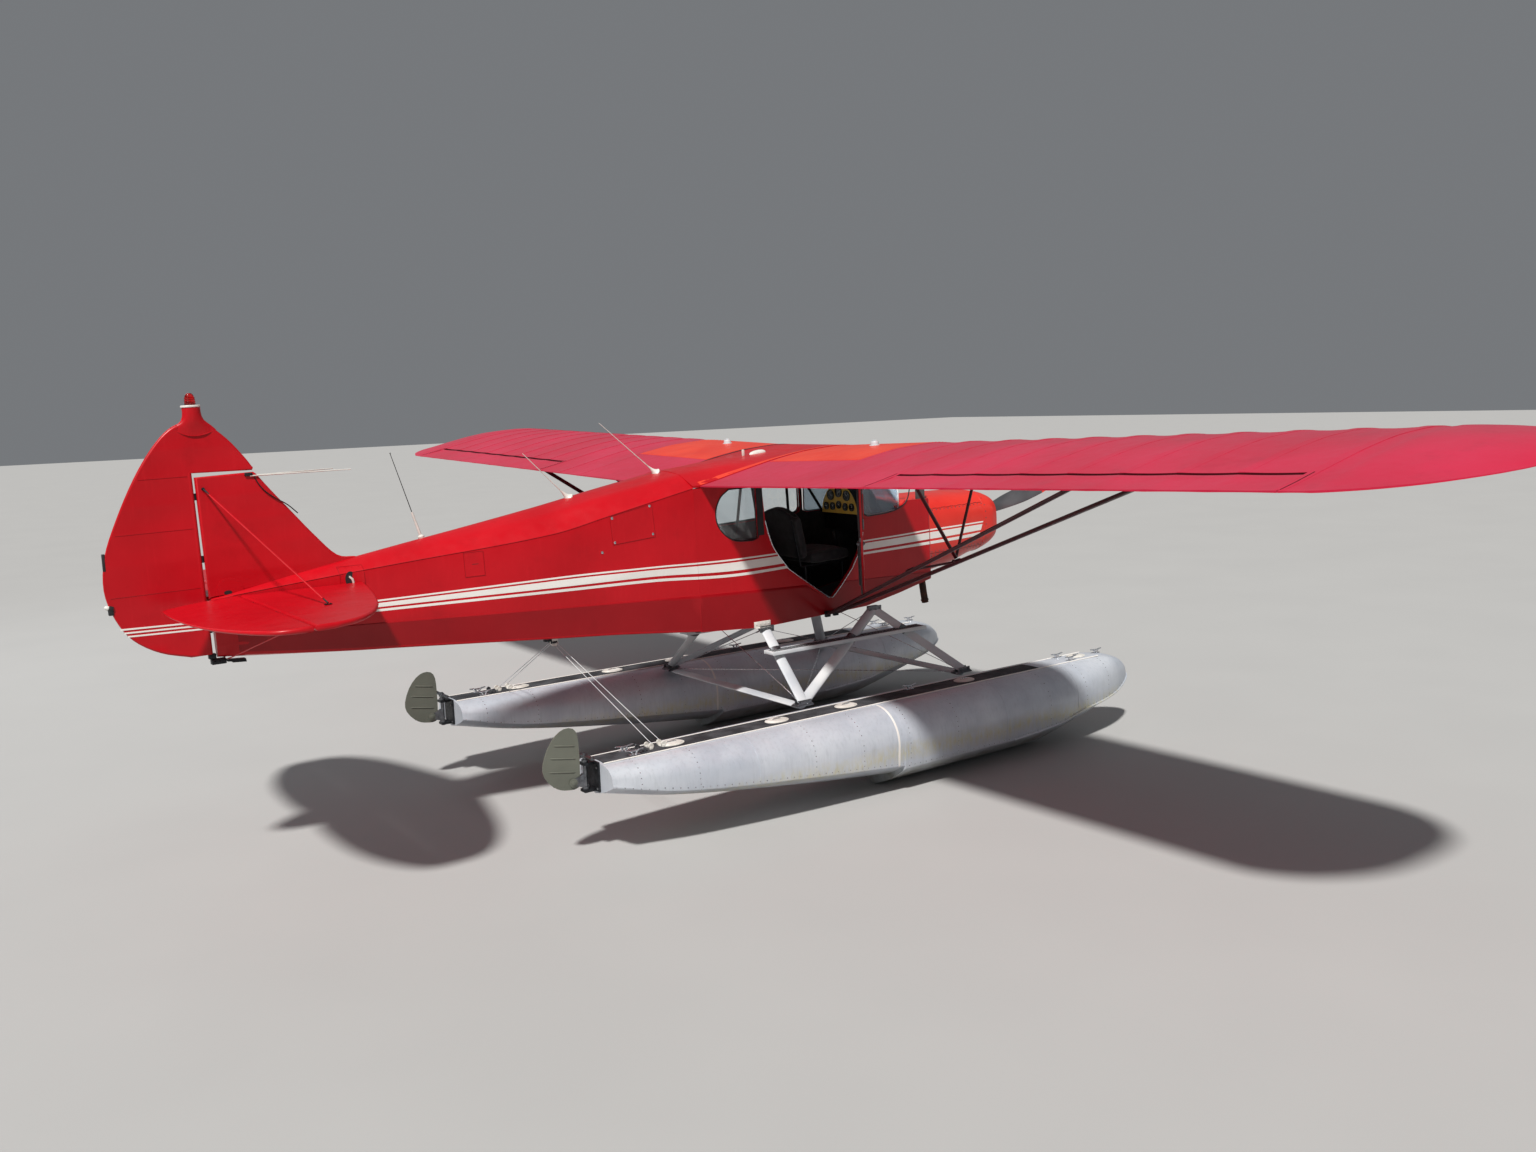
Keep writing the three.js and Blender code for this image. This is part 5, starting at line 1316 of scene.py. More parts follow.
def add_tail():
    def upright(u, v, w):
        return air(u, w, v)

    def level(side):
        return lambda u, v, w: air(u, side * v, TAIL_Z + w)

    half = taper(RUDDER_X, 520, 0.38)
    build = Build()
    framed_fabric(build, RUDDER, upright, half, [-752, -590, -357, -189, -24, 120, 266, 420, 566], 12)
    piece("rudder_fabric", build, RED, "rudder", ("rudder",), sharp=50)
    # Painted shade: dark lines over three ribs stand in for the shade at the tape edges.
    piece("rudder_rib_shade_lines", rib_edges(RUDDER, half, (-357, -24, 266)), RED_SHADE_AND_SEAMS, "rudder")

    build = Build()
    framed_fabric(build, FIN, upright, taper(FIN_EDGE, 900, 0.5), [-424, -290, -150, 0, 140, 263], 10)
    piece("fin_fabric", build, RED, replaces=("fin",), sharp=50)

    ribs = [330, 590, 850, 1100, 1300]
    elevators = Build()
    for name, side in SIDES:
        build = Build()
        framed_fabric(build, STAB, level(side), taper(STAB_EDGE, 760, 0.5), [62] + ribs + [1463], 10)
        piece(f"stabilizer_fabric_{name}", build, RED, replaces=(f"stabilizer_{name}",),
              sharp=50)
        framed_fabric(elevators, ELEVATOR, level(side), taper(ELEVATOR_X, 440, 0.38), [76] + ribs + [1471], 8)
    elevators.tube([air(ELEVATOR_X, -90, TAIL_Z), air(ELEVATOR_X, 90, TAIL_Z)], 10, 16)
    piece("elevator_fabric", elevators, RED, "elevators", ("elevators",), sharp=50)

    pins = Build()
    hinge_pins(pins, [air(RUDDER_X + 7, 0, z) for z in (150, -200, -600)], UP * 1000, AHEAD)
    for side in (-1, 1):
        for y in (330, 800, 1250):
            p = air(ELEVATOR_X + 7, side * y, TAIL_Z)
            pins.tube([p - Vector((0, 0.019, 0)), p + Vector((0, 0.019, 0))], 8, 12)
    piece("tail_hinges", pins, DARK_STEEL)

    lines = Build()
    for x0, z0, z1 in ((-5147, -531, -549), (-5132, -552, -569), (-5116, -573, -589)):
        line = [(x0 + (LINES_END_X - x0) * t, z0 + (z1 - z0) * t) for t in spread(0, 1, 10)]
        rows = [[(x, z + 4.5), (x, z - 4.5)] for x, z in line]
        for side in (-1, 1):
            lines.sheet(rows, lambda x, z, lift: air(x, side * (half(x) + lift), z), (0.9, -3))
    piece("rudder_lines", lines, WHITE, "rudder")

    lamp, socket = Build(), Build()
    place = facing(air(-5184, 0, -409), (-1, 0, 0.35))
    lamp.lathe([(13, 8), (13, 14), (10, 24), (4, 30), (0, 31)], place, 20)
    socket.lathe([(16, -14), (17, 0), (16, 8), (12, 9)], place, 20)
    socket.block(facing(air(-5182, 0, -432), (1, 0, 0)), (24, 30, 26), 4)
    piece("tail_lamp", lamp, IVORY, "rudder")
    piece("tail_lamp_socket", socket, BLACK, "rudder")
    weight = Build().block(facing(air(-5186, 0, -160), (1, 0, 0)), (14, 96, 16), 3)
    piece("rudder_tab_item", weight, BLACK, "rudder")


# Beacon pedestal. Columns: height over its foot, half length, half width, rise of the front and of the rear.
PEDESTAL = [(-60, 116, 20.5, 30, 52), (-36, 108, 22.5, 16, 34), (-12, 94, 26, 6, 16), (8, 76, 30, 2, 4),
            (26, 60, 33, 0, 0), (48, 51, 34.5, 0, 0), (72, 48, 35.5, 0, 0), (98, 48, 36, 0, 0)]
BEACON_Z = 545.0


def add_beacon():
    base = Build()
    rings = []
    for height, length, width, front, rear in PEDESTAL:
        ring = []
        for a in circle(40):
            c = math.cos(a)
            rise = (front if c > 0 else rear) * c * c
            ring.append(air(-4658 + length * c, width * math.sin(a), BEACON_Z + height + rise))
        rings.append(ring)
    base.loft(rings)
    base.hoop(rings[0], 2.4, 6)
    piece("beacon_pedestal", base, RED, "rudder", ("beacon",))
    place = facing(air(-4660, 0, BEACON_Z), UP)
    narrow = place @ Matrix.Diagonal((0.74, 1, 1, 1))
    ring = Build().lathe([(50, 97), (52, 99), (52, 106), (49, 109)], narrow, 40)
    piece("beacon_ring", ring, IVORY, "rudder")
    glass = Build().lathe([(31, 106), (32, 112), (31.5, 128), (29, 148), (24, 164), (15, 173), (0, 176)],
                          place @ Matrix.Diagonal((0.78, 0.9, 1, 1)), 32)
    for z in (118, 128, 138, 148):
        rib = [place @ Vector((0.0255 * math.cos(a), 0.0295 * math.sin(a), z / 1000)) for a in circle(24)]
        glass.hoop(rib, 1.6, 6)
    piece("beacon_lens", glass, RED_GLASS, "rudder")


add_tail()
add_beacon()


# Struts
def faired(build, a, b, chord, thick, steps=20):
    """A streamlined tube between two points, its chord along the flight line."""
    a, b = Vector(a), Vector(b)
    along = (b - a).normalized()
    flight = Vector((1, 0, 0))
    flight = (flight - along * flight.dot(along)).normalized()
    wide = along.cross(flight)
    section = [(math.cos(t), math.sin(t)) for t in circle(steps)]
    build.loft([[p + (flight * chord / 2 * c + wide * thick / 2 * s * (1 + 0.3 * c) / 1.04) / 1000
                 for c, s in section] for p in (a, b)])


STRUT_FOOT = (-555.0, 407.0, -1078.0)
STRUT_STEP = 36.0
STRUT_Y = 3220.0
FRONT_SPAR = -250.0
REAR_SPAR = -1120.0
JURY_AT = 0.41


def spar_point(side, x, y, drop):
    base = wing_z(x, y) + straight([(f[0] ** 2, f[1], f[2]) for f in FOIL], -x / CHORD)[1] * CHORD
    return air(x, side * y, base - 0.3 - drop)


def add_lift_struts():
    for name, side in SIDES:
        x0, y0, z0 = STRUT_FOOT
        fittings = Build()
        for step, spar, chord, thick, kind in ((STRUT_STEP, FRONT_SPAR, 66, 27, "front"),
                                               (-STRUT_STEP, REAR_SPAR, 50, 24, "rear")):
            build = Build()
            foot = air(x0 + step, side * y0, z0)
            top = spar_point(side, spar, STRUT_Y, 16)
            faired(build, foot.lerp(top, 0.012), foot.lerp(top, 0.992), chord, thick, 24)
            piece(f"{kind}_strut_tube_{name}", build, DARK_RED_AND_SHADE,
                  replaces=(f"{kind}_lift_strut_{name}",))
            faired(fittings, foot, foot.lerp(top, 0.02), chord * 0.5, thick * 0.55, 12)
            place = facing(foot.lerp(top, 0.003) - Vector((0, side * 0.004, 0)), (0, side, 0))
            fittings.block(place, (44, 44, 22), 4)
            fittings.stud(foot + Vector((0, side * 0.011, 0)), (0, side, 0), 11, 8, 6)
            fittings.block(facing(top + Vector((0, 0, 0.004)), (0, 0, 1), Vector((1, 0, 0))), (34, 60, 20), 3)
            fittings.tube([top - Vector((0.03, 0, 0.002)), top + Vector((0.03, 0, -0.002))], 6, 10)
        piece(f"strut_fittings_{name}", fittings, DARK_STEEL)
        jury, clamp = Build(), Build()
        foot, rear_foot = [air(x0 + step, side * y0, z0) for step in (STRUT_STEP, -STRUT_STEP)]
        top, rear_top = spar_point(side, FRONT_SPAR, STRUT_Y, 0), spar_point(side, REAR_SPAR, STRUT_Y, 0)
        hold, rear_hold = foot.lerp(top, JURY_AT), rear_foot.lerp(rear_top, JURY_AT)
        base = hold + Vector((0, side * 0.004, 0.027))
        faired(jury, base, spar_point(side, FRONT_SPAR, 1620, 3.6), 24, 14, 14)
        faired(jury, base, spar_point(side, REAR_SPAR, 1960, 9.6), 24, 14, 14)
        piece(f"jury_tubes_{name}", jury, DARK_RED_AND_SHADE, replaces=(f"jury_strut_{name}",))
        along = (top - foot).normalized()
        faired(clamp, hold - along * 0.03, hold + along * 0.03, 71, 32, 20)
        clamp.tube([hold + Vector((-0.028, 0, 0.012)), hold + Vector((0.03, 0, 0.012))], 5, 8)
        clamp.tube([hold, rear_hold], 8, 10)
        faired(clamp, rear_hold - along * 0.02, rear_hold + along * 0.02, 54, 28, 16)
        piece(f"jury_clamps_{name}", clamp, DARK_RED_AND_SHADE)


add_lift_struts()

# Floats. Columns: x, deck half width, widest half width and its depth, chine half width and depth, keel
# depth, drop of the deck.
AFTERBODY = [
    (FLOAT_STERN, 96, 214, 78, 222, 114, 190, 0), (-2400, 102, 268, 140, 272, 215, 300, 0),
    (-1500, 108, 322, 210, 318, 310, 430, 0), (-738, 110, 334, 240, 324, 385, 520, 0),
]
FOREBODY = [
    (-740, 110, 335, 240, 328, 405, 577, 0), (200, 110, 335, 240, 328, 405, 577, 0),
    (760, 106, 330, 230, 320, 378, 573, 0), (1080, 100, 304, 205, 300, 322, 515, 0),
    (1350, 90, 258, 175, 258, 304, 440, 0), (1560, 76, 202, 150, 206, 282, 366, 6),
    (1700, 58, 146, 140, 152, 256, 312, 36), (1810, 36, 92, 150, 98, 230, 268, 92),
    (1875, 16, 46, 176, 50, 212, 232, 150), (1898, 6, 18, 196, 20, 206, 214, 188),
]
CROWN = 6.0
STEP_X = -739.0


def body(x):
    return AFTERBODY if x < STEP_X else FOREBODY


def hull_half(x, rows):
    """Half of a float's section at x, from the keel up, as (y, height) pairs."""
    deck, widest, depth, chine, chine_z, keel, drop = table(rows, x)
    half = [(5, DECK_Z - keel)]
    for t in (0.3, 0.6, 0.85):
        rise = (keel - chine_z) * (t - 0.12 * math.sin(math.pi * t))
        half.append((5 + (chine - 5) * t, DECK_Z - keel + rise))
    half += [(chine, DECK_Z - chine_z), (chine + 3, DECK_Z - chine_z + 8)]
    for a in spread(math.pi / 2, 0, 13):
        half.append((deck + (widest - deck) * math.sin(a),
                     DECK_Z - drop - (depth - drop) * (1 - math.cos(a))))
    half.append((deck * 0.5, DECK_Z - drop + CROWN * 0.75))
    return half


def hull_ring(x, side, rows):
    half = hull_half(x, rows)
    drop = table(rows, x)[6]
    middle = side * FLOAT_Y
    return ([gear(x, middle + y, z) for y, z in half] + [gear(x, middle, DECK_Z - drop + CROWN)]
            + [gear(x, middle - y, z) for y, z in reversed(half)])


def frame_rivets(build, x, middle):
    """Rivets round the hull over one frame, from chine to deck on both sides."""
    half = hull_half(x, body(x))[4:-1]
    for way in (-1, 1):
        left = 0.0
        for (y0, z0), (y1, z1) in zip(half, half[1:]):
            length = math.hypot(y1 - y0, z1 - z0)
            n = Vector((0, way * (z1 - z0), -(y1 - y0))).normalized()
            while left < length:
                t = left / length
                build.stud(gear(x, middle + way * (y0 + (y1 - y0) * t), z0 + (z1 - z0) * t), n, 4.2, 1.5, 6)
                left += 34
            left -= length


def hull_band(build, x, wide, middle):
    """A flat band round the hull, from chine to deck on both sides."""
    ends = (-wide / 2, wide / 2)
    rings = [hull_half(x + e, body(x))[4:-1] for e in ends]
    for way in (-1, 1):
        build.slab(*[[[gear(x + e, middle + way * (y + reach), z + rise) for y, z in ring]
                      for e, ring in zip(ends, rings)] for reach, rise in ((1.4, 0.9), (-1.0, -1.0))])


def add_floats():
    bow = [200 + 1698 * math.sin(t * math.pi / 2) for t in spread(0, 1, 40)]
    for name, side in SIDES:
        build = Build()
        build.loft([hull_ring(x, side, AFTERBODY) for x in spread(FLOAT_STERN, -738, 26)])
        build.loft([hull_ring(x, side, FOREBODY) for x in [-740] + spread(-600, 100, 6) + bow])
        piece(f"float_hull_{name}", build, HULL, replaces=(f"float_{name}",), sharp=32)

        rivets, bands, tape, rails = Build(), Build(), Build(), Build()
        middle = side * FLOAT_Y
        for x in (-2700, -2320, -1900, -1480, -1090, -690, -250, 230, 690, 1120, 1440):
            frame_rivets(rivets, x, middle)
        for x in spread(FLOAT_STERN + 20, 1700, 92):
            half = hull_half(x, body(x))
            for y, z in (half[5], half[16]):
                for way in (-1, 1):
                    place = gear(x, middle + way * (y + 0.2), z + (10 if z < 400 else -3))
                    rivets.stud(place, (0, way, 0.25), 4.2, 1.5, 6)
        hull_band(tape, -790, 15, middle)
        for x, wide in ((1015, 22), (-1900, 14), (230, 14)):
            hull_band(bands, x, wide, middle)
        for way in (-1, 1):
            line = []
            for t in spread(0, math.pi / 2, 44):
                x = 300 + 1590 * math.sin(t)
                chine, chine_z = table(FOREBODY, x)[3:5]
                line.append(gear(x, middle + way * (chine + 4), DECK_Z - chine_z + 5))
            rails.tube(line, 7, 8)
        piece(f"chine_rails_{name}", rails, HULL)
        piece(f"float_rivets_{name}", rivets, BRIGHT)
        piece(f"float_bands_{name}", bands, HULL)
        piece(f"float_tape_{name}", tape, WHITE)


add_floats()

HATCHES = (-2346, -1546, -969, 135, 1335)
WALK_END = 830
# Cleats on the decks: x, y, and how far the deck has dropped there
CLEATS = ((1572, 0, 6), (-2640, -60, 0), (-2640, 60, 0), (1200, -70, 0), (1200, 70, 0), (-330, 70, 0))


def add_float_decks():
    for name, side in SIDES:
        middle = side * FLOAT_Y
        for kind, x0, x1, top, look in (("walkway", FLOAT_STERN + 20, WALK_END, 9.5, GRIT),
                                        ("bow_deck", WALK_END + 1, 1480, 8.0, HULL)):
            build = Build()
            outer, inner = [], []
            for x in spread(x0, x1, 30):
                ys = spread(-88, 88, 7)
                outer.append([gear(x, middle + y, DECK_Z + top - 3.0 * (y / 88) ** 2) for y in ys])
                inner.append([gear(x, middle + y, DECK_Z + 0.5) for y in ys])
            build.slab(outer, inner)
            piece(f"{kind}_{name}", build, look,
                  replaces=(f"float_deck_{name}",) if kind == "walkway" else ())
        edges = Build()
        for y in (-94, 94):
            for x0, x1 in ((FLOAT_STERN + 14, -600), (-596, 1100), (1104, 1486)):
                edges.tube([gear(x0, middle + y, DECK_Z + 4.5), gear(x1, middle + y, DECK_Z + 4.5)], 4.6, 8)
        piece(f"deck_edges_{name}", edges, WHITE)
        covers, grips, blocks = Build(), Build(), Build()
        for x in HATCHES:
            place = Matrix.Translation(gear(x, middle, DECK_Z + 9)) @ Matrix.Diagonal((1.25, 0.85, 1, 1))
            covers.lathe([(70, 0), (69, 3.5), (63, 5), (60, 5), (58, 8.5), (50, 10), (0, 10.5)], place, 36)
            handle = ((-35, 17), (-25, 24), (25, 24), (35, 17))
            grips.tube([gear(x + dx, middle, DECK_Z + dz) for dx, dz in handle], 3, 8)
        piece(f"hatch_covers_{name}", covers, IVORY)
        for x, y, drop in CLEATS:
            base = gear(x, middle + y, DECK_Z + 4 - drop)
            grips.block(moved(base, 0, 0, 4), (70, 26, 8), 2)
            for way in (-1, 1):
                grips.tube([base + Vector((way * 0.012, 0, 0.004)), base + Vector((way * 0.016, 0, 0.022)),
                            base + Vector((way * 0.03, 0, 0.03)), base + Vector((way * 0.062, 0, 0.034))],
                           [8, 7, 6, 4], 10)
            grips.tube([base + Vector((-0.02, 0, 0.027)), base + Vector((0.02, 0, 0.027))], 6, 10)
        piece(f"cleats_{name}", grips, BRIGHT)
        for y in (-26, 26):
            for x in (-2505, -2418):
                base = gear(x, middle + y, DECK_Z + 26)
                blocks.lathe([(17, -6), (17, -3), (12, 0), (17, 3), (17, 6)], facing(base, (0, 1, 0)), 20)
                blocks.block(moved(base, 0, 0, -13), (22, 20, 22), 3)
        piece(f"deck_pulleys_{name}", blocks, IVORY)


add_float_decks()


FRONT_FOOT_X = 348.0
REAR_FOOT_X = -1150.0
BOARD_ENDS = (-1208.0, 223.0)
BOARD_Y = 548.0
BOARD_Z = ROOT_Z - 1265.0


def add_float_struts():
    front_top, rear_top = air(-128, 372, -1110), air(-1130, 372, -1106)
    front_foot, rear_foot = gear(FRONT_FOOT_X, 850, DECK_Z + 22), gear(REAR_FOOT_X, 850, DECK_Z + 22)
    for name, side in SIDES:
        tops = [mirrored(v, side) for v in (front_top, rear_top)]
        feet = [mirrored(v, side) for v in (front_foot, rear_foot)]
        tubes, fit, shoe, clamps = Build(), Build(), Build(), Build()
        legs = ((tops[0], feet[0], 84, 36), (tops[1], feet[1], 84, 36), (tops[0], feet[1], 72, 34))
        for top, foot, chord, thick in legs:
            faired(tubes, top, foot, chord, thick, 24)
            p = top.lerp(foot, (top.z * 1000 - BOARD_Z) / (top.z - foot.z) / 1000)
            way = (foot - top).normalized() * 0.028
            faired(clamps, p - way, p + way, chord + 4, 41, 20)
        piece(f"float_strut_tubes_{name}", tubes, STRUT_GREY,
              replaces=(f"float_struts_{name}",))
        for p in feet:
            fit.block(moved(p, 0, 0, -16), (138, 60, 12), 3)
            for y in (20, -20):
                fit.block(moved(p, 0, y, 4), (110, 8, 34), 3)
            for dx in (-0.034, 0.034):
                fit.tube([p + Vector((dx, -0.03, 0.008)), p + Vector((dx, 0.03, 0.008))], 7, 8)
            for dx, dy in ((-0.058, -0.02), (-0.058, 0.02), (0.058, -0.02), (0.058, 0.02)):
                fit.stud(p + Vector((dx, dy, -0.01)), (0, 0, 1), 7, 6, 6)
        for p in tops:
            fit.block(moved(p, 0, 0, 8), (92, 44, 34), 6)
            fit.block(moved(p, 0, side * 26, 4), (120, 6, 46), 2)
            for dx in (-0.04, 0, 0.04):
                fit.stud(p + Vector((dx, side * 0.029, 0.006)), (0, side, 0), 7, 6, 6)
        piece(f"float_fittings_{name}", fit, STEEL)
        base = air(-1161, side * 388, -1066)
        shoe.block(facing(base, (0, side, 0), Vector((1, 0, 0))), (44, 138, 9), 2)
        shoe.block(moved(base, 0, 0, -22), (128, 26, 8), 2)
        for dx in (-0.052, -0.018, 0.018, 0.052):
            shoe.stud(base + Vector((dx, side * 0.0045, 0.004)), (0, side, 0), 6, 4, 6)
        piece(f"strut_shoe_{name}", shoe, IVORY)
        board, tread = Build(), Build()
        middle = gear(sum(BOARD_ENDS) / 2, side * BOARD_Y, BOARD_Z)
        length = BOARD_ENDS[1] - BOARD_ENDS[0]
        board.block(moved(middle, 0, 0, 0), (length, 104, 22), 5)
        for y in (-53, 53):
            board.block(moved(middle, 0, y, 0), (length, 4, 26), 1.5)
        piece(f"step_board_{name}", board, STRUT_GREY)
        for y in (-32, -16, 0, 16, 32):
            tread.block(moved(middle, 0, y, 11.5), (length - 40, 7, 2.4), 0.8)
        piece(f"board_tread_{name}", tread, GRIT)
        piece(f"board_clamps_{name}", clamps, STEEL)


def add_spreaders():
    for name, x in (("front", FRONT_FOOT_X), ("rear", REAR_FOOT_X)):
        build, ends = Build(), Build()
        faired(build, gear(x, -823.7, DECK_Z - 10), gear(x, 823.7, DECK_Z - 10), 84, 34, 24)
        piece(f"spreader_{name}", build, STRUT_GREY, replaces=(f"spreader_bar_{name}",))
        for side in (-1, 1):
            faired(ends, gear(x, side * 770, DECK_Z - 10), gear(x, side * 822, DECK_Z - 10), 88, 38, 20)
            for dx in (-22, 22):
                ends.stud(gear(x + dx, side * 796, DECK_Z + 7), (0, 0, 1), 6, 5, 6)
        piece(f"spreader_ends_{name}", ends, STEEL)
    wires = Build()
    for side in (-1, 1):
        front_top, rear_top = air(-128, side * 372, -1110), air(-1130, side * 372, -1106)
        front, rear = [gear(x, -side * 826, DECK_Z + 14) for x in (FRONT_FOOT_X, REAR_FOOT_X)]
        for a, b in ((front_top, front), (rear_top, rear)):
            wires.tube([a, b], 2.6, 6)
            way = (b - a).normalized()
            for t in (0.06, 0.94):
                p = a.lerp(b, t)
                wires.tube([p + way * d for d in (-0.04, -0.03, 0.03, 0.04)], [2.6, 5.5, 5.5, 2.6], 8)
        wires.tube([rear_top, gear(FRONT_FOOT_X, side * 826, DECK_Z + 14)], 2.2, 6)
        z = DECK_Z + 4 + 2 * side
        wires.tube([gear(FRONT_FOOT_X, side * 826, z), gear(REAR_FOOT_X, -side * 826, z)], 2.4, 6)
    piece("float_wires", wires, BRIGHT)


add_float_struts()
add_spreaders()


# Cabin: liners, door, windows, windscreen, panel, seats and the tubes behind the glass
def prism(build, points, y0, y1, place, soft=2.5):
    """A plate between two depths with its edges eased, from a closed outline."""
    way = 1 if y1 > y0 else -1
    small = inset(points, soft)
    rings = [(small, y0), (points, y0 + way * soft), (points, y1 - way * soft), (small, y1)]
    return build.loft([[place(x, y, z) for x, z in shape] for shape, y in rings])


def skin_plate(build, side, box, lift=1.4, counts=(6, 5)):
    """A thin plate on the fuselage's side, over a box of (x0, x1, z0, z1)."""
    x0, x1, z0, z1 = box
    build.sheet(grid(spread(x0, x1, counts[0]), spread(z0, z1, counts[1])), on_side(side), (lift, -1.5))


def through(points, y0, y1, place):
    return Build().loft([[place(x, y, z) for x, z in points] for y in (y0, y1)])


def add_liners():
    for name, side in SIDES:
        build = Build()
        rings = []
        for x in spread(CABIN_REAR_X + 20, FIREWALL_X - 12, 30):
            half, top, low = straight(SIDE_WALL, x)
            y = half - WALL
            corners = ((y - 0.6, top - 4), (y - 4, top - 4), (y - 4, low + 30), (y - 0.6, low + 30))
            rings.append([air(x, side * inward, z) for inward, z in corners])
        build.loft(rings)
        obj = piece(f"cabin_liner_{name}", build, LINER)
        holes = [[(240, -380), (FIREWALL_X, -388), (FIREWALL_X, 0), (240, 0)], inset(REAR_WINDOW, -5),
                 inset(WINDSHIELD_SIDE, -5), inset(DOOR if side < 0 else LEFT_WINDOW, -10)]
        carve(obj, [through(points, side * 330, side * 400, air) for points in holes])
    mat = Build()
    rings = []
    for x in spread(CABIN_REAR_X + 20, FIREWALL_X - 15, 20):
        half, _, low = straight(SIDE_WALL, x)
        y = half - WALL - 6
        rings.append([air(x, -y, low + 22.5), air(x, y, low + 22.5), air(x, y, low + 26),
                      air(x, -y, low + 26)])
    mat.loft(rings)
    piece("floor_mat", mat, LINER)
    hem = Build()
    headliner = []
    for x in spread(-190, CABIN_REAR_X + 20, 26):
        edge = min(low_z(x, ROOT_Y), top_z(x, ROOT_Y) - 12) - 1.5
        row = [air(x, y, edge - 5 * math.sin(math.pi * (y + 340) / 680)) for y in spread(-340, 340, 9)]
        headliner.append(row + [p + Vector((0, 0, 0.004)) for p in reversed(row)])
    hem.loft(headliner)
    piece("headliner", hem, LINER)


DOOR_FACE = -HALF_WIDTH
DOOR_BACK = -HALF_WIDTH + WALL
HINGE_HEIGHTS = (-200, -460)


def hinge_leaf(build, place, outward, xs, out, z, lift):
    """Half of a hinge: its knuckle over or under z, a leaf beside it and four screws."""
    hinge_x, hinge_y = DOOR_HINGE
    build.tube([air(hinge_x, hinge_y, z + lift * 0.3), air(hinge_x, hinge_y, z + lift * 37)], 6.2, 14)
    build.block(facing(place(xs[0], hinge_y + 2.4, z + lift * 19), outward), (38, 37, 5), 1.2)
    for x in xs[1:]:
        for dz in (9, 29):
            build.stud(place(x, hinge_y - out, z + lift * dz), outward, 3.6, 2, 8)


def add_door():
    outward = hung(0, -1, 0) - hung(0, 0, 0)
    shell = piece("door_skin", prism(Build(), DOOR, DOOR_FACE, DOOR_FACE + 15, hung), RED, "cabin_door",
                  ("cabin_door",))
    lining = piece("door_lining", prism(Build(), inset(DOOR, 6), DOOR_FACE + 15.3, DOOR_BACK, hung, 4), SEAT,
                   "cabin_door")
    for obj in (shell, lining):
        carve(obj, [through(DOOR_WINDOW, -420, -340, hung)])
    trim = Build()
    for y in (DOOR_FACE - 0.5, DOOR_BACK + 0.5):
        trim.hoop([hung(x, y, z) for x, z in inset(DOOR_WINDOW, 2)], 5, 8)
    trim.hoop([hung(x, DOOR_BACK, z) for x, z in inset(DOOR, 34)], 2.2, 6)
    piece("door_trim", trim, BLACK, "cabin_door")
    shape = [(-850, -560), (-420, -560), (-430, -760), (-500, -850), (-590, -850), (-760, -690)]
    pocket = prism(Build(), outline([shape]), DOOR_BACK, DOOR_BACK + 14, hung, 6)
    piece("door_pocket", pocket, SEAT, "cabin_door")
    hardware, fixed = Build(), Build()
    for y, normal in ((DOOR_FACE - 9, outward), (DOOR_BACK + 12, -outward)):
        base = hung(-985, y, -505)
        hardware.lathe([(17, -12), (17, -6), (9, -4), (8, 3)], facing(base, normal), 20)
        hardware.tube([base, hung(-955, y, -506), hung(-890, y, -510)], [7, 6.5, 4.5], 10)
    hardware.tube([hung(-1082, DOOR_FACE + 18, -452), hung(-1070, DOOR_FACE + 18, -480)], 6, 8)
    for z in HINGE_HEIGHTS:
        hinge_leaf(hardware, hung, outward, (-227, -236, -218), 0, z, -1)
        hinge_leaf(fixed, air, Vector((0, -1, 0)), (-184, -192, -174), 0.1, z, 1)
    piece("door_hardware", hardware, STEEL, "cabin_door")
    piece("door_hinge_leaves", fixed, STEEL)
    edge = [air(x, -HALF_WIDTH - 1.5, z) for x, z in inset(DOOR, -8) if z < -330]
    piece("doorway_edge", Build().tube(edge, 4.5, 8), BRIGHT)


def add_windows():
    for name, side in SIDES:
        trims = Build()
        rings = [inset(REAR_WINDOW, 3)] + ([inset(LEFT_WINDOW, 3)] if side > 0 else [])
        for points in rings:
            for lift in (0.8, -WALL - 0.8):
                trims.hoop([on_side(side)(x, z, lift) for x, z in points if z < -60], 4.5, 8)
        points = [p for p in inset(WINDSHIELD_SIDE, 2) if -410 <= p[1] <= -110 and p[0] > -190]
        trims.tube([on_side(side)(x, z, 0.8) for x, z in points], 4.5, 8)
        if side < 0:
            skin_plate(trims, side, (-1151, -1101, -97, -440), 1.2, (3, 8))
        piece(f"window_trim_{name}", trims, BLACK)


def add_cabin_tubes():
    posts = Build()
    for side in (-1, 1):
        runs = [((-255, -85), (-40, -407)), ((-1124, -80), (-1124, -500))]
        if side > 0:
            runs += [((-760, -75), (-840, -520)), ((-684, -75), (-622, -520)), ((-347, -75), (-334, -520))]
        for (x0, z0), (x1, z1) in runs:
            y = 300 if x0 > -300 else 346
            posts.tube([air(x0, side * y, z0), air(x1, side * y, z1)], 11, 12)
    posts.tube([air(-700, -346, -92), air(-700, 346, -92)], 11, 12)
    posts.tube([air(-60, -280, -88), air(-700, 300, -92)], 9, 10)
    piece("cabin_tubes", posts, BLACK)


NOSE_DECK_Z = -372.0
NOSE_DECK_RISE = 54.0
# Foot of the windscreen from the middle to one side, its height given only where it stands on the side wall
SCREEN_FOOT = spline([
    (272, 0, 0), (266, 110, 0), (250, 210, 0), (224, 290, 0), (182, 345, -379), (110, 357, -394),
    (30, 359, -405), (-70, 359, -408), (-140, 358, -408), (-178, 356, -394)], 6)


def wall_half(x):
    return straight(SIDE_WALL, x)[0] - WALL - 0.3


def nose_deck_top(x, y):
    c = min(1.0, abs(y) / wall_half(x))
    return NOSE_DECK_Z + wall_half(x) / wall_half(FIREWALL_X) * NOSE_DECK_RISE * math.sqrt(1 - c * c)


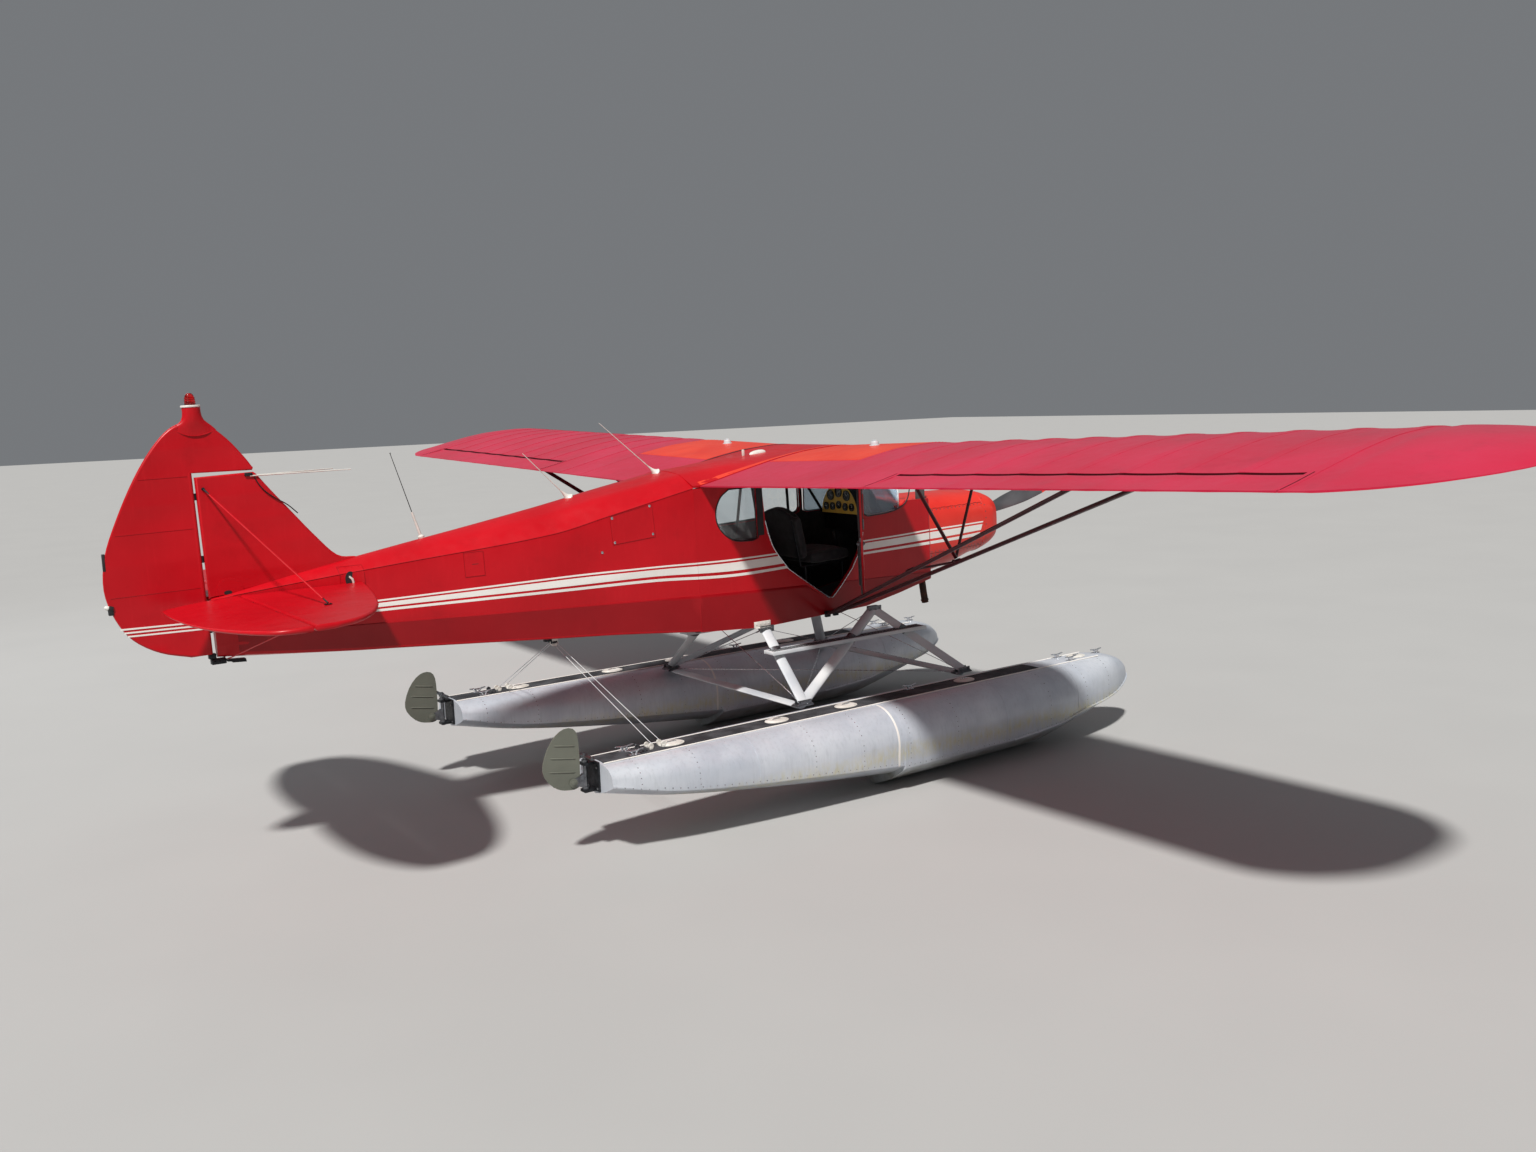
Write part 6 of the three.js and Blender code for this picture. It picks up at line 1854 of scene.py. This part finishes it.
def add_windscreen():
    rings, feet, heads = [], [], []
    for t in spread(-1, 1, 61):
        a = abs(t)
        k = min(a * (len(SCREEN_FOOT) - 1), len(SCREEN_FOOT) - 1.001)
        foot = SCREEN_FOOT[int(k)].lerp(SCREEN_FOOT[int(k) + 1], k - int(k))
        x, y = foot.x, math.copysign(foot.y, t)
        on_deck = nose_deck_top(x, y) + 1
        z = on_deck + (foot.z - on_deck) * ease((a - 0.3) / 0.16)
        low = (x, y, z)
        hx, hy = -20 - 150 * a ** 2.5, 358 * math.sin(t * math.pi / 2)
        head = (hx, hy, low_z(hx, ROOT_Y) - 1.7)
        turn = math.radians(80 * t)
        dx, dy = -5 * math.cos(turn), -5 * math.sin(turn)
        back_low = (low[0] + dx, low[1] + dy, low[2])
        back_head = (head[0] + dx, head[1] + dy, low_z(head[0] + dx, ROOT_Y) - 1.7)
        heights = spread(0, 1, 5)
        rings.append([air(*[p + (q - p) * k for p, q in zip(low, head)]) for k in heights]
                     + [air(*[p + (q - p) * k for p, q in zip(back_low, back_head)]) for k in heights[::-1]])
        feet.append(air(low[0] + 1.5, low[1] * 1.004, low[2] + 4))
        heads.append(air(head[0] + 2.5, head[1] * 1.004, head[2] - 4))
    piece("windscreen_sheet", Build().loft(rings), SCREEN_SKY_TINT, replaces=("windscreen",))
    strip, screws = Build(), Build()
    strip.tube(feet, 5.5, 8)
    strip.tube(heads, 4.5, 8)
    for e in (0, -1):
        strip.tube([feet[e], heads[e]], 5.5, 8)
    for points in (feet, heads):
        for i in range(1, len(points) - 1, 3):
            out = (points[i] - air(-100, 0, -250)).normalized()
            screws.stud(points[i] + out * 0.004, out, 4, 2.5, 8)
    piece("windscreen_strips", strip, STRUT_GREY)
    piece("windscreen_screws", screws, STEEL)


PANEL_X = 20.0
INSERT_X = -105.0
DIALS = [(-95, -272, 40), (0, -247, 40), (95, -272, 40), (-152, -358, 30), (-76, -358, 30), (0, -345, 30),
         (76, -358, 30), (152, -358, 30)]


def add_panel():
    half = wall_half(PANEL_X + 12)
    turns = spread(math.radians(12), math.radians(168), 30)
    arch = [(300 * math.cos(a), -400 + 235 * math.sin(a)) for a in turns]
    board = [(half, -400)] + arch + [(-half, -400), (-half, -560), (half, -560)]

    def upright(y, x, z):
        return air(x, y, z)

    back = Build()
    prism(back, board, PANEL_X, PANEL_X + 12, upright, 2)
    side = [(212, -410), (206, -362), (180, -296), (130, -236), (62, -204)]
    dome = outline([[(-y, z) for y, z in side] + [(0, -197)] + side[::-1]], 4)
    prism(back, inset(dome, 3), INSERT_X, PANEL_X + 2, upright, 4)
    piece("panel_board", back, BLACK, replaces=("instrument_panel",))
    gold = Build()
    prism(gold, dome, INSERT_X - 3, INSERT_X - 0.2, upright, 0.8)
    piece("panel_insert", gold, GOLD_SUNLIT)
    rims, faces, marks = Build(), Build(), Build()
    aft = -AHEAD
    for index, (y, z, r) in enumerate(DIALS):
        place = facing(air(INSERT_X - 2, y, z), aft)
        rims.lathe([(r, 0), (r, 7), (r - 2, 10), (r - 5, 10), (r - 7, 5), (r - 7, 0)], place, 32)
        faces.lathe([(r - 6.5, 1), (r - 6.5, 4.2), (0, 4.4)], place, 32)
        ticks = 12 if r > 35 else 8
        for a in circle(ticks):
            tick = place @ Matrix.Rotation(a, 4, "Z") @ Matrix.Translation((0, (r - 11) / 1000, 0.0048))
            marks.block(tick, (1.6, 5.5, 0.8))
        turned = place @ Matrix.Rotation(0.7 + 1.9 * index, 4, "Z")
        needle = turned @ Matrix.Translation((0, r * 0.28 / 1000, 0.0052))
        marks.block(needle, (2.2, r * 0.72, 1.0))
        marks.lathe([(3.4, 4), (3.4, 6.4), (0, 6.8)], place, 12)
        reach = (r + 5) / 1000
        for a in spread(math.pi / 4, math.pi * 7 / 4, 4):
            rims.stud(place @ Vector((reach * math.cos(a), reach * math.sin(a), 0.001)), aft, 2.6, 1.6, 6)
    piece("dial_rims", rims, BLACK)
    piece("dial_faces", faces, DIAL)
    piece("dial_marks", marks, IVORY)
    knobs = Build()
    for y in spread(-150, 150, 7):
        knobs.lathe([(9, 0), (10, 3), (9, 12), (6, 14)], facing(air(PANEL_X - 0.4, y, -432), aft), 16)
    knobs.tube([air(PANEL_X, 205, -470), air(PANEL_X - 60, 205, -470)], 4, 8)
    knobs.lathe([(13, 0), (15, 6), (12, 18)], facing(air(PANEL_X - 60, 205, -470), aft), 18)
    for y in (-250, -225, -200, 225, 250):
        knobs.block(facing(air(PANEL_X - 4, y, -500), aft), (9, 16, 8), 1.5)
    piece("panel_knobs", knobs, DARK_STEEL)


def crowned_pad(build, place, half_u, half_v, thick, channels=0, grow=0.16, arch=0.0, count=56):
    """A cushion: crowned on its face, flat below, its sides drawn in between the corners."""
    power = 5.0
    rings = []
    for v in [math.sin(k) for k in spread(-math.pi / 2, math.pi / 2, count)]:
        body = max(1e-4, 1 - abs(v) ** power) ** (1 / power)
        ring = []
        for a in circle(count):
            c, s = math.cos(a), math.sin(a)
            r = (abs(c) ** power + abs(s) ** power) ** (-1 / power)
            u, w = c * r, s * r
            pinch = 1 - 0.035 * (1 - v * v) * abs(u) ** 6
            belly = 1 - 0.03 * (1 - u * u)
            crown = 1 + grow * (1 - u * u) * (1 - v * v) if w > 0 else 1
            if channels and w > 0:
                phase = (u + 1) / 2 * channels
                dip = 0.16 * math.exp(-((phase - round(phase)) / 0.09) ** 2)
                crown -= dip * (1 - abs(v) ** 8) * (abs(u) < 0.97)
            across = u * half_u * pinch * (0.75 + 0.25 * body)
            along = v * half_v * belly - arch * u * u * ease((v + 0.2) / 1.2)
            ring.append(place @ (Vector((across, along, w * thick / 2 * crown * body)) / 1000))
        rings.append(ring)
    return build.loft(rings)


def add_seats():
    for name, x, half, length in (("front", -640, 235, 430), ("rear", -1440, 335, 450)):
        cushion = Build()
        place = facing(air(x + length / 2 + 40, 0, -685), UP, Vector((1, 0, 0)))
        crowned_pad(cushion, place, half - 6, length / 2 - 34, 96, 5)
        obj = piece(f"{name}_seat_cushion", cushion, SEAT, replaces=(f"{name}_seat",),
                    sharp=60)
        back = Build()
        normal = (AHEAD + UP * SEAT_LEAN).normalized()
        up = (UP - AHEAD * SEAT_LEAN).normalized()
        side = up.cross(normal).normalized()
        frame_at = Matrix((side, up, normal)).transposed().to_4x4()
        frame_at.translation = air(x - 20, 0, -490)
        crowned_pad(back, frame_at, half - 4, 192, 84, 5, arch=70)
        obj = piece(f"{name}_seat_back", back, SEAT, sharp=60)
        tubes = Build()
        for way in (-1, 1):
            y = way * (half - 40)
            for dx in (30, length - 50):
                low = straight(SIDE_WALL, x + dx)[2] + 27
                tubes.tube([air(x + dx, y, low), air(x + dx, y, -734)], 10, 12)
                tubes.lathe([(22, 0), (22, 3), (12, 5)], facing(air(x + dx, y, low), (0, 0, 1)), 18)
            tubes.tube([air(x - 10, y, -738), air(x + length + 6, y, -738)], 10, 12)
            tubes.tube([air(x - 12, y, -736), air(x - 58, y, -480), air(x - 76, y, -390)], 9, 12)
        for dx in (0, length - 20):
            tubes.tube([air(x + dx, -half + 40, -738), air(x + dx, half - 40, -738)], 9, 12)
        piece(f"{name}_seat_frame", tubes, DARK_STEEL)


def add_stick():
    stick = Build()
    low = straight(SIDE_WALL, -90)[2] + 26
    stick.tube([air(-90, 0, low), air(-90, 0, low + 60), air(-110, 0, -800), air(-150, 0, -640)],
               [14, 11, 11, 11], 12)
    grip_at = facing(air(-150, 0, -652), UP - AHEAD * 0.2)
    stick.lathe([(13, 0), (16, 10), (15, 60), (17, 100), (12, 112)], grip_at, 18)
    piece("control_stick", stick, BLACK)


add_liners()
add_door()
add_windows()
add_cabin_tubes()
add_windscreen()
add_panel()
add_seats()
add_stick()


# Aerials, plates on the skin, tail wires and stern gear
SLOT = (-3918, -404)
TAIL_PLATE = outline([
    (-4641, -414), [(-4641, -380), (-4618, -335), (-4567, -322), (-4515, -337), (-4494, -380)],
    (-4494, -408)], 5)
# Plates as (x0, x1, z0, z1), each with the inset and the spacing of its rivets
RECTANGLES = (((-3246, -3124, -323, -473), 6, 55), ((-3976, -3838, -330, -478), 8, 36))
LOW_DOOR = [(-1000, -560), (-900, -700), (-700, -865), (-556, -950), (-520, -955), (-440, -885), (-330, -770),
            (-250, -640), (-215, -520)]


def box_ring(x0, x1, z0, z1):
    return [(x0, z0), (x1, z0), (x1, z1), (x0, z1)]


def rivets_round(build, points, side, gap):
    left = 0.0
    for p, q in zip(points, points[1:] + points[:1]):
        length = math.dist(p, q)
        while left < length:
            x, z = p[0] + (q[0] - p[0]) * left / length, p[1] + (q[1] - p[1]) * left / length
            build.stud(on_side(side)(x, z, 1.2), (0, side, 0.1), 3.2, 1.6, 8)
            left += gap
        left -= length


def add_skin_details():
    plates, heads, dark = Build(), Build(), Build()
    for side in (-1, 1):
        for (x0, x1, z0, z1), rim, gap in RECTANGLES:
            skin_plate(plates, side, (x0, x1, z0, z1))
            rivets_round(heads, box_ring(x0 + rim, x1 - rim, z0 - rim, z1 + rim), side, gap)
        skin_plate(dark, side, (-3200, -3160, -397, -400), 2.0, (3, 2))
        half = side_y(*SLOT)
        dark.loft([[air(SLOT[0] + 31 * math.cos(a), side * (half + e), SLOT[1] + 47 * math.sin(a))
                    for a in circle(28)] for e in (2.6, -2)])
        plates.loft([[air(x, side * (16.6 + e), z) for x, z in TAIL_PLATE] for e in (1.2, -3)])
        for x, z in inset(TAIL_PLATE, 9)[::4]:
            heads.stud(air(x, side * 17.8, z), (0, side, 0), 3.2, 1.6, 8)
        dark.loft([[air(-4580 + 22 * math.cos(a), side * (16.6 + e), -402 + 12 * math.sin(a))
                    for a in circle(24)] for e in (1.7, -3)])
    rows = []
    for t in spread(0, 1, 12):
        top, low = Vector((-2276 + 302 * t, -196 + 56 * t)), Vector((-2268 + 306 * t, -379 + 22 * t))
        rows.append([tuple(top.lerp(low, k)) for k in spread(0, 1, 7)])
    plates.sheet(rows, on_side(-1), (1.6, -1.5))
    studs = Build()
    for x, z in ((-2262, -206), (-1990, -152), (-1978, -338), (-2254, -366), (-2348, -420)):
        studs.stud(on_side(-1)(x, z, 1.6), (0, -1, 0.1), 9, 3.5, 14)
    piece("skin_plates", plates, RED)
    piece("skin_rivets", heads, RED)
    piece("skin_openings", dark, BLACK)
    piece("hatch_studs", studs, BRIGHT)
    levers, seams = Build(), Build()
    boxes = [box_ring(*box) for box, _, _ in RECTANGLES]
    hatch = [(-2276, -196), (-1974, -140), (-1962, -357), (-2268, -379)]
    for side in (-1, 1):
        y = side_y(-3922, -408)
        lever = ((-3926, y + 1, -386), (-3910, y + 8, -404), (-3902, y + 3, -436))
        levers.tube([air(x, side * y, z) for x, y, z in lever], [6, 7.5, 6], 10)
        # Painted shade: a dark line along the crease at the top longeron; the same dark red outlines the
        # seams of the plates and the hatch.
        stringer = []
        for x in spread(CABIN_REAR_X - 6, -4560, 60):
            cols = table(AFT, x)
            stringer.append(air(x, side * (cols[3] + 0.2), cols[4]))
        seams.tube(stringer, 1.8, 6)
        for box in boxes + ([hatch] if side < 0 else []):
            for (x0, z0), (x1, z1) in zip(box, box[1:] + box[:1]):
                line = [(x0 + (x1 - x0) * t, z0 + (z1 - z0) * t) for t in spread(0, 1, 8)]
                seams.tube([on_side(side)(x, z, 1.5) for x, z in line], 1.7, 6)
    piece("trim_levers", levers, IVORY)
    piece("stringer_shade_and_seams", seams, RED_SHADE_AND_SEAMS)


def add_shaded_low_sides():
    """Painted shade: darker fabric under the crease along each side, standing in for the shade on the lower
    facet; the sheet also swells a little just below the crease.
    """
    for name, side in SIDES:
        outer, inner = [], []
        for x in spread(-4560, CABIN_REAR_X - 1, 44) + spread(CABIN_REAR_X + 1, FIREWALL_X - 2, 72):
            top = -821 - (x + 1146) * 0.0523
            if side < 0 and LOW_DOOR[0][0] < x < LOW_DOOR[-1][0]:
                top = min(top, straight(LOW_DOOR, x)[0] - 16)
            low = table(AFT, x)[8] + 16 if x < CABIN_REAR_X else straight(SIDE_WALL, x)[2] + 4
            fade = ease((x + 4560) / 300)
            row_out, row_in = [], []
            for t in (0, 0.03, 0.1, 0.35, 0.7, 1):
                z = top + (low - top) * t
                row_out.append(on_side(side)(x, z, 0.7 + 5 * fade * min(t / 0.03, 1) * (1 - t) ** 1.5))
                row_in.append(on_side(side)(x, z, -1.5))
            outer.append(row_out)
            inner.append(row_in)
        piece(f"shaded_low_side_{name}", Build().slab(outer, inner), RED_SHADE_AND_SEAMS)


def add_aerials():
    rods, cones = Build(), Build()
    for (x, z), (tx, tz) in (((-1720, 36), (-2130, 400)), ((-2400, -72), (-2700, 240))):
        foot, tip = air(x, 0, z), air(tx, 0, tz)
        way = (tip - foot).normalized()
        profile = [(34, -10), (35, -2), (26, 6), (14, 24), (8, 50), (5, 72)]
        cones.lathe(profile, facing(foot, UP + way * 0.5), 24)
        rods.tube([foot + way * 0.03, foot.lerp(tip, 0.5), tip], [4.2, 3, 2.2], 8)
    foot, tip = air(-3400, 60, -222), air(-3530, 100, 300)
    third = foot.lerp(tip, 0.3)
    rods.tube([foot, third], [9, 6.5], 10)
    cones.lathe([(20, -8), (21, 2), (11, 12)], facing(foot, (tip - foot).normalized()), 20)
    rods.tube([air(-4392, -19, 242), air(-4100, -20, 238), air(-3817, -16, 233)], [4.5, 4, 3], 8)
    rods.tube([air(-4392, 19, 242), air(-4100, 120, 238), air(-3840, 250, 233)], [4.5, 4, 3], 8)
    piece("aerial_rods", rods, IVORY)
    piece("aerial_bases", cones, IVORY)
    thin = Build()
    thin.tube([third, tip], [2.6, 2.0], 6)
    thin.lathe([(2.4, 0), (5, 4), (0, 8)], facing(tip, (0, 0, 1)), 8)
    thin.block(facing(air(-4398, 0, 250), (0, -1, 0)), (44, 20, 46), 3)
    cable = [(-4369, -18, 236), (-4352, -19, 196), (-4320, -20, 150), (-4268, -20, 105), (-4205, -20, 62),
             (-4150, -20, 6)]
    thin.tube([air(x, y, z) for x, y, z in spline(cable, 5)], 3.2, 8)
    piece("aerial_fittings", thin, DARK_STEEL)


WIRE_BOLT_X = -4648.0
WIRE_BOLT_Z = 190.0
WIRE_PLATE = (-4282.0, 860.0)


def brace_wire(wires, ends, head, plate):
    faired(wires, head.lerp(plate, 0.03), head.lerp(plate, 0.96), 11, 6.5, 12)
    ends.tube([head, head.lerp(plate, 0.05)], [6, 4.5], 10)


def add_tail_rigging():
    wires, ends = Build(), Build()
    plate_x, plate_y = WIRE_PLATE
    for side in (-1, 1):
        head, plate = air(WIRE_BOLT_X, side * 21, WIRE_BOLT_Z), air(plate_x, side * plate_y, TAIL_Z + 24)
        brace_wire(wires, ends, head, plate)
        ends.tube([head.lerp(plate, 0.965), plate], [3.8, 5], 10)
        nut = facing(air(WIRE_BOLT_X, side * 17.5, WIRE_BOLT_Z), (0, side, 0))
        ends.lathe([(10, 0), (10, 5), (7, 6), (7, 9)], nut, 6)
        ends.block(facing(air(plate_x, side * plate_y, TAIL_Z + 18), (0, 0, 1)), (16, 40, 4), 1.2)
        for dx in (-13, 13):
            ends.stud(air(plate_x + dx, side * plate_y, TAIL_Z + 20), (0, 0, 1), 4, 3, 6)
    bolt = air(WIRE_BOLT_X, 0, WIRE_BOLT_Z)
    ends.tube([bolt - Vector((0, 0.024, 0)), bolt + Vector((0, 0.024, 0))], 6, 12)
    piece("brace_wires_upper", wires, RED, replaces=("tail_wires",))
    piece("brace_ends_upper", ends, DARK_STEEL)
    wires, foot = Build(), Build()
    for side in (-1, 1):
        head, plate = air(-4638, side * 14, -784), air(plate_x, side * plate_y, TAIL_Z - 24)
        brace_wire(wires, foot, head, plate)
        foot.tube([head.lerp(plate, 0.94), plate], [4.5, 6], 10)
        foot.block(facing(air(plate_x, side * plate_y, TAIL_Z - 18.5), (0, 0, -1)), (24, 60, 6), 1.5)
    foot.block(facing(air(-4669.5, 0, -785.2), (0, 0, 1)), (46, 79, 31), 4)
    for k in range(3):
        leaf = facing(air(-4588 + 14 * k, 0, -788 - 8 * k), UP + AHEAD * 0.09)
        foot.block(leaf, (42, 128 - 26 * k, 6), 1.5)
    for dx in (-24, 4):
        for side in (-1, 1):
            foot.stud(air(-4669 + dx, side * 23, -785), (0, side, 0), 7, 6, 6)
    foot.block(facing(air(-4700, 0, -752), (0, 0, 1)), (30, 40, 30), 4)
    piece("brace_wires_lower", wires, RED, replaces=("tail_foot",))
    piece("tail_post_foot", foot, DARK_STEEL)


PULLEY_X = -2584.0


def add_stern_gear():
    deck = DECK_Z
    for name, side in SIDES:
        middle = side * FLOAT_Y
        tiller = Build()
        tiller.block(Matrix.Translation(gear(STEER_X, middle, deck + 48)), (34, 220, 10), 3)
        post = Matrix.Translation(gear(STEER_X, middle, deck))
        tiller.lathe([(20, 36), (20, 56), (13, 58), (13, 64)], post, 24)
        for way in (-1, 1):
            tiller.lathe([(9, 40), (9, 58)], Matrix.Translation(gear(STEER_X, middle + way * 96, deck)), 12)
        piece(f"tiller_{name}", tiller, STEEL, f"steering_post_{name}")
        beads = Build()
        pivot_x, pivot_z = STEER_X - 84, deck - 99
        for way in (-1, 1):
            y = middle + way * 3
            for x0, z0, x1, z1 in ((-150, 90, 20, 60), (-140, 170, 28, 140), (-112, 240, 24, 216)):
                a, b = gear(pivot_x + x0, y, pivot_z + z0), gear(pivot_x + x1, y, pivot_z + z1)
                beads.tube([a, a.lerp(b, 0.08), a.lerp(b, 0.92), b], [1, 4.5, 4.5, 1], 10)
            beads.lathe([(26, -1), (26, 2), (15, 3), (15, 6), (8, 8)],
                        facing(gear(pivot_x, middle + way * 9.5, pivot_z), (0, way, 0)), 24)
            for k in range(7):
                beads.stud(gear(pivot_x - 120 + 22 * k, y, pivot_z - 2 - 3 * k), (0, way, 0), 4, 1.8, 8)
        piece(f"rudder_beads_{name}", beads, OLIVE, f"water_rudder_{name}")
        plate = Build()
        for z in (deck - 152, deck - 24):
            for y in (-52, 52):
                plate.stud(gear(FLOAT_STERN - 12, middle + y, z), (-1, 0, 0), 8, 6, 6)
        for z in (deck + 10, deck - 152):
            plate.lathe([(19, 0), (19, 4)], Matrix.Translation(gear(STEER_X, middle, z)), 24)
        for y in (-44, 44):
            place = facing(gear(-2560, middle + y, deck + 22), (0, 1, 0))
            plate.lathe([(15, -6), (15, -3.5), (10, 0), (15, 3.5), (15, 6)], place, 20)
            plate.block(Matrix.Translation(gear(-2560, middle + y, deck + 12)), (18, 16, 14), 3)
        piece(f"stern_bolts_{name}", plate, STEEL)


def add_belly_gear():
    cables, block, bracket = Build(), Build(), Build()
    for side in (-1, 1):
        for way in (-1, 1):
            y = side * FLOAT_Y + way * 26
            top = air(PULLEY_X - 6 + 12 * way, side * 9, -1012)
            cables.tube([top, gear(-2460 + 42 * way, y, DECK_Z + 42)], 2.0, 6)
    piece("rudder_cables", cables, STRUT_GREY)
    block.block(facing(air(PULLEY_X, 0, -990), (0, 0, 1)), (46, 44, 30), 4)
    wheel = facing(air(PULLEY_X, 0, -1016), (0, 1, 0))
    block.lathe([(26, -11), (26, -5), (19, 0), (26, 5), (26, 11)], wheel, 26)
    piece("belly_pulley", block, IVORY)
    bracket.block(facing(air(-2632, 0, -988), (0, 0, 1)), (36, 44, 30), 3)
    bracket.block(facing(air(-2604, 0, -971.0), (0, 0, 1)), (60, 110, 7), 2)
    for y in (-16, 16):
        bracket.block(facing(air(-2590, y, -1004), (0, 1, 0)), (48, 34, 4), 1.5)
    piece("belly_bracket", bracket, DARK_STEEL)


add_skin_details()
add_shaded_low_sides()
add_aerials()
add_tail_rigging()
add_stern_gear()
add_belly_gear()


# Studio
def add_stage():
    mesh = bpy.data.meshes.new("floor")
    bm = bmesh.new()
    bmesh.ops.create_grid(bm, x_segments=2, y_segments=2, size=90)
    bm.to_mesh(mesh)
    bm.free()
    floor = linked("floor", mesh)
    look = Look("studio_floor")
    look.colour(look.mix(look.noise(0.8, 2.0), (0.4, 0.4, 0.396), (0.43, 0.43, 0.424)))
    look.rough(0.7)
    mesh.materials.append(look.material)
    world = bpy.data.worlds.new("studio")
    bpy.context.scene.world = world
    world.use_nodes = True
    back = world.node_tree.nodes["Background"]
    back.inputs["Color"].default_value = (0.86, 0.9, 0.95, 1)
    back.inputs["Strength"].default_value = 0.21
    bpy.context.scene.view_settings.view_transform = "Standard"


def add_lights():
    sun = bpy.data.lights.new("key", "SUN")
    sun.energy = 4.6
    sun.angle = math.radians(4)
    sun.color = (1.0, 0.975, 0.94)
    linked("key", sun).rotation_euler = Vector((0.585, 0.515, -1.0)).to_track_quat("-Z", "Y").to_euler()
    for name, spot, power in (("side", (9.0, -7.0, 6.0), 15.0), ("back", (-4.0, 10.0, 8.0), 140.0)):
        lamp = bpy.data.lights.new(name, "AREA")
        lamp.shape = "DISK"
        lamp.size = 7.0
        lamp.energy = power
        lamp.color = (0.95, 0.97, 1.0)
        obj = linked(name, lamp)
        obj.location = spot
        obj.rotation_euler = (Vector((0, 0, 1)) - Vector(spot)).to_track_quat("-Z", "Y").to_euler()


# Sunlight reaches the cabin through the glass
for glass_name in ("windscreen_sheet", "door_window", "rear_window_right", "rear_window_left",
                   "side_window_left"):
    bpy.data.objects[glass_name].visible_shadow = False
add_stage()
add_lights()
